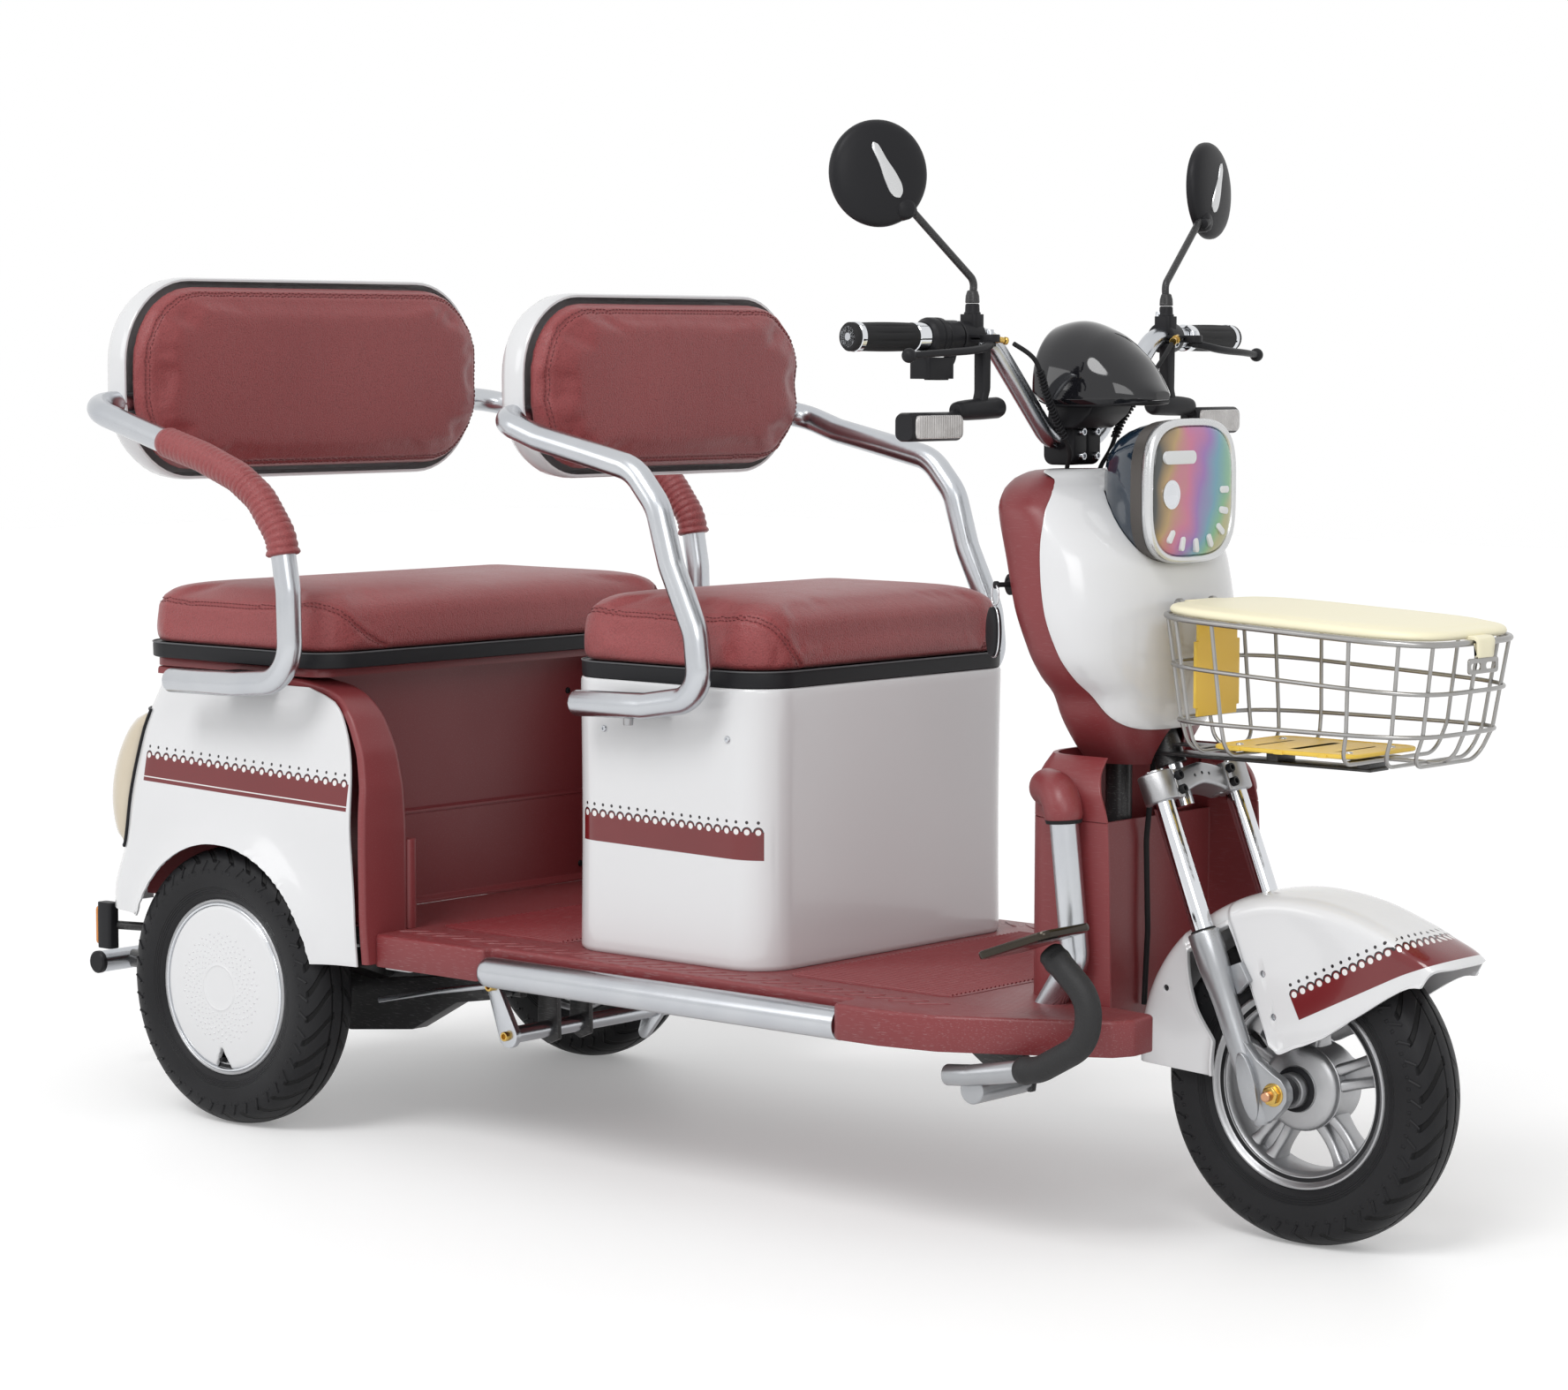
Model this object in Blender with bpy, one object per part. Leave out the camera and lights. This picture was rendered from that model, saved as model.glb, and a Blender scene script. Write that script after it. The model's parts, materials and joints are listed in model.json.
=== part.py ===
"""Electric tricycle with a driver's seat, a passenger seat and a front basket.

Metres, +X forward, +Y to the driver's left, +Z up. Every size below is measured
in a frame whose x starts at the rear axle; piece() moves the finished shapes so
that the origin lies on the ground under the middle of the machine.
"""

import math

import bmesh
import bpy
from mathutils import Matrix, Vector

# General fits
GAP = 0.0003
RUN = 0.0005
SKIN = 0.004
PANEL_SKIN = 0.003

# Wheels and tyres
WHEELBASE = 1.472
TRACK_HALF = 0.335
TYRE_RADIUS = 0.186
TYRE_HALF = 0.0418
TYRE_STEPS = 24
BEAD_HALF = 0.029
RIM_CHANNEL = 0.104
RIM_FLANGE = 0.117
RIM_LIP = 0.0047
RIM_WALL = 0.003
REAR_HUB_RADIUS = 0.030
REAR_HUB_INNER = 0.038
FRONT_HUB_RADIUS = 0.050
FRONT_HUB_HALF = 0.030
FRONT_SPOKES = 5
COVER_RADIUS = 0.109
COVER_DOME = 0.007
STUB_RADIUS = 0.0085
AXLE_RADIUS = 0.0065

# Floor
FLOOR_TOP = 0.277
SKIRT_BOTTOM = 0.235
FLOOR_HALF = 0.335
FLOOR_FLARE_HALF = 0.356
FLOOR_FRONT = 1.372
FLOOR_REAR = 0.0955
FLOOR_SIDE_REAR = 0.246
NOTCH_HALF = 0.312
NOTCH_LIP = 0.262
MAT_RISE = 0.0012
MAT_HALF = 0.235
DRIVER_MAT = (0.868, 1.125)
PASSENGER_MAT = (0.272, 0.495)
SIDE_BAR_Y = 0.335
SIDE_BAR_Z = 0.250
SIDE_BAR_RADIUS = 0.019
SIDE_BAR_REAR = 0.455
SIDE_BAR_FRONT = 1.040

# Driver's box and seats
BOX_REAR = 0.514
BOX_FRONT = 0.848
BOX_HALF = 0.2532
BOX_CORNER = 0.056
BOX_TOP = 0.622
TRIM_HEIGHT = 0.020
DRIVER_SEAT_HEIGHT = 0.108
REAR_SEAT_BACK = -0.200
REAR_SEAT_FRONT = 0.180
REAR_SEAT_HALF = 0.350
REAR_SEAT_HEIGHT = 0.102
SEAT_CORNER = 0.062

# Rear body
PANEL_FRONT_X = 0.0905
ARCH_WALL_Y = 0.275
PILLAR_FRONT = 0.256
LEDGE_Z = 0.408
BLOCK_Y = 0.255
BLOCK_TOP = 0.394
DECK_TOP = 0.6145
DECK_THICKNESS = 0.012
ARCH_RADIUS = 0.178
ARCH_X = 0.003
ARCH_Z = 0.199
ARCH_FLARE = 0.027
PANEL_BOTTOM = 0.235
PANEL_TOP = 0.590
CORNER_RADIUS = 0.075
REAR_PANEL_HALF = 0.2485
REAR_PANEL_BOTTOM = 0.272
LAMP_BOTTOM = 0.360
LAMP_TOP = 0.535
LAMP_DEPTH = 0.040

# Chassis tubes
RAIL_Y = 0.170
RAIL_Z = 0.246
RAIL_RADIUS = 0.014
RAIL_HIGH_Z = 0.418
BEARER_DEPTH = 0.030
BUMPER_X = -0.4275
BUMPER_Z = 0.157
BUMPER_RADIUS = 0.015
BUMPER_HALF = 0.230
CRASH_Y = 0.180
CRASH_RADIUS = 0.0165
SWING_PIVOT_X = 0.340
SWING_PIVOT_Z = 0.200
SWING_PIVOT_Y = 0.200
SHOCK_X = -0.030
SHOCK_Y = 0.190
SHOCK_BOTTOM = 0.232
SHOCK_RADIUS = 0.026
AXLE_TUBE_RADIUS = 0.022
AXLE_TUBE_HALF = 0.285
MOTOR_RADIUS = 0.068
MOTOR_HALF = 0.080
BRAKE_SHAFT_X = 0.400
BRAKE_SHAFT_Z = 0.148
BRAKE_SHAFT_RADIUS = 0.011
PEDAL_PIVOT_X = 1.213
PEDAL_PIVOT_Z = 0.190
PEDAL_Y = -0.312

# Seat hoops, backrests and armrests
REAR_HOOP_Y = 0.3955
REAR_HOOP_RADIUS = 0.016
REAR_HOOP_BACK = -0.245
REAR_HOOP_TOP = 0.955
DRIVER_HOOP_Y = 0.2917
DRIVER_HOOP_RADIUS = 0.016
DRIVER_HOOP_BACK = 0.437
DRIVER_HOOP_TOP = 0.945
HOOP_BEND = 0.060
SLEEVE_RADIUS = 0.0213
REAR_BACK_HALF = 0.327
REAR_BACK_LOW = 0.857
REAR_BACK_HIGH = 1.119
REAR_BACK_CORNER = 0.110
DRIVER_BACK_HALF = 0.255
DRIVER_BACK_LOW = 0.874
DRIVER_BACK_HIGH = 1.094
DRIVER_BACK_CORNER = 0.095
BACK_CUSHION_DEPTH = 0.036
BACK_SHELL_DEPTH = 0.040

# Leg shield and cowl
SHIELD_BOTTOM = 0.2773
SHIELD_TOP = 0.560
SHIELD_HALF = 0.157
SHIELD_REAR = 1.155
SHIELD_FRONT = 1.295
SHIELD_WEB_X = 1.218
SHIELD_WEB_TOP = 0.475
COWL_BOTTOM = 0.545
COWL_TOP = 0.888
COWL_WALL = 0.004
OVERLAY = 0.0022
HEADLIGHT_Z = 0.868
HEADLIGHT_FRONT = 1.296
HEADLIGHT_HALF_Y = 0.090
HEADLIGHT_HALF_Z = 0.085
HEADLIGHT_REAR = 1.205
LENS_INSET = 0.0075

# Steering
HEAD_X = 1.280
HEAD_Z = 0.515
RAKE = math.radians(22)
FORK_OFFSET = 0.0246
FORK_Y = 0.075
CROWN_HALF = 0.0175
HEAD_TUBE_LOW = 0.030
HEAD_TUBE_HIGH = 0.220
HEAD_TUBE_RADIUS = 0.018
STEERER_RADIUS = 0.0125
STANCHION_RADIUS = 0.013
STANCHION_LOW = -0.245
SLIDER_RADIUS = 0.019
SLIDER_TOP = -0.175
SLIDER_BORE_LOW = -0.305
FENDER_RADIUS = 0.230
FENDER_HALF = 0.060
BAR_RADIUS = 0.012
BAR_Z = 1.047
BAR_CLAMP_Z = 0.925
BAR_CLAMP_X = 1.118
BAR_END_X = 1.085
BAR_END_Y = 0.384
BAR_BEND_Y = 0.165
GRIP_RADIUS = 0.0165
GRIP_END_Y = 0.390
GRIP_INNER_Y = 0.255
PERCH_Y = 0.195
LEVER_X = 1.150
LEVER_Z = 1.035
LEVER_Y = 0.205
LEVER_BALL_Y = 0.350
MIRROR_Y = 0.330
MIRROR_Z = 1.232
MIRROR_X = 1.085
MIRROR_RADIUS = 0.061
MIRROR_DEPTH = 0.022
MIRROR_TURN_RIGHT = math.radians(25)
MIRROR_TURN_LEFT = math.radians(12)
HOOD_REAR = 1.100
HOOD_FRONT = 1.250
HOOD_HALF = 0.070
HOOD_LOW = 0.968
HOOD_HIGH = 1.067

# Basket
BASKET_REAR = 1.3046
BASKET_FRONT = 1.6827
BASKET_REAR_HALF = 0.115
BASKET_FRONT_HALF = 0.122
BASKET_RIM_Z = 0.7191
BASKET_SLOPE = -0.0476
BASKET_FLOOR_Z = 0.573
BASKET_WIRE = 0.0045
BASKET_COLUMNS = 18
LATCH_DEPTH = 0.0075
BRACKET_TOP = 0.5600
BRACKET_THICKNESS = 0.004

WHEEL_Z = TYRE_RADIUS * math.cos(math.pi / TYRE_STEPS)
ORIGIN_X = (BUMPER_X - BUMPER_RADIUS + BASKET_FRONT + BASKET_WIRE / 2 + LATCH_DEPTH) / 2
FLOOR_UNDER = FLOOR_TOP - SKIN

# Colours as red, green, blue, roughness and metallic
RED_PLASTIC = (0.243, 0.042, 0.045, 0.42, 0.0)
WHITE_PLASTIC = (0.760, 0.762, 0.770, 0.18, 0.0)
RED_LEATHER = (0.270, 0.046, 0.048, 0.52, 0.0)
BLACK_PLASTIC = (0.014, 0.014, 0.016, 0.40, 0.0)
GLOSS_BLACK = (0.010, 0.010, 0.012, 0.10, 0.0)
RUBBER = (0.018, 0.018, 0.019, 0.72, 0.0)
SATIN_STEEL = (0.620, 0.640, 0.660, 0.30, 1.0)
CHROME = (0.780, 0.790, 0.800, 0.08, 1.0)
CAST_ALUMINIUM = (0.520, 0.530, 0.540, 0.42, 1.0)
FRAME_PAINT = (0.600, 0.610, 0.620, 0.34, 0.9)
CLEAR_LENS = (0.420, 0.450, 0.480, 0.06, 0.1)
LAMP_CREAM = (0.720, 0.660, 0.540, 0.15, 0.0)
YELLOW = (0.860, 0.640, 0.110, 0.45, 0.0)
PALE_YELLOW = (0.920, 0.860, 0.580, 0.45, 0.0)
GREY_CASE = (0.100, 0.105, 0.110, 0.55, 0.0)

for leftover in list(bpy.data.objects):
    bpy.data.objects.remove(leftover, do_unlink=True)


# Shapes are pairs of points and faces until piece() makes an object of them.
def loft(loops, closed=False):
    """Skins loops with the same number of points; open lofts get flat ends."""
    count = len(loops[0])
    rows = len(loops)
    points = [Vector(point) for loop in loops for point in loop]
    faces = []
    for row in range(rows if closed else rows - 1):
        low = row * count
        high = ((row + 1) % rows) * count
        for i in range(count):
            j = (i + 1) % count
            faces.append((low + i, low + j, high + j, high + i))
    if not closed:
        faces.append(tuple(reversed(range(count))))
        faces.append(tuple(range((rows - 1) * count, rows * count)))
    return points, faces


def turned(profile, centre, axis=(0, 1, 0), steps=24, phase=0.13):
    """Turns a closed profile of (distance along the axis, radius) about the axis."""
    axis = Vector(axis).normalized()
    centre = Vector(centre)
    side = axis.orthogonal().normalized()
    if abs(axis.y) > 0.9:
        side = Vector((0, 0, 1))
        side = (side - axis * side.dot(axis)).normalized()
    up = axis.cross(side)
    loops = []
    for step in range(steps):
        angle = 2 * math.pi * (step + phase) / steps
        out = side * math.cos(angle) + up * math.sin(angle)
        loops.append([centre + axis * along + out * radius for along, radius in profile])
    return loft(loops, closed=True)


def sweep(path, radius, sides=8):
    """A round bar along a path, with flat ends."""
    path = [Vector(point) for point in path]
    radii = list(radius) if isinstance(radius, (list, tuple)) else [radius] * len(path)
    side = None
    loops = []
    for i, point in enumerate(path):
        ahead = path[min(i + 1, len(path) - 1)] - point
        behind = point - path[max(i - 1, 0)]
        tangent = (ahead.normalized() + behind.normalized()).normalized()
        side = side if side else tangent.orthogonal()
        side = (side - tangent * side.dot(tangent)).normalized()
        up = tangent.cross(side)
        loop = []
        for step in range(sides):
            angle = 2 * math.pi * (step + 0.5) / sides
            loop.append(point + (side * math.cos(angle) + up * math.sin(angle)) * radii[i])
        loops.append(loop)
    return loft(loops)


def bent(points, radius, step=22):
    """A path through straight runs whose corners are bent to a radius."""
    points = [Vector(point) for point in points]
    path = [points[0]]
    for before, corner, after in zip(points, points[1:], points[2:]):
        into = (corner - before).normalized()
        out = (after - corner).normalized()
        turn = into.angle(out)
        if turn < 0.02:
            path.append(corner)
            continue
        reach = min(radius * math.tan(turn / 2), 0.48 * (corner - before).length)
        reach = min(reach, 0.48 * (after - corner).length)
        bend = reach / math.tan(turn / 2)
        axis = into.cross(out).normalized()
        start = corner - into * reach
        centre = start + axis.cross(into) * bend
        count = math.ceil(math.degrees(turn) / step)
        for i in range(count + 1):
            turned_by = Matrix.Rotation(turn * i / count, 3, axis)
            path.append(centre + turned_by @ (start - centre))
    path.append(points[-1])
    return path


def tube(points, radius, bend=0.04, sides=6):
    return sweep(bent(points, bend, 30), radius, sides)


def prism(outline, low, high, axis="z"):
    """Extrudes a flat outline: (x, y) along z, (x, z) along y or (y, z) along x."""
    place = {
        "z": lambda a, b, c: (a, b, c),
        "y": lambda a, b, c: (a, c, b),
        "x": lambda a, b, c: (c, a, b),
    }[axis]
    return loft([[place(a, b, height) for a, b in outline] for height in (low, high)])


def box(low, high):
    outline = [(low[0], low[1]), (high[0], low[1]), (high[0], high[1]), (low[0], high[1])]
    return prism(outline, low[2], high[2])


def rounded_outline(low_a, high_a, low_b, high_b, corner, steps=3):
    """A rectangle with round corners, counterclockwise."""
    points = []
    centres = (
        (high_a - corner, high_b - corner, 0),
        (low_a + corner, high_b - corner, 1),
        (low_a + corner, low_b + corner, 2),
        (high_a - corner, low_b + corner, 3),
    )
    for a, b, quarter in centres:
        for i in range(steps + 1):
            angle = math.pi / 2 * (quarter + i / steps)
            points.append((a + corner * math.cos(angle), b + corner * math.sin(angle)))
    return points


def oval(centre_a, centre_b, half_a, half_b, power=2.0, steps=24):
    """A superellipse; power 2 is an ellipse and higher powers square it off."""
    points = []
    for i in range(steps):
        angle = 2 * math.pi * i / steps
        c, s = math.cos(angle), math.sin(angle)
        a = math.copysign(abs(c) ** (2 / power), c)
        b = math.copysign(abs(s) ** (2 / power), s)
        points.append((centre_a + half_a * a, centre_b + half_b * b))
    return points


def along(table, value):
    """Reads a smooth value between the rows of a short (position, value) table."""
    rows = sorted(table)
    if value <= rows[0][0]:
        return rows[0][1]
    for (a, low), (b, high) in zip(rows, rows[1:]):
        if value <= b:
            return low + (high - low) * (value - a) / (b - a)
    return rows[-1][1]


def mirrored(shape):
    points, faces = shape
    flipped = [Vector((p[0], -p[1], p[2])) for p in points]
    return flipped, [tuple(reversed(face)) for face in faces]


def mesh_of(name, shape, offset=Vector()):
    points, faces = shape
    mesh = bpy.data.meshes.new(name)
    mesh.from_pydata([tuple(Vector(point) - offset) for point in points], [], faces)
    work = bmesh.new()
    work.from_mesh(mesh)
    bmesh.ops.remove_doubles(work, verts=work.verts, dist=1e-6)
    loose = [edge for edge in work.edges if not edge.link_faces]
    bmesh.ops.delete(work, geom=loose, context="EDGES")
    bmesh.ops.recalc_face_normals(work, faces=work.faces)
    work.to_mesh(mesh)
    work.free()
    return mesh


def helper(shape):
    guide = bpy.data.objects.new("helper", mesh_of("helper", shape))
    bpy.context.scene.collection.objects.link(guide)
    guide.hide_render = True
    guide.display_type = "WIRE"
    return guide


def joined(*shapes, cut=(), keep=(), solver="EXACT"):
    """One solid of all the shapes, less those in cut and only inside those in keep."""
    base = helper(shapes[0])
    guides = [base]
    for operation, group in (("UNION", shapes[1:]), ("DIFFERENCE", cut), ("INTERSECT", keep)):
        for shape in group:
            guides.append(helper(shape))
            modifier = base.modifiers.new("join", "BOOLEAN")
            modifier.solver = solver
            modifier.operation = operation
            modifier.object = guides[-1]
    bpy.context.view_layer.update()
    evaluated = base.evaluated_get(bpy.context.evaluated_depsgraph_get())
    result = bpy.data.meshes.new_from_object(evaluated)
    points = [vertex.co.copy() for vertex in result.vertices]
    faces = [tuple(polygon.vertices) for polygon in result.polygons]
    bpy.data.meshes.remove(result)
    for guide in guides:
        bpy.data.objects.remove(guide, do_unlink=True)
    return points, faces


def finish(name, look):
    material = bpy.data.materials.new(name + "_finish")
    material.use_nodes = True
    shader = material.node_tree.nodes["Principled BSDF"]
    shader.inputs["Base Color"].default_value = (*look[:3], 1.0)
    shader.inputs["Roughness"].default_value = look[3]
    shader.inputs["Metallic"].default_value = look[4]
    material.diffuse_color = (*look[:3], 1.0)
    return material


def pivot(name, position, parent=None):
    empty = bpy.data.objects.new(name, None)
    empty.location = Vector(position) - Vector((ORIGIN_X, 0, 0))
    empty.empty_display_size = 0.05
    bpy.context.scene.collection.objects.link(empty)
    attach(empty, parent)
    return empty


def attach(child, parent):
    if parent:
        bpy.context.view_layer.update()
        child.parent = parent
        child.matrix_parent_inverse = parent.matrix_world.inverted()


def piece(name, shape, look, at=(0, 0, 0), parent=None, sharp=32):
    """Makes the named object, with its own origin at the given point."""
    at = Vector(at)
    mesh = mesh_of(name, shape, at)
    mesh.shade_smooth()
    mesh.set_sharp_from_angle(angle=math.radians(sharp))
    mesh.materials.append(finish(name, look))
    made = bpy.data.objects.new(name, mesh)
    made.location = at - Vector((ORIGIN_X, 0, 0))
    bpy.context.scene.collection.objects.link(made)
    attach(made, parent)
    return made


# Curves shared by the rear body, its side panels and its lamps
def panel_y(z):
    """Half-width of the rear body over the height, from the seat to the skirt."""
    return along(
        ((PANEL_BOTTOM, 0.352), (0.30, 0.357), (0.40, 0.358), (0.50, 0.346), (PANEL_TOP, 0.335)), z
    )


def panel_rear(z):
    """How far back the rear body reaches at a height."""
    return along(
        ((PANEL_BOTTOM, -0.285), (0.29, -0.281), (0.367, -0.253), (0.504, -0.233), (PANEL_TOP, -0.196)), z
    )


def panel_front(z):
    """The front edge of a white side panel."""
    return along(
        (
            (PANEL_BOTTOM, 0.242),
            (0.30, 0.241),
            (0.409, 0.233),
            (0.47, 0.228),
            (0.514, 0.220),
            (0.555, 0.202),
            (0.575, 0.182),
            (PANEL_TOP, 0.134),
        ),
        z,
    )


def panel_point(z, way, offset=0.0):
    """A point on the side panel: way 0 is its front edge, 1 the corner's start, 2 the rear seam."""
    front = panel_front(z)
    back = panel_rear(z)
    half = panel_y(z)
    corner_x = back + CORNER_RADIUS
    if way <= 1:
        x = front + (corner_x - front) * way
        away = math.hypot(x - ARCH_X, z - ARCH_Z) - ARCH_RADIUS
        flare = ARCH_FLARE * math.exp(-max(away, 0) / 0.028)
        return Vector((x, half + flare + offset, z))
    seam = REAR_PANEL_HALF + GAP
    arc = math.pi / 2 * CORNER_RADIUS
    flat = half - CORNER_RADIUS - seam
    walked = (way - 1) * (arc + flat)
    away = math.hypot(corner_x - ARCH_X, z - ARCH_Z) - ARCH_RADIUS
    flare = ARCH_FLARE * math.exp(-max(away, 0) / 0.028) * max(0, 1 - walked / 0.05)
    if walked <= arc:
        angle = walked / CORNER_RADIUS
        reach = CORNER_RADIUS + offset
        centre_y = half - CORNER_RADIUS
        return Vector(
            (corner_x - reach * math.sin(angle), centre_y + reach * math.cos(angle) + flare, z)
        )
    return Vector((back - offset, half - CORNER_RADIUS - (walked - arc), z))


def plate(grid_out, grid_in):
    """A curved plate between two grids of points with the same rows and columns."""
    rows = len(grid_out)
    columns = len(grid_out[0])
    points = [p for row in grid_out for p in row] + [p for row in grid_in for p in row]
    shift = rows * columns
    faces = []
    for i in range(rows - 1):
        for j in range(columns - 1):
            a, b = i * columns + j, i * columns + j + 1
            c, d = a + columns, b + columns
            faces.append((a, b, d, c))
            faces.append((shift + a, shift + c, shift + d, shift + b))
    rim = [j for j in range(columns)]
    rim += [i * columns + columns - 1 for i in range(1, rows)]
    rim += [(rows - 1) * columns + j for j in range(columns - 2, -1, -1)]
    rim += [i * columns for i in range(rows - 2, 0, -1)]
    for a, b in zip(rim, rim[1:] + rim[:1]):
        faces.append((a, shift + a, shift + b, b))
    return points, faces


def spread(low, high, count):
    return [low + (high - low) * i / (count - 1) for i in range(count)]


# Welded chassis
def rail(side):
    y = side * RAIL_Y
    path = [(1.188, y, RAIL_Z), (0.062, y, RAIL_Z), (0.006, y, RAIL_HIGH_Z)]
    return tube(path + [(-0.208, y, RAIL_HIGH_Z)], RAIL_RADIUS, bend=0.05)


def bumper_arm(side):
    y = side * RAIL_Y
    path = [(-0.205, y, RAIL_HIGH_Z - 0.002), (-0.205, y, BUMPER_Z), (BUMPER_X, y, BUMPER_Z)]
    return tube(path, RAIL_RADIUS * 0.9, bend=0.06)


def crash_path(foot=0.240):
    lower = [(1.262 - (0.330 - foot) * 0.65, CRASH_Y, foot), (1.262, CRASH_Y, 0.330), (1.240, CRASH_Y, 0.524)]
    far = [(x, -y, z) for x, y, z in reversed(lower)]
    return bent(lower + [(1.194, 0.150, 0.524), (1.194, -0.150, 0.524)] + far, 0.030, step=45)


def head_point(s, d=0.0, y=0.0):
    """A point s along the steering axis from the crown, d ahead of it and y to the left."""
    return Vector(
        (
            HEAD_X - s * math.sin(RAKE) + d * math.cos(RAKE),
            y,
            HEAD_Z + s * math.cos(RAKE) + d * math.sin(RAKE),
        )
    )


STEER_AXIS = (-math.sin(RAKE), 0.0, math.cos(RAKE))


def chassis():
    bearer_top = FLOOR_UNDER - GAP
    bearer_low = bearer_top - BEARER_DEPTH
    parts = [rail(1), rail(-1)]
    for x in (0.130, BRAKE_SHAFT_X, 0.650, 0.900, 1.130):
        reach = 0.255 if x < FLOOR_SIDE_REAR else NOTCH_HALF - SKIN - 0.011
        parts.append(box((x - 0.012, -reach, bearer_low), (x + 0.012, reach, bearer_top)))
    parts.append(tube([(1.188, -0.190, RAIL_Z), (1.188, 0.190, RAIL_Z)], RAIL_RADIUS * 1.02))
    for x, lift in ((SHOCK_X, 0.001), (-0.196, -0.001)):
        z = RAIL_HIGH_Z + lift
        parts.append(tube([(x, -0.212, z), (x, 0.212, z)], RAIL_RADIUS * 0.97))
    parts.append(sweep([(1.192, 0, RAIL_Z), (1.192, 0, 0.56), (1.224, 0, 0.665)], 0.016, 8))
    parts.append(sweep(crash_path(), CRASH_RADIUS, 8))
    bumper = [(BUMPER_X, -BUMPER_HALF, BUMPER_Z), (BUMPER_X, BUMPER_HALF, BUMPER_Z)]
    parts.append(turned(((-BUMPER_HALF, 0), (-BUMPER_HALF, BUMPER_RADIUS),
                         (BUMPER_HALF, BUMPER_RADIUS), (BUMPER_HALF, 0)),
                        (BUMPER_X, 0, BUMPER_Z), steps=10))
    low = head_point(HEAD_TUBE_LOW)
    parts.append(turned(((0, 0), (0, HEAD_TUBE_RADIUS), (HEAD_TUBE_HIGH - HEAD_TUBE_LOW, HEAD_TUBE_RADIUS),
                         (HEAD_TUBE_HIGH - HEAD_TUBE_LOW, 0)), low, STEER_AXIS, steps=12))
    bracket_low = BRACKET_TOP - BRACKET_THICKNESS
    parts.append(box((1.252, -0.0195, bracket_low), (1.556, 0.0195, BRACKET_TOP)))
    rest = BASKET_FLOOR_Z - BASKET_WIRE / 2
    for x in (1.422, 1.545):
        parts.append(box((x - 0.008, -0.019, bracket_low + 0.001), (x + 0.008, 0.019, rest)))
    cowl_bracket = head_point(0.165)
    parts.append(box((cowl_rear_x(cowl_bracket.z) + COWL_WALL + 0.003, -0.009, cowl_bracket.z - 0.011),
                     (cowl_bracket.x - 0.004, 0.009, cowl_bracket.z + 0.011)))
    for side in (1, -1):
        y = side * SIDE_BAR_Y
        parts.append(bumper_arm(side))
        parts.append(turned(((0, 0), (0.004, SIDE_BAR_RADIUS * 0.7), (0.012, SIDE_BAR_RADIUS),
                             (SIDE_BAR_FRONT - SIDE_BAR_REAR, SIDE_BAR_RADIUS),
                             (SIDE_BAR_FRONT - SIDE_BAR_REAR, 0)),
                            (SIDE_BAR_REAR, y, SIDE_BAR_Z), (1, 0, 0), steps=10))
        for x in (0.620, 0.885):
            parts.append(tube([(x, side * RAIL_Y, 0.244), (x, y, 0.244)], 0.0105))
        parts.append(box((SHOCK_X - 0.024, min(side * 0.166, side * 0.214), SHOCK_TOP + GAP),
                         (SHOCK_X + 0.024, max(side * 0.166, side * 0.214), RAIL_HIGH_Z + 0.004)))
        inner, outer = sorted((side * 0.163, side * 0.1755))
        parts.append(box((SWING_PIVOT_X - 0.022, inner, SWING_PIVOT_Z - 0.014),
                         (SWING_PIVOT_X + 0.022, outer, RAIL_Z)))
        pin = [(SWING_PIVOT_X, side * 0.168, SWING_PIVOT_Z), (SWING_PIVOT_X, side * 0.2190, SWING_PIVOT_Z)]
        parts.append(sweep(pin, SWING_PIN, 8))
    for y, top in ((-0.160, RAIL_Z), (-0.100, bearer_low + 0.004)):
        outline = [(BRAKE_SHAFT_X - 0.019, BRAKE_SHAFT_Z - 0.012), (BRAKE_SHAFT_X, BRAKE_SHAFT_Z - 0.020),
                   (BRAKE_SHAFT_X + 0.019, BRAKE_SHAFT_Z - 0.012), (BRAKE_SHAFT_X + 0.016, top),
                   (BRAKE_SHAFT_X - 0.016, top)]
        parts.append(prism(outline, y - 0.0035, y + 0.0035, axis="y"))
    pedal_plate = [(1.120, bearer_low + 0.004), (1.120, 0.225), (1.195, 0.176), (1.228, 0.176),
                   (1.232, 0.205), (1.205, 0.228), (1.142, bearer_low + 0.004)]
    parts.append(prism(pedal_plate, -0.218, -0.208, axis="y"))
    parts.append(sweep([(PEDAL_PIVOT_X, -0.212, PEDAL_PIVOT_Z), (PEDAL_PIVOT_X, -0.288, PEDAL_PIVOT_Z)],
                       PEDAL_PIN, 8))
    bore = turned(((-0.02, 0), (-0.02, STEERER_BORE), (0.30, STEERER_BORE), (0.30, 0)),
                  low, STEER_AXIS, steps=12)
    shaft_hole = turned(((-0.2, 0), (-0.2, BRAKE_BORE), (0.0, BRAKE_BORE), (0.0, 0)),
                        (BRAKE_SHAFT_X, 0, BRAKE_SHAFT_Z), steps=10)
    return joined(*parts, cut=[bore, shaft_hole])


def bore_for(radius, steps, clearance=RUN):
    """Radius of a faceted hole whose flats clear a shaft of the given radius."""
    return (radius + clearance) / math.cos(math.pi / steps)


STEERER_BORE = bore_for(STEERER_RADIUS, 12)
BRAKE_BORE = bore_for(BRAKE_SHAFT_RADIUS, 10)
SWING_PIN = 0.008
PEDAL_PIN = 0.008
SHOCK_TOP = 0.400


def cowl_rear_x(z):
    return along(((COWL_BOTTOM, 1.168), (0.65, 1.150), (0.75, 1.120), (0.85, 1.100), (COWL_TOP, 1.098)), z)


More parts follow.
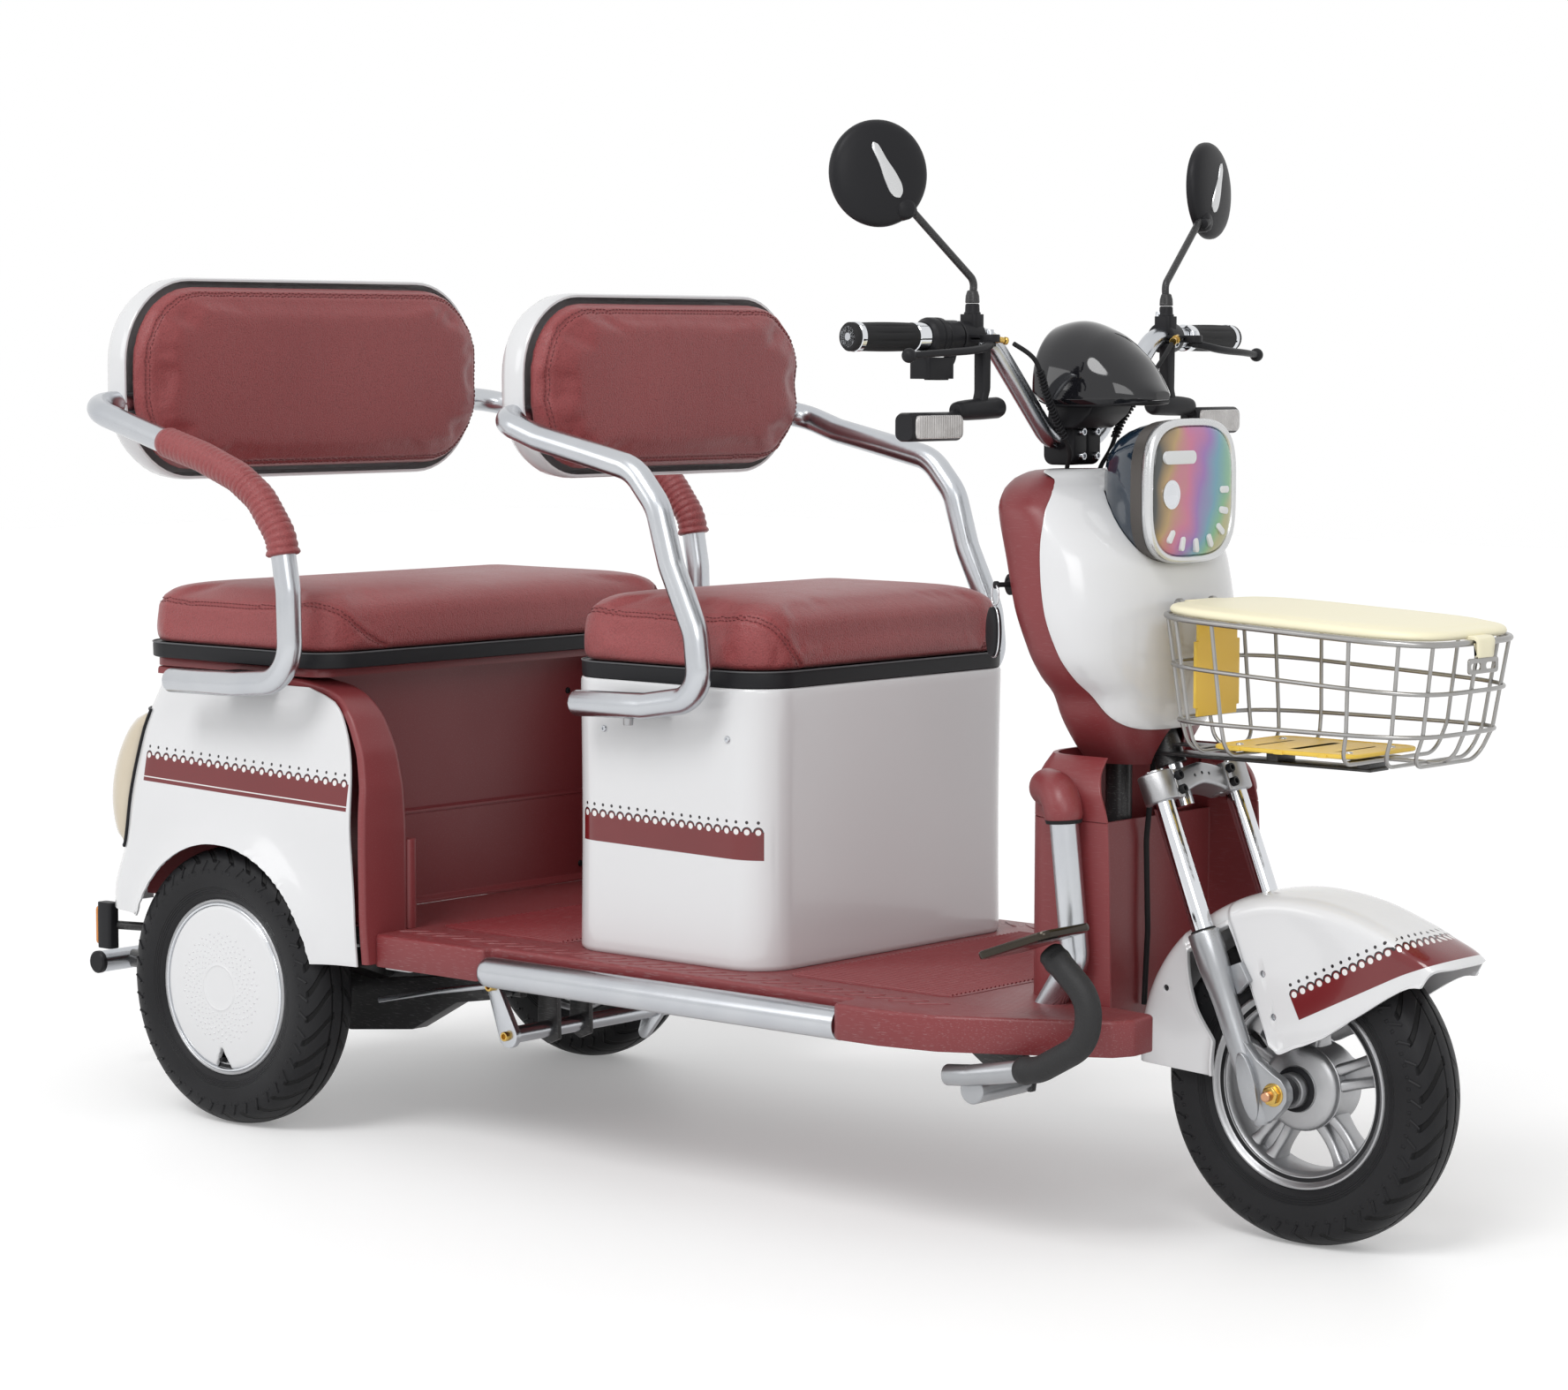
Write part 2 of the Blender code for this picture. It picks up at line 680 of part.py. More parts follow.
# Floor pan with its turned-down skirt, the recess over each side bar and two raised mats
def floor_outline(inset=0.0):
    """Half the outline from the rear middle to the front middle: (x, y, bottom z)."""
    low = SKIRT_BOTTOM
    notch_rear = SIDE_BAR_REAR - 0.006
    notch_front = SIDE_BAR_FRONT + GAP
    web = SHIELD_WEB_X - 0.006
    lip = FLOOR_UNDER - 0.003
    rows = [
        (FLOOR_REAR, 0.0, lip, 1, 0),
        (FLOOR_REAR, ARCH_WALL_Y - 0.006, lip, 1, -1),
        (FLOOR_SIDE_REAR, ARCH_WALL_Y - 0.006, lip, 1, -1),
        (FLOOR_SIDE_REAR, FLOOR_HALF - 0.012, low, 1, -0.6),
        (FLOOR_SIDE_REAR + 0.012, FLOOR_HALF, low, 0.6, -1),
        (notch_rear, FLOOR_HALF, low, -1, -1),
        (notch_rear + 0.002, NOTCH_HALF + 0.006, NOTCH_LIP, -1, -1),
        (notch_rear + 0.012, NOTCH_HALF, NOTCH_LIP, 0, -1),
        (notch_front - 0.010, NOTCH_HALF, NOTCH_LIP, 0, -1),
        (notch_front, NOTCH_HALF + 0.0025, NOTCH_LIP, 1, -1),
        (notch_front, FLOOR_FLARE_HALF, low, 1, -1),
        (1.110, FLOOR_FLARE_HALF - 0.001, low, 0, -1),
        (1.184, 0.341, low, -0.2, -1),
        (1.262, 0.298, low, -0.5, -0.9),
        (FLOOR_FRONT - 0.012, 0.240, low, -0.7, -0.8),
        (FLOOR_FRONT, 0.215, low, -1, -0.3),
        (FLOOR_FRONT - 0.004, SHIELD_HALF + 0.012, low, -1, 0.6),
        (SHIELD_FRONT + 0.012, SHIELD_HALF + 0.004, low, -0.3, 1),
        (web, SHIELD_HALF + 0.004, low, -1, 1),
        (web, 0.0, low, -1, 0),
    ]
    return [(x + dx * inset, y + dy * inset, z) for x, y, z, dx, dy in rows]


def floor_pan():
    def loop(inset, height):
        half = floor_outline(inset)
        other = [(x, -y, z) for x, y, z in reversed(half[1:-1])]
        return [(x, y, height(z)) for x, y, z in half + other]

    shoulder = FLOOR_TOP - 0.005
    shell = loft(
        [
            loop(SKIN, lambda z: FLOOR_UNDER),
            loop(SKIN, lambda z: z),
            loop(0.0, lambda z: z),
            loop(0.0, lambda z: shoulder),
            loop(0.004, lambda z: FLOOR_TOP),
        ]
    )
    mats = []
    for rear, front in (DRIVER_MAT, PASSENGER_MAT):
        outline = rounded_outline(rear, front, -MAT_HALF, MAT_HALF, 0.020)
        mats.append(prism(outline, FLOOR_TOP - 0.001, FLOOR_TOP + MAT_RISE))
    cuts = [box((1.170, -0.023, 0.2), (1.2135, 0.023, 0.3))]
    cuts.append(sweep(crash_path(0.205), bore_for(CRASH_RADIUS, 8, 0.0006), 8))
    return joined(shell, *mats, cut=cuts)


# Driver's box: an open bin with a rolled top edge
def box_loop(z, inset, corner):
    outline = rounded_outline(BOX_REAR + inset, BOX_FRONT - inset, -BOX_HALF + inset, BOX_HALF - inset, corner)
    return [(x, y, z) for x, y in outline]


def bin_shape():
    base = FLOOR_TOP + GAP
    return loft(
        [
            box_loop(base, 0.004, BOX_CORNER - 0.004),
            box_loop(base + 0.005, 0.0, BOX_CORNER),
            box_loop(BOX_TOP - 0.010, 0.0, BOX_CORNER),
            box_loop(BOX_TOP, 0.002, BOX_CORNER - 0.002),
            box_loop(BOX_TOP, SKIN, BOX_CORNER - SKIN),
            box_loop(base + SKIN, SKIN, BOX_CORNER - SKIN),
        ]
    )


def seat_shape(rear, front, half, base, height, crown=0.016):
    """A padded lid: a hard rim, straight sides and a softly crowned top."""
    def loop(z, inset):
        outline = rounded_outline(rear + inset, front - inset, -half + inset, half - inset,
                                  max(SEAT_CORNER - inset, 0.012))
        return [(x, y, z) for x, y in outline]

    rim = base + TRIM_HEIGHT
    top = base + height
    return loft(
        [
            loop(base, 0.003),
            loop(rim, 0.003),
            loop(rim + 0.001, 0.0),
            loop(rim + 0.008, -0.003),
            loop(top - crown - 0.018, -0.002),
            loop(top - crown - 0.004, 0.006),
            loop(top - crown, 0.018),
            loop(top - 0.004, 0.070),
            loop(top, 0.140),
        ]
    )


# Rear body: recessed front panel, wheel arches, pillars and the deck under the seat
def pillar_profile():
    """Front and top of a pillar as (x, z), from the floor to the back of the deck."""
    return [
        (PILLAR_FRONT, FLOOR_TOP + GAP),
        (PILLAR_FRONT, 0.410),
        (0.252, 0.465),
        (0.240, 0.513),
        (0.216, 0.557),
        (0.190, 0.579),
        (0.160, 0.592),
        (0.110, 0.599),
        (0.050, 0.6015),
        (-0.170, 0.6015),
    ]


def pillar(side):
    profile = [Vector((x, z)) for x, z in pillar_profile()]
    loops = []
    for i, here in enumerate(profile):
        before = profile[max(i - 1, 0)]
        after = profile[min(i + 1, len(profile) - 1)]
        run = (after - before).normalized()
        inward = Vector((-run.y, run.x))
        inner = here + inward * SKIN
        outer = min(panel_y(min(here.y, PANEL_TOP)) - PANEL_SKIN - GAP, 0.360)
        outer = DECK_HALF if here.y > 0.58 else outer
        near = ARCH_WALL_Y - 0.0025
        loops.append(
            [
                (here.x, side * near, here.y),
                (here.x, side * (outer - 0.004), here.y),
                (here.x + inward.x * 0.003, side * outer, here.y + inward.y * 0.003),
                (inner.x, side * outer, inner.y),
                (inner.x, side * near, inner.y),
            ]
        )
    return loft(loops)


DECK_HALF = 0.330


def rear_body():
    base = FLOOR_TOP + GAP
    deck_low = DECK_TOP - DECK_THICKNESS
    parts = []
    recess = [
        (PANEL_FRONT_X, base),
        (PANEL_FRONT_X, LEDGE_Z - 0.004),
        (PANEL_FRONT_X - 0.005, LEDGE_Z),
        (PANEL_FRONT_X - 0.005, DECK_TOP - 0.003),
        (PANEL_FRONT_X - 0.005 - SKIN, DECK_TOP - 0.003),
        (PANEL_FRONT_X - 0.005 - SKIN, LEDGE_Z - 0.002),
        (PANEL_FRONT_X - SKIN, LEDGE_Z - 0.006),
        (PANEL_FRONT_X - SKIN, base),
    ]
    parts.append(prism(recess, -ARCH_WALL_Y + 0.002, ARCH_WALL_Y - 0.002, axis="y"))
    rear_edge = -0.186
    deck = rounded_outline(rear_edge, 0.150, -DECK_HALF, DECK_HALF, 0.030)
    parts.append(prism(deck, deck_low, DECK_TOP))
    inset = 0.0012
    wall = [(PILLAR_FRONT - inset, base)]
    wall += [(x - inset, z - inset) for x, z in pillar_profile()[1:]]
    wall += [(rear_edge + 0.004, 0.600), (-0.215, 0.500), (-0.238, 0.367), (-0.262, 0.290), (-0.262, base)]
    for side in (1, -1):
        parts.append(pillar(side))
        low, high = sorted((side * (ARCH_WALL_Y - SKIN), side * ARCH_WALL_Y))
        parts.append(prism(wall, low, high, axis="y"))
        low, high = sorted((side * BLOCK_Y, side * (ARCH_WALL_Y - 0.001)))
        foot = rounded_outline(PANEL_FRONT_X - 0.003, PILLAR_FRONT - 0.001, low, high, 0.008, steps=2)
        parts.append(prism(foot, base, BLOCK_TOP))
        low, high = sorted((side * (DECK_HALF - 0.020), side * (panel_y(PANEL_TOP) - PANEL_SKIN - GAP)))
        for x in (-0.110, 0.101):
            parts.append(box((x - 0.012, low, PANEL_TOP - 0.024), (x + 0.012, high, deck_low + 0.002)))
    opening = prism(rounded_outline(-0.160, 0.055, -0.235, 0.235, 0.030), deck_low - 0.01, DECK_TOP + 0.01)
    return joined(*parts, cut=[opening])


PANEL_LEVELS = (PANEL_BOTTOM, 0.300, 0.335, 0.367, 0.415, 0.465, 0.520, 0.560, PANEL_TOP)


def side_panel(side):
    heights = PANEL_LEVELS
    ways = [0, 0.10, 0.25, 0.40, 0.55, 0.70, 0.85, 1.0, 1.25, 1.5, 1.75, 2.0]
    outer = [[panel_point(z, way) for way in ways] for z in heights]
    inner = [[panel_point(z, way, -PANEL_SKIN) for way in ways] for z in heights]
    shell = plate(outer, inner)
    arch = turned(((0.15, 0), (0.15, ARCH_RADIUS), (0.45, ARCH_RADIUS), (0.45, 0)),
                  (ARCH_X, 0, ARCH_Z), steps=30)
    tail = box((-0.4, 0.1, 0.1), (-0.08, 0.45, REAR_PANEL_BOTTOM - 0.006))
    shape = joined(shell, cut=[arch, tail])
    return shape if side > 0 else mirrored(shape)


def rear_panel():
    columns = spread(-REAR_PANEL_HALF, REAR_PANEL_HALF, 7)
    heights = [REAR_PANEL_BOTTOM, 0.29, 0.367, 0.504, PANEL_TOP]

    def point(y, z, offset):
        crown = 0.006 * (1 - (y / REAR_PANEL_HALF) ** 2)
        return Vector((panel_rear(z) - crown + offset, y, z))

    return plate(
        [[point(y, z, 0.0) for y in columns] for z in heights],
        [[point(y, z, PANEL_SKIN) for y in columns] for z in heights],
    )


def tail_lamp(side):
    heights = [LAMP_BOTTOM, *PANEL_LEVELS[3:-2], LAMP_TOP]
    ways = spread(1.30, 1.93, 5)

    def bulge(row, column):
        a = math.sin(math.pi * row / (len(heights) - 1)) ** 0.45
        b = math.sin(math.pi * column / (len(ways) - 1)) ** 0.55
        return 0.004 + (LAMP_DEPTH - 0.010) * a * b

    outer = []
    inner = []
    for i, z in enumerate(heights):
        outer.append([panel_point(z, way, bulge(i, j)) for j, way in enumerate(ways)])
        inner.append([panel_point(z, way, 4 * GAP) for way in ways])
    shape = plate(outer, inner)
    return shape if side > 0 else mirrored(shape)


def battery():
    base = RAIL_HIGH_Z + RAIL_RADIUS + 2 * GAP
    outline = rounded_outline(-0.180, 0.050, -0.166, 0.166, 0.012, steps=2)
    lid = rounded_outline(-0.176, 0.046, -0.162, 0.162, 0.010, steps=2)
    handle = tube([(-0.065, -0.060, base + 0.128), (-0.065, -0.060, base + 0.152),
                   (-0.065, 0.060, base + 0.152), (-0.065, 0.060, base + 0.128)], 0.006, bend=0.012, sides=6)
    return joined(prism(outline, base, base + 0.110), prism(lid, base + 0.109, base + 0.130), handle)


# Seat hoops: one bent tube from side to side, passing behind the backrest
def hoop_path(side_run, y, back_x, back_z):
    right = [(x, -y, z) for x, z in side_run] + [(back_x, -y, back_z)]
    left = [(x, -py, z) for x, py, z in reversed(right)]
    return bent(right + left, HOOP_BEND, step=36)


REAR_RUN = (
    (-0.070, 0.592),
    (0.062, 0.594),
    (0.166, 0.603),
    (0.163, 0.720),
    (0.150, 0.790),
    (0.112, 0.838),
    (0.070, 0.864),
    (0.000, 0.889),
    (-0.086, 0.911),
)
DRIVER_RUN = (
    (0.572, 0.594),
    (0.690, 0.597),
    (0.782, 0.612),
    (0.773, 0.690),
    (0.733, 0.771),
    (0.711, 0.842),
    (0.672, 0.886),
    (0.600, 0.902),
    (0.510, 0.921),
)


def hoop(side_run, y, back_x, back_z, radius, bracket, seat_y, bracket_z):
    path = hoop_path(side_run, y, back_x, back_z)
    parts = [sweep(path, radius, 8)]
    for side in (1, -1):
        low, high = sorted((side * (seat_y + GAP), side * (y - radius * 0.6)))
        parts.append(box((bracket[0], low, bracket_z[0]), (bracket[1], high, bracket_z[1])))
    return joined(*parts)


def sleeve(side):
    """The soft armrest: a tube over the curved part of the rear hoop."""
    run = [Vector((x, side * REAR_HOOP_Y, z)) for x, z in REAR_RUN[3:]]
    run[0] = run[0].lerp(run[1], 0.65)
    run[-1] = run[-2].lerp(run[-1], 0.88)
    path = bent(run, HOOP_BEND, step=36)
    inner = bore_for(REAR_HOOP_RADIUS, 8, 0.0004)
    outer = [SLEEVE_RADIUS] * len(path)

    def loops(radius):
        points, _ = sweep(path, radius, 8)
        return [points[i * 8:(i + 1) * 8] for i in range(len(path))]

    return loft(loops(outer) + loops(inner)[::-1], closed=True)


# Backrests: a dished shell behind, a cushion in front and the hoop between them
def back_loop(x, half, low, high, corner, inset):
    outline = rounded_outline(-half + inset, half - inset, low + inset, high - inset, max(corner - inset, 0.01))
    return [(x, y, z) for y, z in outline]


def back_shell(bar_x, bar_radius, half, low, high, corner, path):
    front = bar_x + bar_radius + 2 * GAP - GAP
    rear = front - BACK_SHELL_DEPTH - bar_radius
    rim = 0.008

    def loop(x, inset):
        return back_loop(x, half + rim, low - rim, high + rim, corner + rim, inset)

    shell = loft(
        [
            loop(rear, 0.050),
            loop(rear + 0.004, 0.022),
            loop(rear + 0.016, 0.006),
            loop(front - 0.014, 0.0),
            loop(front, 0.002),
            loop(front, 0.002 + PANEL_SKIN),
            loop(front - 0.014, PANEL_SKIN),
            loop(rear + 0.018, 0.006 + PANEL_SKIN),
            loop(rear + 0.008, 0.024 + PANEL_SKIN),
            loop(rear + 0.004, 0.050),
        ]
    )
    seat = bar_radius + GAP / math.cos(math.pi / 8)
    return joined(shell, cut=[sweep(path, seat, 8)])


def back_cushion(bar_x, bar_radius, half, low, high, corner):
    base = bar_x + bar_radius + 2 * GAP

    def loop(depth, inset):
        return back_loop(base + depth, half, low, high, corner, inset)

    return loft(
        [
            loop(0.0, 0.004),
            loop(0.006, 0.0),
            loop(BACK_CUSHION_DEPTH * 0.55, 0.001),
            loop(BACK_CUSHION_DEPTH * 0.83, 0.012),
            loop(BACK_CUSHION_DEPTH * 0.94, 0.032),
            loop(BACK_CUSHION_DEPTH, 0.075),
        ]
    )


# Leg shield: a hollow column with forward flanges, open above its front web
def shield_half(z):
    return along(((SHIELD_BOTTOM, SHIELD_HALF), (0.515, SHIELD_HALF), (0.540, 0.146), (SHIELD_TOP, 0.122)), z)


def shield_section(z, inside):
    """Half of one level, from the rear middle round the flange to the middle of the web."""
    half = shield_half(z)
    rear = SHIELD_REAR
    front = along(((SHIELD_BOTTOM, SHIELD_FRONT), (0.480, SHIELD_FRONT - 0.006), (SHIELD_TOP, 1.262)), z)
    web = SHIELD_WEB_X
    if inside:
        face = web - SKIN
        return [
            (rear + SKIN, 0.0),
            (rear + SKIN + 0.005, half - 0.084),
            (rear + SKIN + 0.0175, half - 0.035),
            (rear + SKIN + 0.0345, half - 0.0108),
            (rear + SKIN + 0.0485, half - SKIN - 0.0005),
            (face - 0.0015, half - SKIN - 0.0005),
            (face - 0.0007, half - SKIN - 0.0010),
            (face, half - SKIN - 0.0020),
            (face, half * 0.49),
            (face, 0.0),
        ]
    return [
        (rear, 0.0),
        (rear + 0.005, half - 0.082),
        (rear + 0.018, half - 0.032),
        (rear + 0.036, half - 0.007),
        (SHIELD_WEB_X - 0.001, half),
        (front, half),
        (front, half - SKIN),
        (web, half - SKIN),
        (web, half * 0.50),
        (web, 0.0),
    ]


def leg_shield():
    heights = [SHIELD_BOTTOM, 0.40, 0.515, 0.530, 0.545, SHIELD_TOP]

    def loop(z, inside):
        half = shield_section(z, inside)
        around = half + [(x, -y) for x, y in reversed(half[1:-1])]
        skirt = z == SHIELD_BOTTOM and not inside
        return [(x, y, SKIRT_BOTTOM if skirt and x > SHIELD_WEB_X - 0.0005 else z) for x, y in around]

    shell = loft([loop(z, False) for z in heights] + [loop(z, True) for z in reversed(heights)], closed=True)
    window = []
    for z in (SHIELD_WEB_TOP, 0.515, 0.540, SHIELD_TOP, SHIELD_TOP + 0.030):
        reach = shield_half(z) - SKIN - GAP - 0.6 * max(z - SHIELD_TOP, 0)
        low, high = SHIELD_WEB_X - SKIN - 0.0008, SHIELD_FRONT + 0.030
        window.append([(low, -reach, z), (high, -reach, z), (high, reach, z), (low, reach, z)])
    holes = sweep(crash_path(), bore_for(CRASH_RADIUS, 8, 0.0006), 8)
    return joined(shell, cut=[loft(window), holes], solver="MANIFOLD")


# Cowl: the red body round the head tube and the white shield laid over its front
def cowl_half(z):
    return along(
        (
            (COWL_BOTTOM, 0.054),
            (0.568, 0.081),
            (0.602, 0.108),
            (0.629, 0.120),
            (0.651, 0.143),
            (0.680, 0.160),
            (0.735, 0.170),
            (0.800, 0.168),
            (0.845, 0.164),
            (0.868, 0.146),
            (COWL_TOP, 0.100),
        ),
        z,
    )


def cowl_front_x(z):
    return along(
        ((COWL_BOTTOM, 1.258), (0.570, 1.270), (0.600, 1.278), (0.700, 1.286), (0.780, 1.276),
         (0.840, 1.236), (0.868, 1.208), (COWL_TOP, 1.176)), z)


def cowl_point(z, turn, offset=0.0):
    """A point on the cowl at a height; turn runs from the front centre round to the left."""
    rear = cowl_rear_x(z)
    front = cowl_front_x(z)
    middle = rear + (front - rear) * 0.42
    c, s = math.cos(turn), math.sin(turn)
    depth = (front - middle) if c >= 0 else (middle - rear)
    power = 2.5 if c >= 0 else 2.9
    x = middle + math.copysign(abs(c) ** (2 / power), c) * (depth + offset)
    y = math.copysign(abs(s) ** (2 / power), s) * (cowl_half(z) + offset)
    return Vector((x, y, z))


def headlight_loop(x, half_y, half_z, steps=20):
    return [(x, y, z) for y, z in oval(0, HEADLIGHT_Z, half_y, half_z, 3.4, steps)]


def headlight_body(margin=0.0):
    loops = [
        headlight_loop(HEADLIGHT_REAR - margin, 0.050 + margin, 0.048 + margin),
        headlight_loop(HEADLIGHT_REAR + 0.018, 0.071 + margin, 0.067 + margin),
        headlight_loop(HEADLIGHT_REAR + 0.045, 0.0825 + margin, 0.078 + margin),
        headlight_loop(HEADLIGHT_FRONT - 0.014, HEADLIGHT_HALF_Y - 0.001 + margin, HEADLIGHT_HALF_Z - 0.001 + margin),
        headlight_loop(HEADLIGHT_FRONT - 0.004, HEADLIGHT_HALF_Y + margin, HEADLIGHT_HALF_Z + margin),
    ]
    return loops


def headlight_housing():
    ring_y = HEADLIGHT_HALF_Y - LENS_INSET
    ring_z = HEADLIGHT_HALF_Z - LENS_INSET
    loops = headlight_body() + [
        headlight_loop(HEADLIGHT_FRONT, HEADLIGHT_HALF_Y - 0.003, HEADLIGHT_HALF_Z - 0.003),
        headlight_loop(HEADLIGHT_FRONT, ring_y, ring_z),
        headlight_loop(HEADLIGHT_FRONT - LENS_INSET, ring_y, ring_z),
    ]
    return loft(loops)


def headlight_lens():
    half_y = HEADLIGHT_HALF_Y - LENS_INSET - GAP
    half_z = HEADLIGHT_HALF_Z - LENS_INSET - GAP
    rear = HEADLIGHT_FRONT - LENS_INSET + GAP
    return loft(
        [
            headlight_loop(rear, half_y, half_z),
            headlight_loop(HEADLIGHT_FRONT - 0.001, half_y, half_z),
            headlight_loop(HEADLIGHT_FRONT + 0.002, half_y - 0.006, half_z - 0.006),
            headlight_loop(HEADLIGHT_FRONT + 0.004, half_y - 0.040, half_z - 0.040),
        ]
    )


COWL_STEPS = 20
COWL_LEVELS = (COWL_BOTTOM, 0.568, 0.602, 0.640, 0.680, 0.740, 0.800, 0.850, COWL_TOP - 0.006)


def cowl_rear():
    steps = COWL_STEPS
    heights = COWL_LEVELS

    def loop(z, offset):
        return [cowl_point(z, 2 * math.pi * (i + 0.5) / steps, offset) for i in range(steps)]

    mouth_x = head_point((COWL_TOP - HEAD_Z) / math.cos(RAKE)).x

    def mouth(z, radius):
        around = []
        for i in range(steps):
            angle = 2 * math.pi * (i + 0.5) / steps
            around.append((mouth_x + radius * math.cos(angle), radius * 1.1 * math.sin(angle), z))
        return around

    outer = [loop(z, 0.0) for z in heights] + [mouth(COWL_TOP, 0.038)]
    inner = [mouth(COWL_TOP - COWL_WALL, 0.038)] + [loop(z - COWL_WALL * (z > 0.86), -COWL_WALL) for z in reversed(heights)]
    shell = loft(outer + inner, closed=True)
    lamp = loft(headlight_body(0.0006) + [headlight_loop(HEADLIGHT_FRONT + 0.02, 0.0906, 0.0856)])
    neck = turned(((-0.040, 0), (-0.040, 0.026), (0.075, 0.026), (0.075, 0)), head_point(0), STEER_AXIS, steps=12)
    return joined(shell, cut=[lamp, neck])


def cowl_front():
    """The white shield: the front of the cowl as far back as a seam drawn in side view."""
    reach = COWL_STEPS // 4 + 2

    def row(z, offset):
        return [cowl_point(z, 2 * math.pi * (i + 0.5) / COWL_STEPS, offset) for i in range(-reach, reach)]

    levels = COWL_LEVELS[1:]
    shell = plate([row(z, 5 * GAP + OVERLAY) for z in levels], [row(z, 5 * GAP) for z in levels])
    seam = [(1.196, 0.900), (1.198, 0.800), (1.203, 0.750), (1.214, 0.700), (1.231, 0.650), (1.246, 0.612),
            (1.262, 0.593), (1.276, 0.587), (1.330, 0.587), (1.330, 0.900)]
    lamp = loft(headlight_body(0.0006) + [headlight_loop(HEADLIGHT_FRONT + 0.02, 0.0906, 0.0856)])
    return joined(shell, cut=[lamp], keep=[prism(seam, -0.25, 0.25, axis="y")])


# Fork: crown with the steerer and the handlebar clamp
def crown():
    def slab(low, high, outline):
        return loft([[head_point(s, d, y) for d, y in outline] for s in (low, high)])

    bridge = rounded_outline(-0.002, 0.050, -FORK_Y - 0.021, FORK_Y + 0.021, 0.020, steps=3)
    waist = oval(0.004, 0.0, 0.030, 0.036, 2.2, 16)
    steerer_top = (BAR_CLAMP_Z - HEAD_Z) / math.cos(RAKE) - 0.028
    steerer = turned(((-CROWN_HALF - 0.004, 0), (-CROWN_HALF - 0.004, STEERER_RADIUS),
                      (steerer_top, STEERER_RADIUS), (steerer_top, 0)), head_point(0), STEER_AXIS, steps=12)
    race = turned(((CROWN_HALF - 0.001, 0), (CROWN_HALF - 0.001, 0.0175),
                   (HEAD_TUBE_LOW - 0.0006, 0.0175), (HEAD_TUBE_LOW - 0.0006, 0)),
                  head_point(0), STEER_AXIS, steps=12)
    nut = turned(((HEAD_TUBE_HIGH + 0.0006, 0), (HEAD_TUBE_HIGH + 0.0006, 0.0175),
                  (HEAD_TUBE_HIGH + 0.016, 0.0175), (HEAD_TUBE_HIGH + 0.016, 0)),
                 head_point(0), STEER_AXIS, steps=8, phase=0.31)
    clamp = rounded_outline(BAR_CLAMP_X - 0.023, BAR_CLAMP_X + 0.023, BAR_CLAMP_Z - 0.030, BAR_CLAMP_Z + 0.021,
                            0.010, steps=2)
    stem = prism(clamp, -0.027, 0.027, axis="y")
    post = prism([(1.112, BAR_CLAMP_Z + 0.015), (1.136, BAR_CLAMP_Z + 0.015), (1.165, HOOD_LOW - GAP),
                  (1.122, HOOD_LOW - GAP)], -0.016, 0.016, axis="y")
    holes = []
    for side in (1, -1):
        hole = bore_for(STANCHION_RADIUS, 10, 0.0003)
        holes.append(turned(((-0.05, 0), (-0.05, hole), (0.05, hole), (0.05, 0)),
                            head_point(0, FORK_OFFSET, side * FORK_Y), STEER_AXIS, steps=10))
    bar_hole = bore_for(BAR_RADIUS, 10, 0.0003)
    holes.append(turned(((-0.05, 0), (-0.05, bar_hole), (0.05, bar_hole), (0.05, 0)),
                        (BAR_CLAMP_X, 0, BAR_CLAMP_Z), (0, 1, 0), steps=10, phase=0.5))
    return joined(slab(-CROWN_HALF, CROWN_HALF, bridge), slab(-CROWN_HALF - 0.003, CROWN_HALF + 0.001, waist),
                  steerer, race, nut, stem, post, cut=holes, solver="MANIFOLD")


def stanchion(side):
    top = CROWN_HALF + 0.003
    return turned(((STANCHION_LOW, 0), (STANCHION_LOW, STANCHION_RADIUS), (top - 0.002, STANCHION_RADIUS),
                   (top, STANCHION_RADIUS - 0.002), (top, 0)),
                  head_point(0, FORK_OFFSET, side * FORK_Y), STEER_AXIS, steps=12)


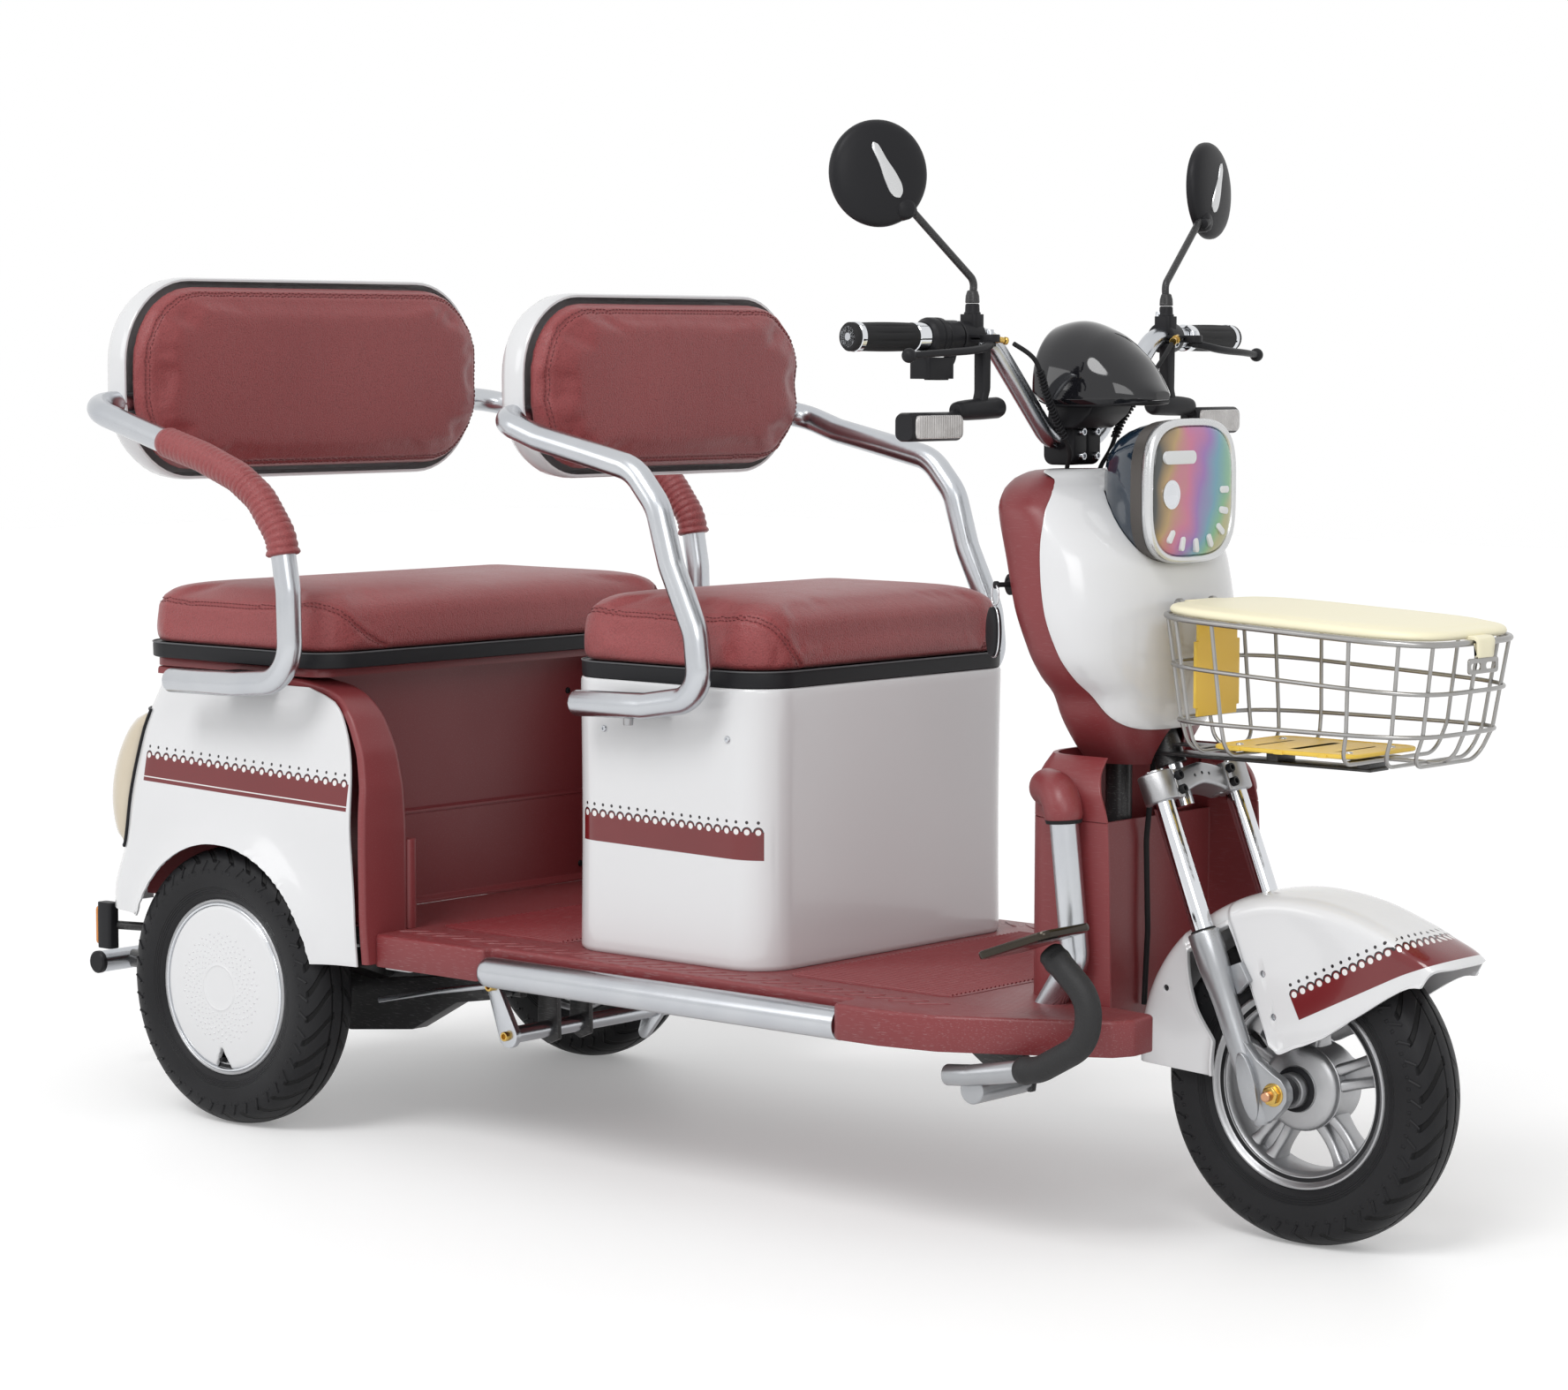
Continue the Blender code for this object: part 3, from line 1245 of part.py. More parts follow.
def fork_lower():
    axle = Vector((WHEELBASE, 0, WHEEL_Z)) - Vector((HEAD_X, 0, HEAD_Z))
    up = Vector(STEER_AXIS)
    ahead = Vector((math.cos(RAKE), 0, math.sin(RAKE)))
    axle_s, axle_d = axle.dot(up), axle.dot(ahead)
    foot = axle_s - 0.029
    parts = []
    bore = bore_for(STANCHION_RADIUS, 10, 0.0004)
    for side in (1, -1):
        base = head_point(0, FORK_OFFSET, side * FORK_Y)
        parts.append(turned(((foot, 0), (foot, SLIDER_RADIUS * 0.62), (foot + 0.010, SLIDER_RADIUS * 0.82),
                             (SLIDER_TOP - 0.055, SLIDER_RADIUS * 0.92), (SLIDER_TOP - 0.020, SLIDER_RADIUS),
                             (SLIDER_TOP, SLIDER_RADIUS), (SLIDER_TOP, bore), (SLIDER_BORE_LOW, bore),
                             (SLIDER_BORE_LOW, 0)), base, STEER_AXIS, steps=10))
        outline = [(foot + 0.004, 0.014), (foot + 0.002, 0.040), (axle_s - 0.018, axle_d + 0.006),
                   (axle_s - 0.008, axle_d + 0.019), (axle_s + 0.010, axle_d + 0.019),
                   (axle_s + 0.022, axle_d + 0.004), (axle_s + 0.068, FORK_OFFSET + 0.010),
                   (axle_s + 0.068, FORK_OFFSET - 0.008)]
        low, high = sorted((side * (FORK_Y - 0.007), side * (FORK_Y + 0.008)))
        parts.append(loft([[head_point(s, d, y) for s, d in outline] for y in (low, high)]))
        low, high = sorted((side * (FENDER_HALF + GAP), side * (FENDER_HALF + 0.010)))
        tab = [(-0.222, FORK_OFFSET + 0.0146), (-0.222, 0.056), (-0.246, 0.060), (-0.256, FORK_OFFSET + 0.0146)]
        parts.append(loft([[head_point(s, d, y) for s, d in tab] for y in (low, high)]))
    ends = FORK_Y + 0.026
    parts.append(turned(((-ends, 0), (-ends, 0.006), (-ends + 0.004, 0.0105), (-FORK_Y - 0.0075, 0.0105),
                         (-FORK_Y - 0.0075, AXLE_RADIUS), (FORK_Y + 0.0075, AXLE_RADIUS),
                         (FORK_Y + 0.0075, 0.0105), (ends - 0.004, 0.0105), (ends, 0.006), (ends, 0)),
                        (WHEELBASE, 0, WHEEL_Z), steps=10))
    return joined(*parts)


def fender_radius(degrees):
    return along(((34, 0.264), (40, 0.260), (50, 0.247), (65, 0.235), (85, FENDER_RADIUS), (130, FENDER_RADIUS),
                  (160, FENDER_RADIUS - 0.006), (180, FENDER_RADIUS - 0.012)), degrees)


def fender_skirt(degrees):
    """Inner reach of the side skirts; it is short where the fork legs pass."""
    if 112 < degrees < 132:
        return FENDER_RADIUS - 0.026
    return along(((37, 0.232), (40, 0.215), (45, 0.140), (53, 0.085), (70, 0.058), (99, 0.0436), (111.9, 0.055),
                  (132, 0.205), (145, 0.150), (155, 0.108), (180, 0.102)), degrees)


def front_fender():
    angles = [38, 41, 45, 52, 62, 76, 90, 111.4, 112.6, 131.5, 134, 146, 160, 177]
    loops = []
    for degrees in angles:
        turn = math.radians(degrees)
        radius = fender_radius(degrees)
        skirt = min(fender_skirt(degrees), radius - 0.026)
        half = FENDER_HALF - 0.006 * max(degrees - 150, 0) / 30 - 0.006 * (112 < degrees < 132)
        wall = PANEL_SKIN
        outside = [(half, skirt), (half, radius - 0.022), (half - 0.009, radius - 0.008),
                   (half - 0.028, radius - 0.001), (0.0, radius)]
        inside = [(half - wall, skirt), (half - wall, radius - 0.024), (half - 0.0115, radius - 0.0115),
                  (half - 0.029, radius - 0.004), (0.0, radius - wall)]
        section = outside + [(-y, r) for y, r in reversed(outside[:-1])]
        section += [(-y, r) for y, r in inside] + [(y, r) for y, r in reversed(inside[:-1])]
        loops.append(
            [(WHEELBASE + r * math.cos(turn), y, WHEEL_Z + r * math.sin(turn)) for y, r in section]
        )
    return loft(loops)


# Wheels
def tyre(x, y):
    half = TYRE_HALF
    side = [(BEAD_HALF, RIM_CHANNEL + GAP), (BEAD_HALF, RIM_FLANGE + 0.0016), (half, TYRE_RADIUS - 0.040),
            (half * 0.86, TYRE_RADIUS - 0.014), (half * 0.36, TYRE_RADIUS)]
    profile = side + [(-a, r) for a, r in reversed(side)]
    return turned(profile, (x, y, WHEEL_Z), steps=TYRE_STEPS, phase=0.5)


def rim_barrel(wall=RIM_WALL):
    inner = BEAD_HALF + GAP
    outer = inner + RIM_LIP
    low = RIM_CHANNEL - wall
    return [(outer, low), (outer, RIM_FLANGE), (inner, RIM_FLANGE), (inner, RIM_CHANNEL),
            (-inner, RIM_CHANNEL), (-inner, RIM_FLANGE), (-outer, RIM_FLANGE), (-outer, low)]


def rear_rim(side):
    bore = bore_for(STUB_RADIUS, TYRE_STEPS)
    low = RIM_CHANNEL - RIM_WALL
    hub = REAR_HUB_RADIUS
    profile = rim_barrel() + [
        (-0.006, low), (-0.012, hub + 0.004), (-REAR_HUB_INNER, hub - 0.006),
        (-REAR_HUB_INNER, bore), (0.016, bore), (-0.002, hub + 0.002), (0.004, low),
    ]
    return turned(profile, (0, side * TRACK_HALF, WHEEL_Z), (0, side, 0), steps=TYRE_STEPS, phase=0.5)


def front_rim():
    bore = bore_for(AXLE_RADIUS, 14)
    barrel = turned(rim_barrel(0.006), (WHEELBASE, 0, WHEEL_Z), steps=TYRE_STEPS, phase=0.5)
    half = FRONT_HUB_HALF
    spacer = FORK_Y - 0.007 - 0.0012
    hub = turned([(half, FRONT_HUB_RADIUS - 0.006), (half - 0.006, FRONT_HUB_RADIUS),
                  (-half + 0.006, FRONT_HUB_RADIUS), (-half, FRONT_HUB_RADIUS - 0.006),
                  (-half - 0.004, 0.020), (-spacer, 0.012), (-spacer, bore),
                  (spacer, bore), (spacer, 0.012), (half + 0.004, 0.020)],
                 (WHEELBASE, 0, WHEEL_Z), steps=14)
    parts = [barrel, hub]
    for i in range(FRONT_SPOKES):
        turn = 2 * math.pi * (i + 0.25) / FRONT_SPOKES
        out = Vector((math.cos(turn), 0, math.sin(turn)))
        across = Vector((-math.sin(turn), 0, math.cos(turn)))
        loops = []
        reaches = (FRONT_HUB_RADIUS - 0.006, 0.066, RIM_CHANNEL - 0.010, RIM_CHANNEL - 0.003)
        for reach, wide, deep in zip(reaches, (0.016, 0.0095, 0.0115, 0.016), (0.020, 0.013, 0.015, 0.017)):
            centre = Vector((WHEELBASE, 0, WHEEL_Z)) + out * reach
            loops.append([centre + across * a + Vector((0, b, 0)) for a, b in
                          ((wide, -deep * 0.6), (wide, deep * 0.6), (wide * 0.6, deep), (-wide * 0.6, deep),
                           (-wide, deep * 0.6), (-wide, -deep * 0.6), (-wide * 0.6, -deep), (wide * 0.6, -deep))])
        parts.append(loft(loops))
    return joined(*parts)


def wheel_cover(side):
    face = BEAD_HALF + GAP + RIM_LIP + GAP
    radius = COVER_RADIUS
    profile = [(face, radius - 0.012), (face, radius), (face + 0.003, radius - 0.004),
               (face + COVER_DOME * 0.8, radius * 0.55), (face + COVER_DOME, 0.0), (face + COVER_DOME - 0.0025, 0.0),
               (face + COVER_DOME * 0.8 - 0.0025, radius * 0.55), (face + 0.0015, radius - 0.014)]
    shell = turned(profile, (0, side * TRACK_HALF, WHEEL_Z), (0, side, 0), steps=TYRE_STEPS, phase=0.5)
    low, high = sorted((side * (TRACK_HALF + 0.02), side * (TRACK_HALF + 0.06)))
    notch = prism([(0.010, WHEEL_Z - radius - 0.01), (-0.002, WHEEL_Z - radius - 0.01),
                   (-0.010, WHEEL_Z - radius * 0.80), (0.002, WHEEL_Z - radius * 0.86)], low, high, axis="y")
    return joined(shell, cut=[notch])


# Swinging rear axle with its motor, arms and brake rod
def rear_axle():
    half = AXLE_TUBE_HALF
    stub = TRACK_HALF + BEAD_HALF - 0.003
    parts = [turned(((-stub, 0), (-stub, STUB_RADIUS), (-half, STUB_RADIUS), (-half, AXLE_TUBE_RADIUS),
                     (half, AXLE_TUBE_RADIUS), (half, STUB_RADIUS), (stub, STUB_RADIUS), (stub, 0)),
                    (0, 0, WHEEL_Z), steps=10)]
    motor = MOTOR_RADIUS
    parts.append(turned(((-MOTOR_HALF, 0), (-MOTOR_HALF, motor * 0.72), (-MOTOR_HALF + 0.016, motor),
                         (MOTOR_HALF - 0.030, motor), (MOTOR_HALF - 0.012, motor * 0.80),
                         (MOTOR_HALF + 0.030, motor * 0.62), (MOTOR_HALF + 0.030, 0)),
                        (0, 0.010, WHEEL_Z), steps=14))
    eye = bore_for(SWING_PIN, 8)
    seat = SHOCK_BOTTOM - GAP
    pad = SHOCK_X
    outline = [(pad - 0.026, seat), (pad - 0.026, 0.150), (0.000, 0.126), (0.070, 0.114), (0.190, 0.128),
               (0.273, 0.173), (SWING_PIVOT_X - 0.008, SWING_PIVOT_Z - 0.017),
               (SWING_PIVOT_X + 0.012, SWING_PIVOT_Z - 0.012), (SWING_PIVOT_X + 0.016, SWING_PIVOT_Z + 0.006),
               (SWING_PIVOT_X, SWING_PIVOT_Z + 0.018), (0.260, 0.207), (0.120, 0.188), (0.060, 0.196),
               (pad + 0.030, seat)]
    holes = []
    for side in (1, -1):
        low, high = sorted((side * 0.1775, side * 0.2045))
        parts.append(prism(outline, low, high, axis="y"))
        holes.append(turned(((-0.04, 0), (-0.04, eye), (0.04, eye), (0.04, 0)),
                            (SWING_PIVOT_X, side * SWING_PIVOT_Y, SWING_PIVOT_Z), steps=8))
    return joined(*parts, cut=holes)


def shock(side):
    """A coil spring over its damper, between the axle and the chassis."""
    coils = 5
    low, high = SHOCK_BOTTOM, SHOCK_TOP
    profile = [(low, 0.0), (low, SHOCK_RADIUS * 0.62), (low + 0.006, SHOCK_RADIUS * 0.80)]
    pitch = (high - low - 0.024) / coils
    for i in range(coils):
        start = low + 0.012 + i * pitch
        profile += [(start, SHOCK_RADIUS * 0.74), (start + pitch * 0.45, SHOCK_RADIUS)]
    profile += [(high - 0.012, SHOCK_RADIUS * 0.74), (high - 0.005, SHOCK_RADIUS * 0.80), (high, SHOCK_RADIUS * 0.5),
                (high, 0.0)]
    return turned(profile, (SHOCK_X, side * SHOCK_Y, 0), (0, 0, 1), steps=10)


def brake_shaft():
    x, z = BRAKE_SHAFT_X, BRAKE_SHAFT_Z
    shaft = turned(((-0.232, 0), (-0.232, BRAKE_SHAFT_RADIUS), (0.080, BRAKE_SHAFT_RADIUS), (0.080, 0)),
                   (x, 0, z), steps=8)
    lever = [(x - 0.014, z - 0.014), (x + 0.014, z - 0.014), (x + 0.017, z + 0.004), (x - 0.018, z + 0.072),
             (x - 0.034, z + 0.070), (x - 0.038, z + 0.056), (x - 0.018, z)]
    plate_arm = prism(lever, -0.238, -0.229, axis="y")
    inner = prism([(x - 0.010, z), (x + 0.012, z), (x + 0.016, z + 0.048), (x - 0.004, z + 0.048)],
                  0.040, 0.047, axis="y")
    rod = sweep([(x - 0.028, -0.226, z + 0.062), (0.260, -0.226, 0.190), (0.150, -0.226, 0.166)], 0.004, 6)
    return joined(shaft, plate_arm, inner, rod)


def brake_pedal():
    x, z, y = PEDAL_PIVOT_X, PEDAL_PIVOT_Z, PEDAL_Y
    eye = bore_for(PEDAL_PIN, 8)
    hub = turned(((y + 0.004, 0), (y + 0.004, 0.0165), (-0.2195, 0.0165), (-0.2195, 0)), (x, 0, z), steps=12)
    hole = turned(((-0.2905, 0), (-0.2905, eye), (-0.20, eye), (-0.20, 0)), (x, 0, z), steps=8)
    lever = sweep([(1.178, y, 0.204), (1.290, y, 0.222)], 0.0125, 8)
    arm = bent([(1.280, y, 0.2205), (1.311, y, 0.226), (1.375, y, 0.262), (1.379, y, 0.313), (1.322, y, 0.362)],
               0.035, step=25)
    sleeve_part = sweep(arm, 0.0165, 8)
    tread = prism(rounded_outline(1.249, 1.353, y - 0.046, y + 0.046, 0.012, steps=2), 0.3655, 0.3755)
    tilt = Matrix.Rotation(math.radians(-12), 3, "Y")
    centre = Vector((1.301, y, 0.371))
    tread = ([centre + tilt @ (p - centre) for p in tread[0]], tread[1])
    return joined(hub, lever, sleeve_part, tread, cut=[hole])


# Handlebar and what it carries
def bar_side(side):
    return [(BAR_END_X, side * BAR_END_Y, BAR_Z), (BAR_CLAMP_X, side * BAR_BEND_Y, BAR_Z),
            (BAR_CLAMP_X, side * 0.045, BAR_CLAMP_Z)]


def handlebar(radius=BAR_RADIUS):
    path = bent(bar_side(-1) + bar_side(1)[::-1], 0.045, step=30)
    return sweep(path, radius, 10)


def bar_axis(side):
    """Outward direction of the straight run under a grip, and its point at a given |y|."""
    start = Vector((BAR_CLAMP_X, side * BAR_BEND_Y, BAR_Z))
    end = Vector((BAR_END_X, side * BAR_END_Y, BAR_Z))
    return start, (end - start).normalized()


def on_bar(side, y):
    start, out = bar_axis(side)
    return start + out * ((y - BAR_BEND_Y) / abs(out.y))


def grip(side, inner_y, housing):
    start, out = bar_axis(side)
    low = (on_bar(side, inner_y) - start).length
    tip = (Vector((BAR_END_X, side * BAR_END_Y, BAR_Z)) - start).length
    high = tip + 0.006
    bore = bore_for(BAR_RADIUS, 10, RUN)
    profile = [(low, bore), (low, housing)]
    if housing > GRIP_RADIUS + 0.004:
        profile += [(low + 0.022, housing), (low + 0.026, GRIP_RADIUS + 0.002)]
    profile += [(low + 0.030, GRIP_RADIUS), (high - 0.014, GRIP_RADIUS), (high - 0.012, GRIP_RADIUS + 0.001),
                (high - 0.003, GRIP_RADIUS), (high, GRIP_RADIUS - 0.003), (high, 0.0), (tip + RUN, 0.0),
                (tip + RUN, bore)]
    return turned(profile, start, out, steps=10)


def perch(side):
    start, out = bar_axis(side)
    here = on_bar(side, PERCH_Y)

    def ring(low, high, radius):
        return turned(((low, 0), (low, radius), (high, radius), (high, 0)), here, out, steps=10)

    def block(low, high):
        lower = (low[0], min(side * low[1], side * high[1]), low[2])
        upper = (high[0], max(side * low[1], side * high[1]), high[2])
        return box(lower, upper)

    parts = [ring(-0.0095, 0.022, 0.0185)]
    parts.append(block((1.118, PERCH_Y - 0.014, 1.041), (LEVER_X + 0.012, LEVER_Y + 0.012, 1.050)))
    parts.append(block((1.104, PERCH_Y - 0.010, 1.052), (1.128, PERCH_Y + 0.010, 1.074)))
    parts.append(turned(((1.070, 0), (1.070, 0.0085), (1.086, 0.0075), (1.086, 0)),
                        (1.1165, side * PERCH_Y, 0), (0, 0, 1), steps=8))
    parts.append(sweep([(1.140, side * (PERCH_Y - 0.010), 1.0455), (1.150, side * 0.160, 1.040)], 0.0045, 6))
    parts.append(block((1.117, 0.180, 0.962), (1.133, 0.192, 1.044)))
    foot = [(1.125, side * 0.152, 0.965), (1.125, side * 0.238, 0.962)]
    parts.append(sweep(foot, 0.0125, 8))
    lamp = rounded_outline(1.110, 1.141, 0.9445 - 0.0165, 0.9445 + 0.0165, 0.007, steps=2)
    low, high = sorted((side * 0.236, side * 0.330))
    parts.append(prism(lamp, low, high, axis="y"))
    parts.append(sweep([(1.125, side * 0.225, 0.962), (1.125, side * 0.250, 0.948)], 0.008, 6))
    if side < 0:
        parts.append(ring(0.026, 0.046, 0.0195))
        parts.append(ring(0.020, 0.028, 0.016))
        parts.append(box((1.094, -0.285, 0.999), (1.124, -0.236, 1.0236)))
        parts.append(sweep([(1.111, -0.228, 1.032), (1.111, -0.238, 1.010)], 0.0075, 6))
    return joined(*parts, cut=[handlebar(BAR_RADIUS + GAP / math.cos(math.pi / 10))])


def lever(side):
    y = side * LEVER_Y
    root = turned(((LEVER_Z - 0.007, 0), (LEVER_Z - 0.007, 0.010), (1.041 - GAP, 0.010), (1.041 - GAP, 0)),
                  (LEVER_X, y, 0), (0, 0, 1), steps=8)
    tip = (1.147, side * LEVER_BALL_Y, 1.026)
    path = [(LEVER_X, y, LEVER_Z - 0.001), (LEVER_X + 0.012, side * 0.235, 1.033), (LEVER_X + 0.010, side * 0.290, 1.030), tip]
    blade = sweep(path, [0.0055, 0.0062, 0.0058, 0.0050], 6)
    ball = turned(((-0.0085, 0), (-0.006, 0.006), (0.0, 0.0085), (0.006, 0.006), (0.0085, 0)), tip, (0, 0, 1), steps=8)
    return joined(root, blade, ball)


def mirror(side, turn):
    foot_z = 1.086 + GAP
    stalk = bent([(1.1165, side * PERCH_Y, foot_z + 0.002), (1.1165, side * (PERCH_Y - 0.003), 1.112),
                  (1.096, side * (MIRROR_Y - 0.022), MIRROR_Z - 0.024)], 0.012, step=25)
    facing = Vector((math.cos(turn), side * math.sin(turn), 0.05)).normalized()
    centre = Vector((MIRROR_X, side * MIRROR_Y, MIRROR_Z))
    profile = [(-0.006, 0.0), (-0.006, MIRROR_RADIUS - 0.002), (-0.003, MIRROR_RADIUS), (0.003, MIRROR_RADIUS),
               (0.009, MIRROR_RADIUS * 0.86), (MIRROR_DEPTH - 0.008, MIRROR_RADIUS * 0.5), (MIRROR_DEPTH - 0.006, 0.0)]
    head = turned(profile, centre, facing, steps=18)
    collar = sweep([(1.1165, side * PERCH_Y, foot_z), (1.1165, side * PERCH_Y, foot_z + 0.012)], 0.0075, 8)
    return joined(sweep(stalk, 0.0045, 6), collar, head)


def dash_hood():
    loops = []
    rows = ((HOOD_REAR, 0.055, 0.020, 1.052), (HOOD_REAR + 0.006, 0.064, 0.008, 1.062),
            (HOOD_REAR + 0.035, HOOD_HALF, 0.0, HOOD_HIGH), (HOOD_REAR + 0.075, 0.067, 0.0, 1.056),
            (HOOD_REAR + 0.110, 0.055, 0.001, 1.030), (HOOD_FRONT - 0.014, 0.034, 0.003, 0.998),
            (HOOD_FRONT, 0.014, 0.006, 0.984))
    for x, half, lift, top in rows:
        low = HOOD_LOW + lift
        loop = [(x, -half * 0.90, low), (x, half * 0.90, low)]
        for i in range(9):
            angle = math.pi * i / 8
            loop.append((x, half * math.cos(angle), low + 0.008 + (top - low - 0.008) * math.sin(angle) ** 0.9))
        loops.append(loop)
    return loft(loops)


def cable(side):
    """A brake cable from the lever's adjuster, down the bar and back into the cowl's mouth."""
    route = [(1.1502, side * 0.1593, 1.0395), (1.158, side * 0.128, 1.020), (1.150, side * 0.096, 0.982),
             (1.144, side * 0.064, 0.945), (1.145, side * 0.042, 0.914), (1.136, side * 0.034, 0.892),
             (1.134, side * 0.030, 0.872)]
    points = [Vector(point) for point in route]
    path = []
    for i in range(len(points) - 1):
        before = points[max(i - 1, 0)]
        after = points[min(i + 2, len(points) - 1)]
        for step in range(2):
            t = step / 2
            a, b = points[i], points[i + 1]
            path.append(0.5 * (2 * a + (b - before) * t + (2 * before - 5 * a + 4 * b - after) * t * t
                               + (3 * a - before - 3 * b + after) * t ** 3))
    return sweep(path + [points[-1]], 0.0028, 8)


# Basket
def basket_ring(scale, z, shift=0.0):
    middle = (BASKET_REAR + BASKET_FRONT) / 2
    half_x = (BASKET_FRONT - BASKET_REAR) / 2
    ring = []
    for a, b in oval(0, 0, 1, 1, 4.26, BASKET_COLUMNS):
        x = middle + shift + a * half_x * scale
        half_y = BASKET_REAR_HALF + (BASKET_FRONT_HALF - BASKET_REAR_HALF) * (a + 1) / 2
        ring.append(Vector((x, b * half_y * scale, z + BASKET_SLOPE * (x - middle) * (z > 0.65))))
    return ring


def basket_frame():
    count = BASKET_COLUMNS
    rings = [basket_ring(1.0, BASKET_RIM_Z), basket_ring(0.956, 0.6636, 0.004), basket_ring(0.860, 0.6048, -0.005),
             basket_ring(0.74, BASKET_FLOOR_Z, -0.010)]
    points = [point for ring in rings for point in ring]
    faces = []
    for row in range(3):
        for i in range(count):
            j = (i + 1) % count
            faces.append((row * count + i, row * count + j, (row + 1) * count + j, (row + 1) * count + i))
    floor = 3 * count
    half = count // 2
    faces.append((floor, floor + 1, floor + count - 1))
    for i in range(1, half - 1):
        faces.append((floor + i, floor + i + 1, floor + count - i - 1, floor + count - i))
    faces.append((floor + half - 1, floor + half, floor + half + 1))
    mesh = mesh_of("helper", (points, faces))
    guide = bpy.data.objects.new("helper", mesh)
    bpy.context.scene.collection.objects.link(guide)
    wires = guide.modifiers.new("wires", "WIREFRAME")
    wires.thickness = BASKET_WIRE
    wires.use_even_offset = False
    wires.use_boundary = True
    bpy.context.view_layer.update()
    result = bpy.data.meshes.new_from_object(guide.evaluated_get(bpy.context.evaluated_depsgraph_get()))
    lattice = ([v.co.copy() for v in result.vertices], [tuple(p.vertices) for p in result.polygons])
    bpy.data.meshes.remove(result)
    bpy.data.objects.remove(guide, do_unlink=True)
    rear_z = BASKET_RIM_Z - BASKET_SLOPE * (BASKET_FRONT - BASKET_REAR) / 2
    parts = [lattice]
    for y in (-0.034, 0.034):
        parts.append(box((BASKET_REAR - 0.006, y - 0.004, rear_z - 0.004), (BASKET_REAR + 0.003, y + 0.004, rear_z + 0.0015)))
        parts.append(box((BASKET_REAR - 0.006, y - 0.0038, rear_z - 0.003), (BASKET_REAR - 0.0012, y + 0.0038, HINGE_Z + 0.004)))
    front = BASKET_FRONT + BASKET_WIRE / 2
    front_z = BASKET_RIM_Z + BASKET_SLOPE * (BASKET_FRONT - BASKET_REAR) / 2
    parts.append(box((BASKET_FRONT - 0.0005, -0.030, front_z - 0.034), (front + LATCH_DEPTH, 0.030, front_z - 0.018)))
    parts.append(box((BASKET_FRONT - 0.0008, -0.005, front_z - 0.030), (BASKET_FRONT + 0.002, 0.005, front_z + 0.0005)))
    return joined(*parts)


HINGE_Z = BASKET_RIM_Z - BASKET_SLOPE * (BASKET_FRONT - BASKET_REAR) / 2 + 0.010


def basket_plates():
    floor_z = BASKET_FLOOR_Z + BASKET_WIRE / 2
    floor = rounded_outline(1.378, 1.560, -0.072, 0.072, 0.020, steps=3)
    back_x = BASKET_REAR + 0.0242
    back = rounded_outline(-0.045, 0.045, floor_z + 0.0316, 0.715, 0.010, steps=3)
    return prism(floor, floor_z, floor_z + 0.004), prism(back, back_x, back_x + 0.004, axis="x")


def basket_lid():
    middle = (BASKET_REAR + BASKET_FRONT) / 2

    def loop(z, scale):
        ring = basket_ring(scale, 0.0, 0.0)
        return [(p.x, p.y, z + BASKET_SLOPE * (p.x - middle)) for p in ring]

    low = BASKET_RIM_Z + BASKET_WIRE * 0.62 + GAP
    lid = loft([loop(low, 0.985), loop(low + 0.003, 1.0), loop(low + 0.007, 0.995), loop(low + 0.012, 0.93),
                loop(low + 0.014, 0.70)])
    front_z = low + BASKET_SLOPE * (BASKET_FRONT - middle)
    tab = box((BASKET_FRONT - 0.020, -0.018, front_z), (BASKET_FRONT + BASKET_WIRE / 2 + 0.0050, 0.018, front_z + 0.0040))
    hook = box((BASKET_FRONT + BASKET_WIRE / 2 + 0.0012, -0.018, front_z - 0.019),
               (BASKET_FRONT + BASKET_WIRE / 2 + 0.0050, 0.018, front_z + 0.0040))
    rear_z = low - BASKET_SLOPE * (middle - BASKET_REAR)
    knuckle = box((BASKET_REAR - 0.002, -0.028, rear_z + 0.002), (BASKET_REAR + 0.020, 0.028, rear_z + 0.010))
    return joined(lid, tab, hook, knuckle)


def ignition_key():
    lock = LOCK
    side = LOCK_OUT
    blade = sweep([lock, lock + side * 0.020], 0.0045, 8)
    ring = bent([lock + side * 0.016, lock + side * 0.021 + Vector((0, 0, -0.018)), lock + side * 0.021 + Vector((0, 0, -0.030))], 0.008)
    strap = sweep(ring, 0.003, 6)
    fob_at = lock + side * 0.021 + Vector((0, 0, -0.055))
    outline = oval(0, 0, 0.014, 0.030, 2.6, 14)
    across = Vector((-side.y, side.x, 0)).normalized()
    fob = loft([[fob_at + across * a + Vector((0, 0, b)) + side * depth for a, b in outline] for depth in (-0.005, 0.005)])
    return joined(blade, strap, fob)


LOCK_OUT = Vector((-0.42, -0.907, 0)).normalized()
LOCK = cowl_point(0.758, math.radians(-128)) + LOCK_OUT * 0.0022


# Pivots of everything that moves
steering = pivot("steering", head_point(0))
steering.rotation_euler = (0, -RAKE, 0)
fork_slide = pivot("fork_slide", head_point(-0.2, FORK_OFFSET), steering)
front_spin = pivot("front_spin", (WHEELBASE, 0, WHEEL_Z), fork_slide)
rear_swing = pivot("rear_swing", (SWING_PIVOT_X, 0, SWING_PIVOT_Z))
rear_spin_left = pivot("rear_spin_left", (0, TRACK_HALF, WHEEL_Z), rear_swing)
rear_spin_right = pivot("rear_spin_right", (0, -TRACK_HALF, WHEEL_Z), rear_swing)

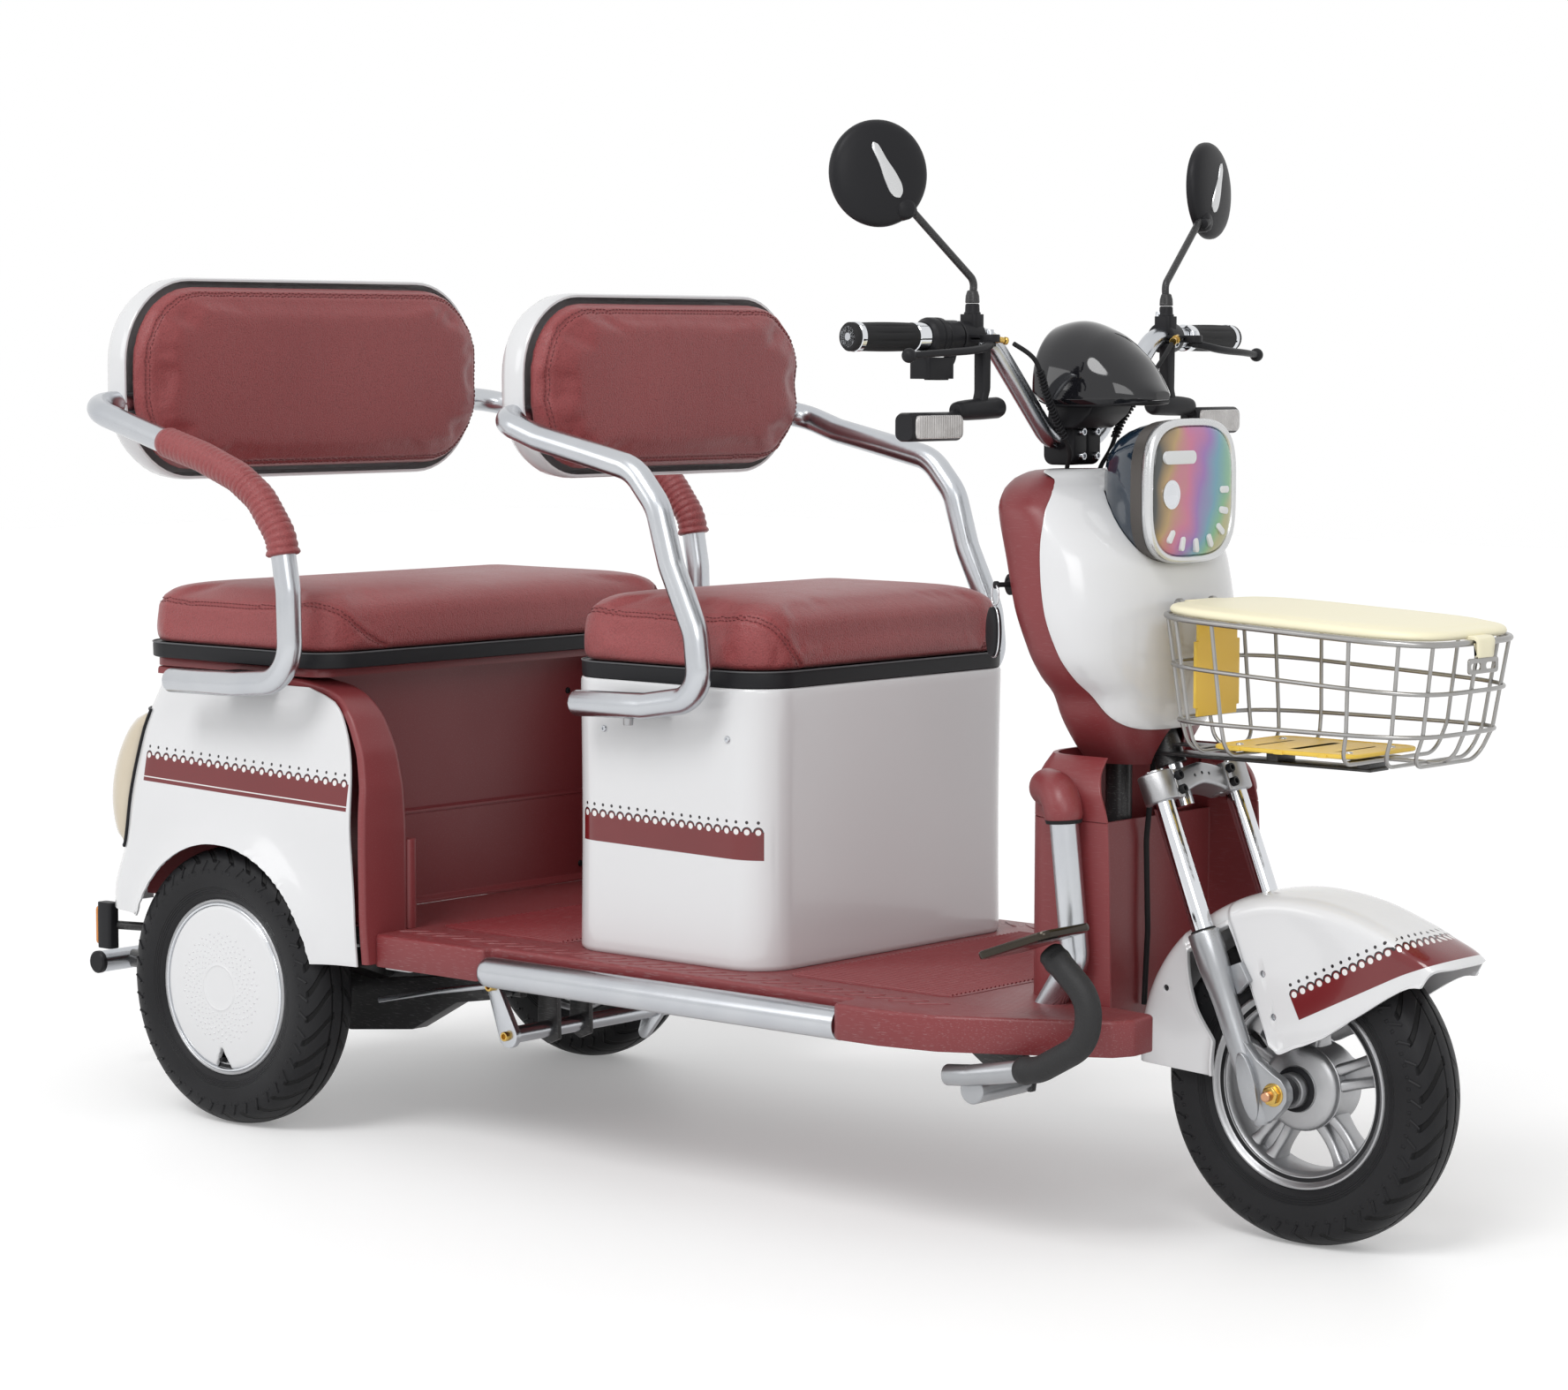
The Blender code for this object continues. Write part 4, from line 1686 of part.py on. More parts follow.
# Chassis and body
piece("frame", chassis(), FRAME_PAINT)
piece("floor_pan", floor_pan(), RED_PLASTIC)
piece("driver_box", bin_shape(), WHITE_PLASTIC)
piece("rear_body", rear_body(), RED_PLASTIC)
piece("side_panel_left", side_panel(1), WHITE_PLASTIC)
piece("side_panel_right", side_panel(-1), WHITE_PLASTIC)
piece("rear_panel", rear_panel(), WHITE_PLASTIC)
piece("tail_lamp_left", tail_lamp(1), LAMP_CREAM)
piece("tail_lamp_right", tail_lamp(-1), LAMP_CREAM)
piece("leg_shield", leg_shield(), RED_PLASTIC)
piece("cowl_rear", cowl_rear(), RED_PLASTIC)
piece("cowl_front", cowl_front(), WHITE_PLASTIC)
piece("headlight_housing", headlight_housing(), BLACK_PLASTIC)
piece("headlight_lens", headlight_lens(), CLEAR_LENS)
piece("battery_pack", battery(), GREY_CASE)

# Seats, hoops and backrests
driver_path = hoop_path(DRIVER_RUN, DRIVER_HOOP_Y, DRIVER_HOOP_BACK, DRIVER_HOOP_TOP)
rear_path = hoop_path(REAR_RUN, REAR_HOOP_Y, REAR_HOOP_BACK, REAR_HOOP_TOP)
piece("driver_hoop", hoop(DRIVER_RUN, DRIVER_HOOP_Y, DRIVER_HOOP_BACK, DRIVER_HOOP_TOP, DRIVER_HOOP_RADIUS,
                          (0.620, 0.700), BOX_HALF, (0.585, 0.606)), SATIN_STEEL)
piece("rear_hoop", hoop(REAR_RUN, REAR_HOOP_Y, REAR_HOOP_BACK, REAR_HOOP_TOP, REAR_HOOP_RADIUS,
                        (-0.010, 0.080), DECK_HALF, (0.5935, 0.6060)), SATIN_STEEL)
piece("armrest_sleeve_left", sleeve(1), RED_LEATHER)
piece("armrest_sleeve_right", sleeve(-1), RED_LEATHER)
piece("driver_back_shell", back_shell(DRIVER_HOOP_BACK, DRIVER_HOOP_RADIUS, DRIVER_BACK_HALF, DRIVER_BACK_LOW,
                                      DRIVER_BACK_HIGH, DRIVER_BACK_CORNER, driver_path), WHITE_PLASTIC)
piece("driver_back_cushion", back_cushion(DRIVER_HOOP_BACK, DRIVER_HOOP_RADIUS, DRIVER_BACK_HALF, DRIVER_BACK_LOW,
                                          DRIVER_BACK_HIGH, DRIVER_BACK_CORNER), RED_LEATHER)
piece("rear_back_shell", back_shell(REAR_HOOP_BACK, REAR_HOOP_RADIUS, REAR_BACK_HALF, REAR_BACK_LOW,
                                    REAR_BACK_HIGH, REAR_BACK_CORNER, rear_path), WHITE_PLASTIC)
piece("rear_back_cushion", back_cushion(REAR_HOOP_BACK, REAR_HOOP_RADIUS, REAR_BACK_HALF, REAR_BACK_LOW,
                                        REAR_BACK_HIGH, REAR_BACK_CORNER), RED_LEATHER)
driver_hinge = pivot("driver_seat_hinge", (BOX_FRONT + 0.003, 0, BOX_TOP + GAP))
rear_hinge = pivot("rear_seat_hinge", (REAR_SEAT_FRONT - 0.012, 0, DECK_TOP + GAP))
piece("driver_seat", seat_shape(BOX_REAR - 0.003, BOX_FRONT + 0.003, BOX_HALF + 0.003, BOX_TOP + GAP,
                                DRIVER_SEAT_HEIGHT), RED_LEATHER, driver_hinge.location + Vector((ORIGIN_X, 0, 0)),
      driver_hinge)
piece("rear_seat", seat_shape(REAR_SEAT_BACK, REAR_SEAT_FRONT, REAR_SEAT_HALF, DECK_TOP + GAP, REAR_SEAT_HEIGHT),
      RED_LEATHER, rear_hinge.location + Vector((ORIGIN_X, 0, 0)), rear_hinge)

# Steering
piece("fork_crown", crown(), CAST_ALUMINIUM, head_point(0), steering)
for side, name in ((1, "left"), (-1, "right")):
    piece("stanchion_" + name, stanchion(side), CHROME, head_point(0, FORK_OFFSET, side * FORK_Y), steering)
    piece("perch_" + name, perch(side), BLACK_PLASTIC, on_bar(side, PERCH_Y), steering)
    piece("cable_" + name, cable(side), RUBBER, (1.150, side * 0.158, 1.040), steering)
    lever_pivot = pivot("lever_pivot_" + name, (LEVER_X, side * LEVER_Y, LEVER_Z), steering)
    piece("lever_" + name, lever(side), BLACK_PLASTIC, (LEVER_X, side * LEVER_Y, LEVER_Z), lever_pivot)
    stalk_pivot = pivot("mirror_pivot_" + name, (1.1165, side * PERCH_Y, 1.086), steering)
    turn = MIRROR_TURN_LEFT if side > 0 else MIRROR_TURN_RIGHT
    piece("mirror_" + name, mirror(side, turn), BLACK_PLASTIC, (1.1165, side * PERCH_Y, 1.086), stalk_pivot)
piece("handlebar", handlebar(), SATIN_STEEL, (BAR_CLAMP_X, 0, BAR_CLAMP_Z), steering)
piece("dash_hood", dash_hood(), GLOSS_BLACK, (HOOD_REAR, 0, HOOD_LOW), steering)
piece("grip_left", grip(1, GRIP_INNER_Y - 0.012, GRIP_RADIUS + 0.003), RUBBER, on_bar(1, GRIP_INNER_Y), steering)
throttle_pivot = pivot("throttle_pivot", on_bar(-1, GRIP_INNER_Y), steering)
piece("throttle_grip", grip(-1, GRIP_INNER_Y - 0.009, GRIP_RADIUS + 0.006), RUBBER, on_bar(-1, GRIP_INNER_Y),
      throttle_pivot)
piece("fork_lower", fork_lower(), CAST_ALUMINIUM, head_point(-0.2, FORK_OFFSET), fork_slide)
piece("front_fender", front_fender(), WHITE_PLASTIC, (WHEELBASE, 0, WHEEL_Z), fork_slide)

# Wheels
piece("front_tyre", tyre(WHEELBASE, 0), RUBBER, (WHEELBASE, 0, WHEEL_Z), front_spin)
piece("front_rim", front_rim(), CAST_ALUMINIUM, (WHEELBASE, 0, WHEEL_Z), front_spin)
piece("rear_axle", rear_axle(), BLACK_PLASTIC, (SWING_PIVOT_X, 0, SWING_PIVOT_Z), rear_swing)
for side, name, spin in ((1, "left", rear_spin_left), (-1, "right", rear_spin_right)):
    hub = (0, side * TRACK_HALF, WHEEL_Z)
    piece("rear_tyre_" + name, tyre(0, side * TRACK_HALF), RUBBER, hub, spin)
    piece("rear_rim_" + name, rear_rim(side), CAST_ALUMINIUM, hub, spin)
    piece("wheel_cover_" + name, wheel_cover(side), WHITE_PLASTIC, hub, spin)
    piece("shock_" + name, shock(side), SATIN_STEEL, (SHOCK_X, side * SHOCK_Y, SHOCK_TOP))

# Brake linkage, basket and key
shaft_pivot = pivot("brake_shaft_pivot", (BRAKE_SHAFT_X, 0, BRAKE_SHAFT_Z))
piece("brake_shaft", brake_shaft(), SATIN_STEEL, (BRAKE_SHAFT_X, 0, BRAKE_SHAFT_Z), shaft_pivot)
pedal_pivot = pivot("brake_pedal_pivot", (PEDAL_PIVOT_X, PEDAL_Y, PEDAL_PIVOT_Z))
piece("brake_pedal", brake_pedal(), BLACK_PLASTIC, (PEDAL_PIVOT_X, PEDAL_Y, PEDAL_PIVOT_Z), pedal_pivot)
floor_plate, back_plate = basket_plates()
piece("basket_frame", basket_frame(), SATIN_STEEL, sharp=50)
piece("basket_floor_plate", floor_plate, YELLOW)
piece("basket_back_plate", back_plate, YELLOW)
lid_hinge = pivot("basket_lid_hinge", (BASKET_REAR, 0, HINGE_Z))
piece("basket_lid", basket_lid(), PALE_YELLOW, (BASKET_REAR, 0, HINGE_Z), lid_hinge)
key_pivot = pivot("key_pivot", LOCK)
piece("ignition_key", ignition_key(), BLACK_PLASTIC, LOCK, key_pivot)
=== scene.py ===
import json
import math

import bmesh
import bpy
from mathutils import Matrix, Vector
from mathutils.bvhtree import BVHTree
from mathutils.kdtree import KDTree


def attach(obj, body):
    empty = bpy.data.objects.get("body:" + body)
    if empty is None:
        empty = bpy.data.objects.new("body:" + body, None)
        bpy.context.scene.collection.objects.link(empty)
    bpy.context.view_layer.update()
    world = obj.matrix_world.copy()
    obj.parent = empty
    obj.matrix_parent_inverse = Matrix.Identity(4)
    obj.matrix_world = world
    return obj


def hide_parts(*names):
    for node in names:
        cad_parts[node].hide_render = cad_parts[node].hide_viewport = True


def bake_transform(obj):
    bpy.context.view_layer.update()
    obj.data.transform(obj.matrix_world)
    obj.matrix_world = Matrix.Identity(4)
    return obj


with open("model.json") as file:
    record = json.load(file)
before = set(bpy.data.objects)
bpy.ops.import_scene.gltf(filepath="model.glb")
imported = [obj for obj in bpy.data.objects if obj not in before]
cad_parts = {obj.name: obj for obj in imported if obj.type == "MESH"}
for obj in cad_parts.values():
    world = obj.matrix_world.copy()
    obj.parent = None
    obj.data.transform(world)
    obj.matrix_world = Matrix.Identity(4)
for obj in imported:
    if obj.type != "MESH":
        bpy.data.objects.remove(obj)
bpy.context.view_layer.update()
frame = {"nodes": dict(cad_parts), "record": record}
cad = frame["nodes"]
rearAxle = Vector((-0.624975, 0, 0))  # every shape is drawn from the rear axle, then moved here
wheelZ = 0.18440874
rake = math.radians(22)
steerUp = Vector((-math.sin(rake), 0, math.cos(rake)))
scene = bpy.context.scene


# Small tools for curves and meshes


def unit(value):
    return value.normalized()


def along(table, value):  # a smooth curve through (place, size) pairs
    last = len(table) - 1
    if value <= table[0][0]:
        return table[0][1]
    if value >= table[last][0]:
        return table[last][1]
    i = max(k for k in range(last) if table[k][0] <= value)

    def slope(k):
        if k in (0, last):
            j = min(k, last - 1)
            return (table[j + 1][1] - table[j][1]) / (table[j + 1][0] - table[j][0])
        left = (table[k][1] - table[k - 1][1]) / (table[k][0] - table[k - 1][0])
        right = (table[k + 1][1] - table[k][1]) / (table[k + 1][0] - table[k][0])
        return 0 if left * right <= 0 else 2 * left * right / (left + right)

    (x0, y0), (x1, y1) = table[i], table[i + 1]
    w = x1 - x0
    t = (value - x0) / w
    return ((2 * t ** 3 - 3 * t * t + 1) * y0 + (t ** 3 - 2 * t * t + t) * w * slope(i)
            + (3 * t * t - 2 * t ** 3) * y1 + (t ** 3 - t * t) * w * slope(i + 1))


def spread(low, high, count):
    return [low + (high - low) * i / (count - 1) for i in range(count)]


def loft(loops, closed=False):
    n = len(loops[0])
    points = [Vector(p) for loop in loops for p in loop]
    faces = []
    rows = len(loops)
    for r in range(rows if closed else rows - 1):
        a, b = r * n, ((r + 1) % rows) * n
        faces += [(a + i, a + (i + 1) % n, b + (i + 1) % n, b + i) for i in range(n)]
    if not closed:
        faces += [tuple(range(n - 1, -1, -1)), tuple(range((rows - 1) * n, rows * n))]
    return points, faces


def sheetOf(rows):  # an open grid of points
    n = len(rows[0])
    points = [Vector(p) for row in rows for p in row]
    faces = [(r * n + i, r * n + i + 1, (r + 1) * n + i + 1, (r + 1) * n + i)
             for r in range(len(rows) - 1) for i in range(n - 1)]
    return points, faces


def axes(direction):
    d = Vector(direction).normalized()
    side = d.cross(Vector((0, 0, 1)) if abs(d.z) < 0.9 else Vector((1, 0, 0))).normalized()
    return d, side, d.cross(side)


def lathe(profile, centre, axis=(0, 1, 0), steps=64, closed=False):
    d, a, b = axes(axis)
    c = Vector(centre)
    loops = []
    for along_, radius in profile:
        loops.append([c + d * along_ + (a * math.cos(2 * math.pi * i / steps) + b * math.sin(2 * math.pi * i / steps))
                      * radius for i in range(steps)])
    return loft(loops, closed=closed)


def fillet(points, radius, degrees=6):  # round the corners of a path
    points = [Vector(p) for p in points]
    out = [points[0]]
    for k in range(1, len(points) - 1):
        here = points[k]
        u = (points[k - 1] - here)
        v = (points[k + 1] - here)
        angle = u.angle(v)
        turn = math.pi - angle
        if turn < 0.01:
            out.append(here)
            continue
        reach = min(radius * math.tan(turn / 2), u.length * 0.49, v.length * 0.49)
        r = reach / math.tan(turn / 2)
        un, vn = u.normalized(), v.normalized()
        middle = (un + vn).normalized()
        centre = here + middle * (r / math.sin(angle / 2))
        start = here + un * reach - centre
        end = here + vn * reach - centre
        count = max(2, int(math.degrees(turn) / degrees))
        for i in range(count + 1):
            t = i / count
            w1 = math.sin((1 - t) * turn) / math.sin(turn)
            w2 = math.sin(t * turn) / math.sin(turn)
            out.append(centre + start * w1 + end * w2)
    out.append(points[-1])
    return out


def sweep(path, radius, sides=20, ends=0.0):  # a round tube, its ends rounded over by a small radius
    path = [Vector(p) for p in path]
    count = len(path)
    radii = list(radius) if isinstance(radius, (list, tuple)) else [radius] * count
    if ends:
        first, last = path[0], path[-1]
        d0 = (path[1] - first).normalized()
        d1 = (path[-2] - last).normalized()
        ring = [(0.0, 1 - ends / radii[0]), (ends * 0.3, 1 - 0.3 * ends / radii[0]), (ends, 1.0)]
        head = [(first + d0 * s, radii[0] * f) for s, f in ring]
        tail = [(last + d1 * s, radii[-1] * f) for s, f in reversed(ring)]
        body = [(p, r) for p, r in zip(path[1:-1], radii[1:-1])
                if (p - first).length > ends * 1.5 and (p - last).length > ends * 1.5]
        pairs = head + body + tail
        path = [p for p, r in pairs]
        radii = [r for p, r in pairs]
        count = len(path)
    tangents = []
    for i in range(count):
        tangents.append((path[min(i + 1, count - 1)] - path[max(i - 1, 0)]).normalized())
    _, side, _ = axes(tangents[0])
    loops = []
    for i in range(count):
        t = tangents[i]
        side = (side - t * side.dot(t)).normalized()
        up = t.cross(side)
        loops.append([path[i] + (side * math.cos(2 * math.pi * k / sides) + up * math.sin(2 * math.pi * k / sides))
                      * radii[i] for k in range(sides)])
    return loft(loops)


def rounded(lowA, highA, lowB, highB, corner, steps=10):  # outline of a rectangle with round corners
    points = []
    for ca, cb, start in ((highA - corner, highB - corner, 0), (lowA + corner, highB - corner, 90),
                          (lowA + corner, lowB + corner, 180), (highA - corner, lowB + corner, 270)):
        for i in range(steps + 1):
            t = math.radians(start + 90 * i / steps)
            points.append((ca + corner * math.cos(t), cb + corner * math.sin(t)))
    return points


def oval(halfA, halfB, power, steps, ca=0.0, cb=0.0):
    points = []
    for i in range(steps):
        t = 2 * math.pi * i / steps
        c, s = math.cos(t), math.sin(t)
        points.append((ca + math.copysign(abs(c) ** (2 / power), c) * halfA,
                       cb + math.copysign(abs(s) ** (2 / power), s) * halfB))
    return points


def slab(outline, low, high, axis="z"):  # an outline given a thickness along an axis
    place = {"z": lambda a, b, c: (a, b, c), "y": lambda a, b, c: (a, c, b), "x": lambda a, b, c: (c, a, b)}[axis]
    return loft([[place(a, b, low) for a, b in outline], [place(a, b, high) for a, b in outline]])


def block(low, high):
    return slab([(low[0], low[1]), (high[0], low[1]), (high[0], high[1]), (low[0], high[1])], low[2], high[2])


def merge(*shapes):
    points, faces = [], []
    for p, f in shapes:
        shift = len(points)
        points += [Vector(v) for v in p]
        faces += [tuple(shift + i for i in face) for face in f]
    return points, faces


def mirrorY(shape):
    return [Vector((p[0], -p[1], p[2])) for p in shape[0]], [tuple(reversed(f)) for f in shape[1]]


def bake(obj):  # turn the modifiers into plain mesh
    bpy.context.view_layer.update()
    old = obj.data
    fresh = bpy.data.meshes.new_from_object(obj.evaluated_get(bpy.context.evaluated_depsgraph_get()))
    obj.modifiers.clear()
    obj.data = fresh
    fresh.name = obj.name
    if old.users == 0 and isinstance(old, bpy.types.Mesh):
        bpy.data.meshes.remove(old)
    return obj


def shade(obj, angle=34):
    mesh = obj.data
    mesh.polygons.foreach_set("use_smooth", [True] * len(mesh.polygons))
    mesh.set_sharp_from_angle(angle=math.radians(angle))


def bevelled(obj, width, angle, segments=2):
    edge = obj.modifiers.new("edges", "BEVEL")
    edge.width = width
    edge.segments = segments
    edge.limit_method = "ANGLE"
    edge.angle_limit = math.radians(angle)
    bake(obj)
    shade(obj, angle)


def settle(obj, body, replaces=()):
    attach(obj, body)
    if replaces:
        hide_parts(*([replaces] if isinstance(replaces, str) else replaces))
    return obj


def makePiece(name, shape, look, body, replaces=(), angle=34, bevel=0.0):
    mesh = bpy.data.meshes.new(name)
    mesh.from_pydata([tuple(Vector(p) + rearAxle) for p in shape[0]], [], shape[1])
    bm = bmesh.new()
    bm.from_mesh(mesh)
    bmesh.ops.remove_doubles(bm, verts=bm.verts, dist=1e-6)
    bmesh.ops.dissolve_degenerate(bm, edges=bm.edges, dist=1e-7)
    bmesh.ops.recalc_face_normals(bm, faces=bm.faces)
    bm.to_mesh(mesh)
    bm.free()
    obj = bpy.data.objects.new(name, mesh)
    scene.collection.objects.link(obj)
    mesh.materials.append(looks[look])
    if bevel:
        bevelled(obj, bevel, angle, 3)
    else:
        shade(obj, angle)
    if body:
        settle(obj, body, replaces)
    return obj


# Node tools: one call adds a node, feeds its sockets and hands back what it puts out


def feed(tree, socket, value):
    if isinstance(value, bpy.types.NodeSocket):
        tree.links.new(value, socket)
    elif value is not None:
        socket.default_value = value


def add(tree, kind, values=None, **settings):
    node = tree.nodes.new(kind)
    for key, value in settings.items():
        setattr(node, key, value)
    for key, value in (values or {}).items():
        feed(tree, node.inputs[key], value)
    return node


def calc(tree, operation, *values, clamp=False):
    node = add(tree, "ShaderNodeMath", operation=operation, use_clamp=clamp)
    for i, value in enumerate(values):
        feed(tree, node.inputs[i], value)
    return node.outputs[0]


def within(tree, value, limit, soft):  # 1 where value is under the limit, with a soft edge
    room = calc(tree, "SUBTRACT", limit, value)
    return calc(tree, "MULTIPLY_ADD", room, 1.0 / soft, 0.5, clamp=True)


def both(tree, a, b):
    return calc(tree, "MULTIPLY", a, b)


def either(tree, a, b):
    return calc(tree, "MAXIMUM", a, b)


def tint(tree, amount, first, second):
    node = add(tree, "ShaderNodeMix", data_type="RGBA")
    feed(tree, node.inputs[0], amount)
    for index, value in ((6, first), (7, second)):
        feed(tree, node.inputs[index], value if isinstance(value, bpy.types.NodeSocket) else (*value, 1.0))
    return node.outputs[2]


def openGroup(name, kind, inputs, outputs):
    tree = bpy.data.node_groups.new(name, kind)
    for label, socketType, value in inputs:
        socket = tree.interface.new_socket(name=label, in_out="INPUT", socket_type="NodeSocket" + socketType)
        if value is not None:
            socket.default_value = value
    for label, socketType in outputs:
        tree.interface.new_socket(name=label, in_out="OUTPUT", socket_type="NodeSocket" + socketType)
    return tree, tree.nodes.new("NodeGroupInput"), tree.nodes.new("NodeGroupOutput")


def noise(tree, place, scale, detail=4.0, rough=0.5, stretch=None):
    if stretch:
        place = add(tree, "ShaderNodeMapping", {"Vector": place, "Scale": stretch}).outputs[0]
    return add(tree, "ShaderNodeTexNoise", {"Vector": place, "Scale": scale, "Detail": detail,
                                            "Roughness": rough}).outputs[0]


# Effects that several materials share


def makeMouldedFinish():  # uneven colour, worn gloss and a fine grain for plastic, paint and metal
    tree, a, b = openGroup("mouldedFinish", "ShaderNodeTree", (
        ("Place", "Vector", None), ("Colour", "Color", (0.5, 0.5, 0.5, 1)),
        ("Aged Colour", "Color", (0.4, 0.4, 0.4, 1)),
        ("Patch Scale", "Float", 9.0), ("Patch Amount", "Float", 0.3), ("Roughness", "Float", 0.4),
        ("Roughness Shift", "Float", 0.1), ("Grain Scale", "Float", 900.0), ("Scuff Amount", "Float", 0.0)),
                           (("Colour", "Color"), ("Roughness", "Float"), ("Height", "Float")))
    place = a.outputs["Place"]
    patch = noise(tree, place, a.outputs["Patch Scale"], 3.0)
    grain = noise(tree, place, a.outputs["Grain Scale"], 3.0, 0.6)
    patchMask = calc(tree, "MULTIPLY", patch, a.outputs["Patch Amount"], clamp=True)
    scratch = noise(tree, place, 70.0, 2.0, 0.4, stretch=(1.0, 9.0, 14.0))
    scuffMask = calc(tree, "MULTIPLY", calc(tree, "GREATER_THAN", scratch, 0.63), a.outputs["Scuff Amount"])
    colour = tint(tree, patchMask, a.outputs["Colour"], a.outputs["Aged Colour"])
    feed(tree, b.inputs["Colour"], tint(tree, scuffMask, colour, (0.55, 0.55, 0.55)))
    shift = calc(tree, "MULTIPLY", calc(tree, "SUBTRACT", calc(tree, "ADD", patch, grain), 1.0),
                 a.outputs["Roughness Shift"])
    rough = calc(tree, "ADD", calc(tree, "ADD", a.outputs["Roughness"], shift), calc(tree, "MULTIPLY", scuffMask, 0.2))
    feed(tree, b.inputs["Roughness"], rough)
    feed(tree, b.inputs["Height"], grain)
    return tree


def makeLeatherGrain():  # pebbled leatherette with soft wrinkles
    tree, a, b = openGroup("leatherGrain", "ShaderNodeTree", (
        ("Place", "Vector", None), ("Pebble Scale", "Float", 620.0), ("Wrinkle Scale", "Float", 14.0)),
                           (("Height", "Float"), ("Creases", "Float"), ("Patches", "Float")))
    place = a.outputs["Place"]
    wander = add(tree, "ShaderNodeVectorMath", operation="ADD")
    feed(tree, wander.inputs[0], place)
    drift = add(tree, "ShaderNodeTexNoise", {"Vector": place, "Scale": 240.0, "Detail": 2.0})
    small = add(tree, "ShaderNodeVectorMath", operation="SCALE")
    feed(tree, small.inputs[0], drift.outputs["Color"])
    small.inputs["Scale"].default_value = 0.0012
    feed(tree, wander.inputs[1], small.outputs[0])
    pebbles = add(tree, "ShaderNodeTexVoronoi", {"Vector": wander.outputs[0], "Scale": a.outputs["Pebble Scale"]},
                  feature="SMOOTH_F1")
    wrinkle = noise(tree, place, a.outputs["Wrinkle Scale"], 5.0, 0.62, stretch=(1.0, 1.6, 1.0))
    patches = noise(tree, place, 6.0, 3.0)
    creases = calc(tree, "MULTIPLY_ADD", pebbles.outputs["Distance"], 1.7, -0.35, clamp=True)
    height = calc(tree, "SUBTRACT", calc(tree, "MULTIPLY", wrinkle, 1.6), calc(tree, "MULTIPLY", creases, 0.35))
    feed(tree, b.inputs["Height"], height)
    feed(tree, b.inputs["Creases"], creases)
    feed(tree, b.inputs["Patches"], patches)
    return tree


def makeStripeBand():  # a red band with a scalloped upper edge, drawn from UV lengths in metres
    tree, a, b = openGroup("stripeBand", "ShaderNodeTree", (
        ("Place", "Vector", None), ("Panel Colour", "Color", (0.75, 0.75, 0.75, 1)),
        ("Band Colour", "Color", (0.2, 0, 0, 1)),
        ("Length", "Float", 0.3), ("Width", "Float", 0.038), ("Pitch", "Float", 0.0147), ("Lower Line", "Float", 0.0)),
                           (("Colour", "Color"), ("Band", "Float")))
    split = add(tree, "ShaderNodeSeparateXYZ", {"Vector": a.outputs["Place"]})
    u, v = split.outputs[0], split.outputs[1]
    pitch, width = a.outputs["Pitch"], a.outputs["Width"]
    turn = calc(tree, "FRACT", calc(tree, "DIVIDE", u, pitch))
    side = calc(tree, "MULTIPLY", calc(tree, "SUBTRACT", turn, 0.5), pitch)
    sideSquared = calc(tree, "MULTIPLY", side, side)

    def reach(height):  # distance from the middle of this scallop at a height
        rise = calc(tree, "SUBTRACT", v, height)
        return calc(tree, "SQRT", calc(tree, "ADD", sideSquared, calc(tree, "MULTIPLY", rise, rise)))

    pearlHeight = calc(tree, "SUBTRACT", width, 0.0052)
    pearl = reach(pearlHeight)
    dot = reach(calc(tree, "ADD", width, 0.0068))
    below = within(tree, v, calc(tree, "SUBTRACT", width, 0.0045), 0.0004)
    bump = within(tree, pearl, 0.0066, 0.0004)
    inLength = both(tree, within(tree, 0.0, u, 0.0006), within(tree, u, a.outputs["Length"], 0.0006))
    aboveFoot = both(tree, within(tree, 0.0, v, 0.0005), inLength)
    band = both(tree, either(tree, below, bump), aboveFoot)
    rim = both(tree, both(tree, bump, calc(tree, "SUBTRACT", 1.0, within(tree, pearl, 0.005, 0.0005))),
               within(tree, pearlHeight, v, 0.001))
    dots = both(tree, within(tree, dot, 0.0021, 0.0004), inLength)
    pearls = both(tree, within(tree, pearl, 0.0036, 0.0004), inLength)
    line = both(tree, both(tree, within(tree, 0.0052, v, 0.0004), within(tree, v, 0.0066, 0.0004)),
                a.outputs["Lower Line"])
    fade = noise(tree, a.outputs["Place"], 9.0, 2.0)
    bandColour = tint(tree, calc(tree, "MULTIPLY", fade, 0.55), a.outputs["Band Colour"], (0.105, 0.004, 0.006))
    colour = tint(tree, band, a.outputs["Panel Colour"], bandColour)
    colour = tint(tree, either(tree, both(tree, rim, inLength), dots), colour, (0.012, 0.008, 0.01))
    colour = tint(tree, both(tree, either(tree, pearls, line), aboveFoot), colour, (0.78, 0.77, 0.76))
    feed(tree, b.inputs["Colour"], colour)
    feed(tree, b.inputs["Band"], band)
    return tree


mouldedFinish = makeMouldedFinish()
leatherGrain = makeLeatherGrain()
stripeBand = makeStripeBand()


def startMaterial(name, constants=None):
    material = bpy.data.materials.new(name)
    material.use_nodes = True
    tree = material.node_tree
    shader = tree.nodes["Principled BSDF"]
    for key, value in (constants or {}).items():
        shader.inputs[key].default_value = value
    place = add(tree, "ShaderNodeTexCoord").outputs["Object"]
    return material, tree, shader, place


def useGroup(tree, group, values):
    node = tree.nodes.new("ShaderNodeGroup")
    node.node_tree = group
    for key, value in values.items():
        feed(tree, node.inputs[key], value)
    return node


def emboss(tree, shader, height, distance):
    bump = add(tree, "ShaderNodeBump", {"Height": height, "Distance": distance, "Strength": 1.0})
    feed(tree, shader.inputs["Normal"], bump.outputs[0])


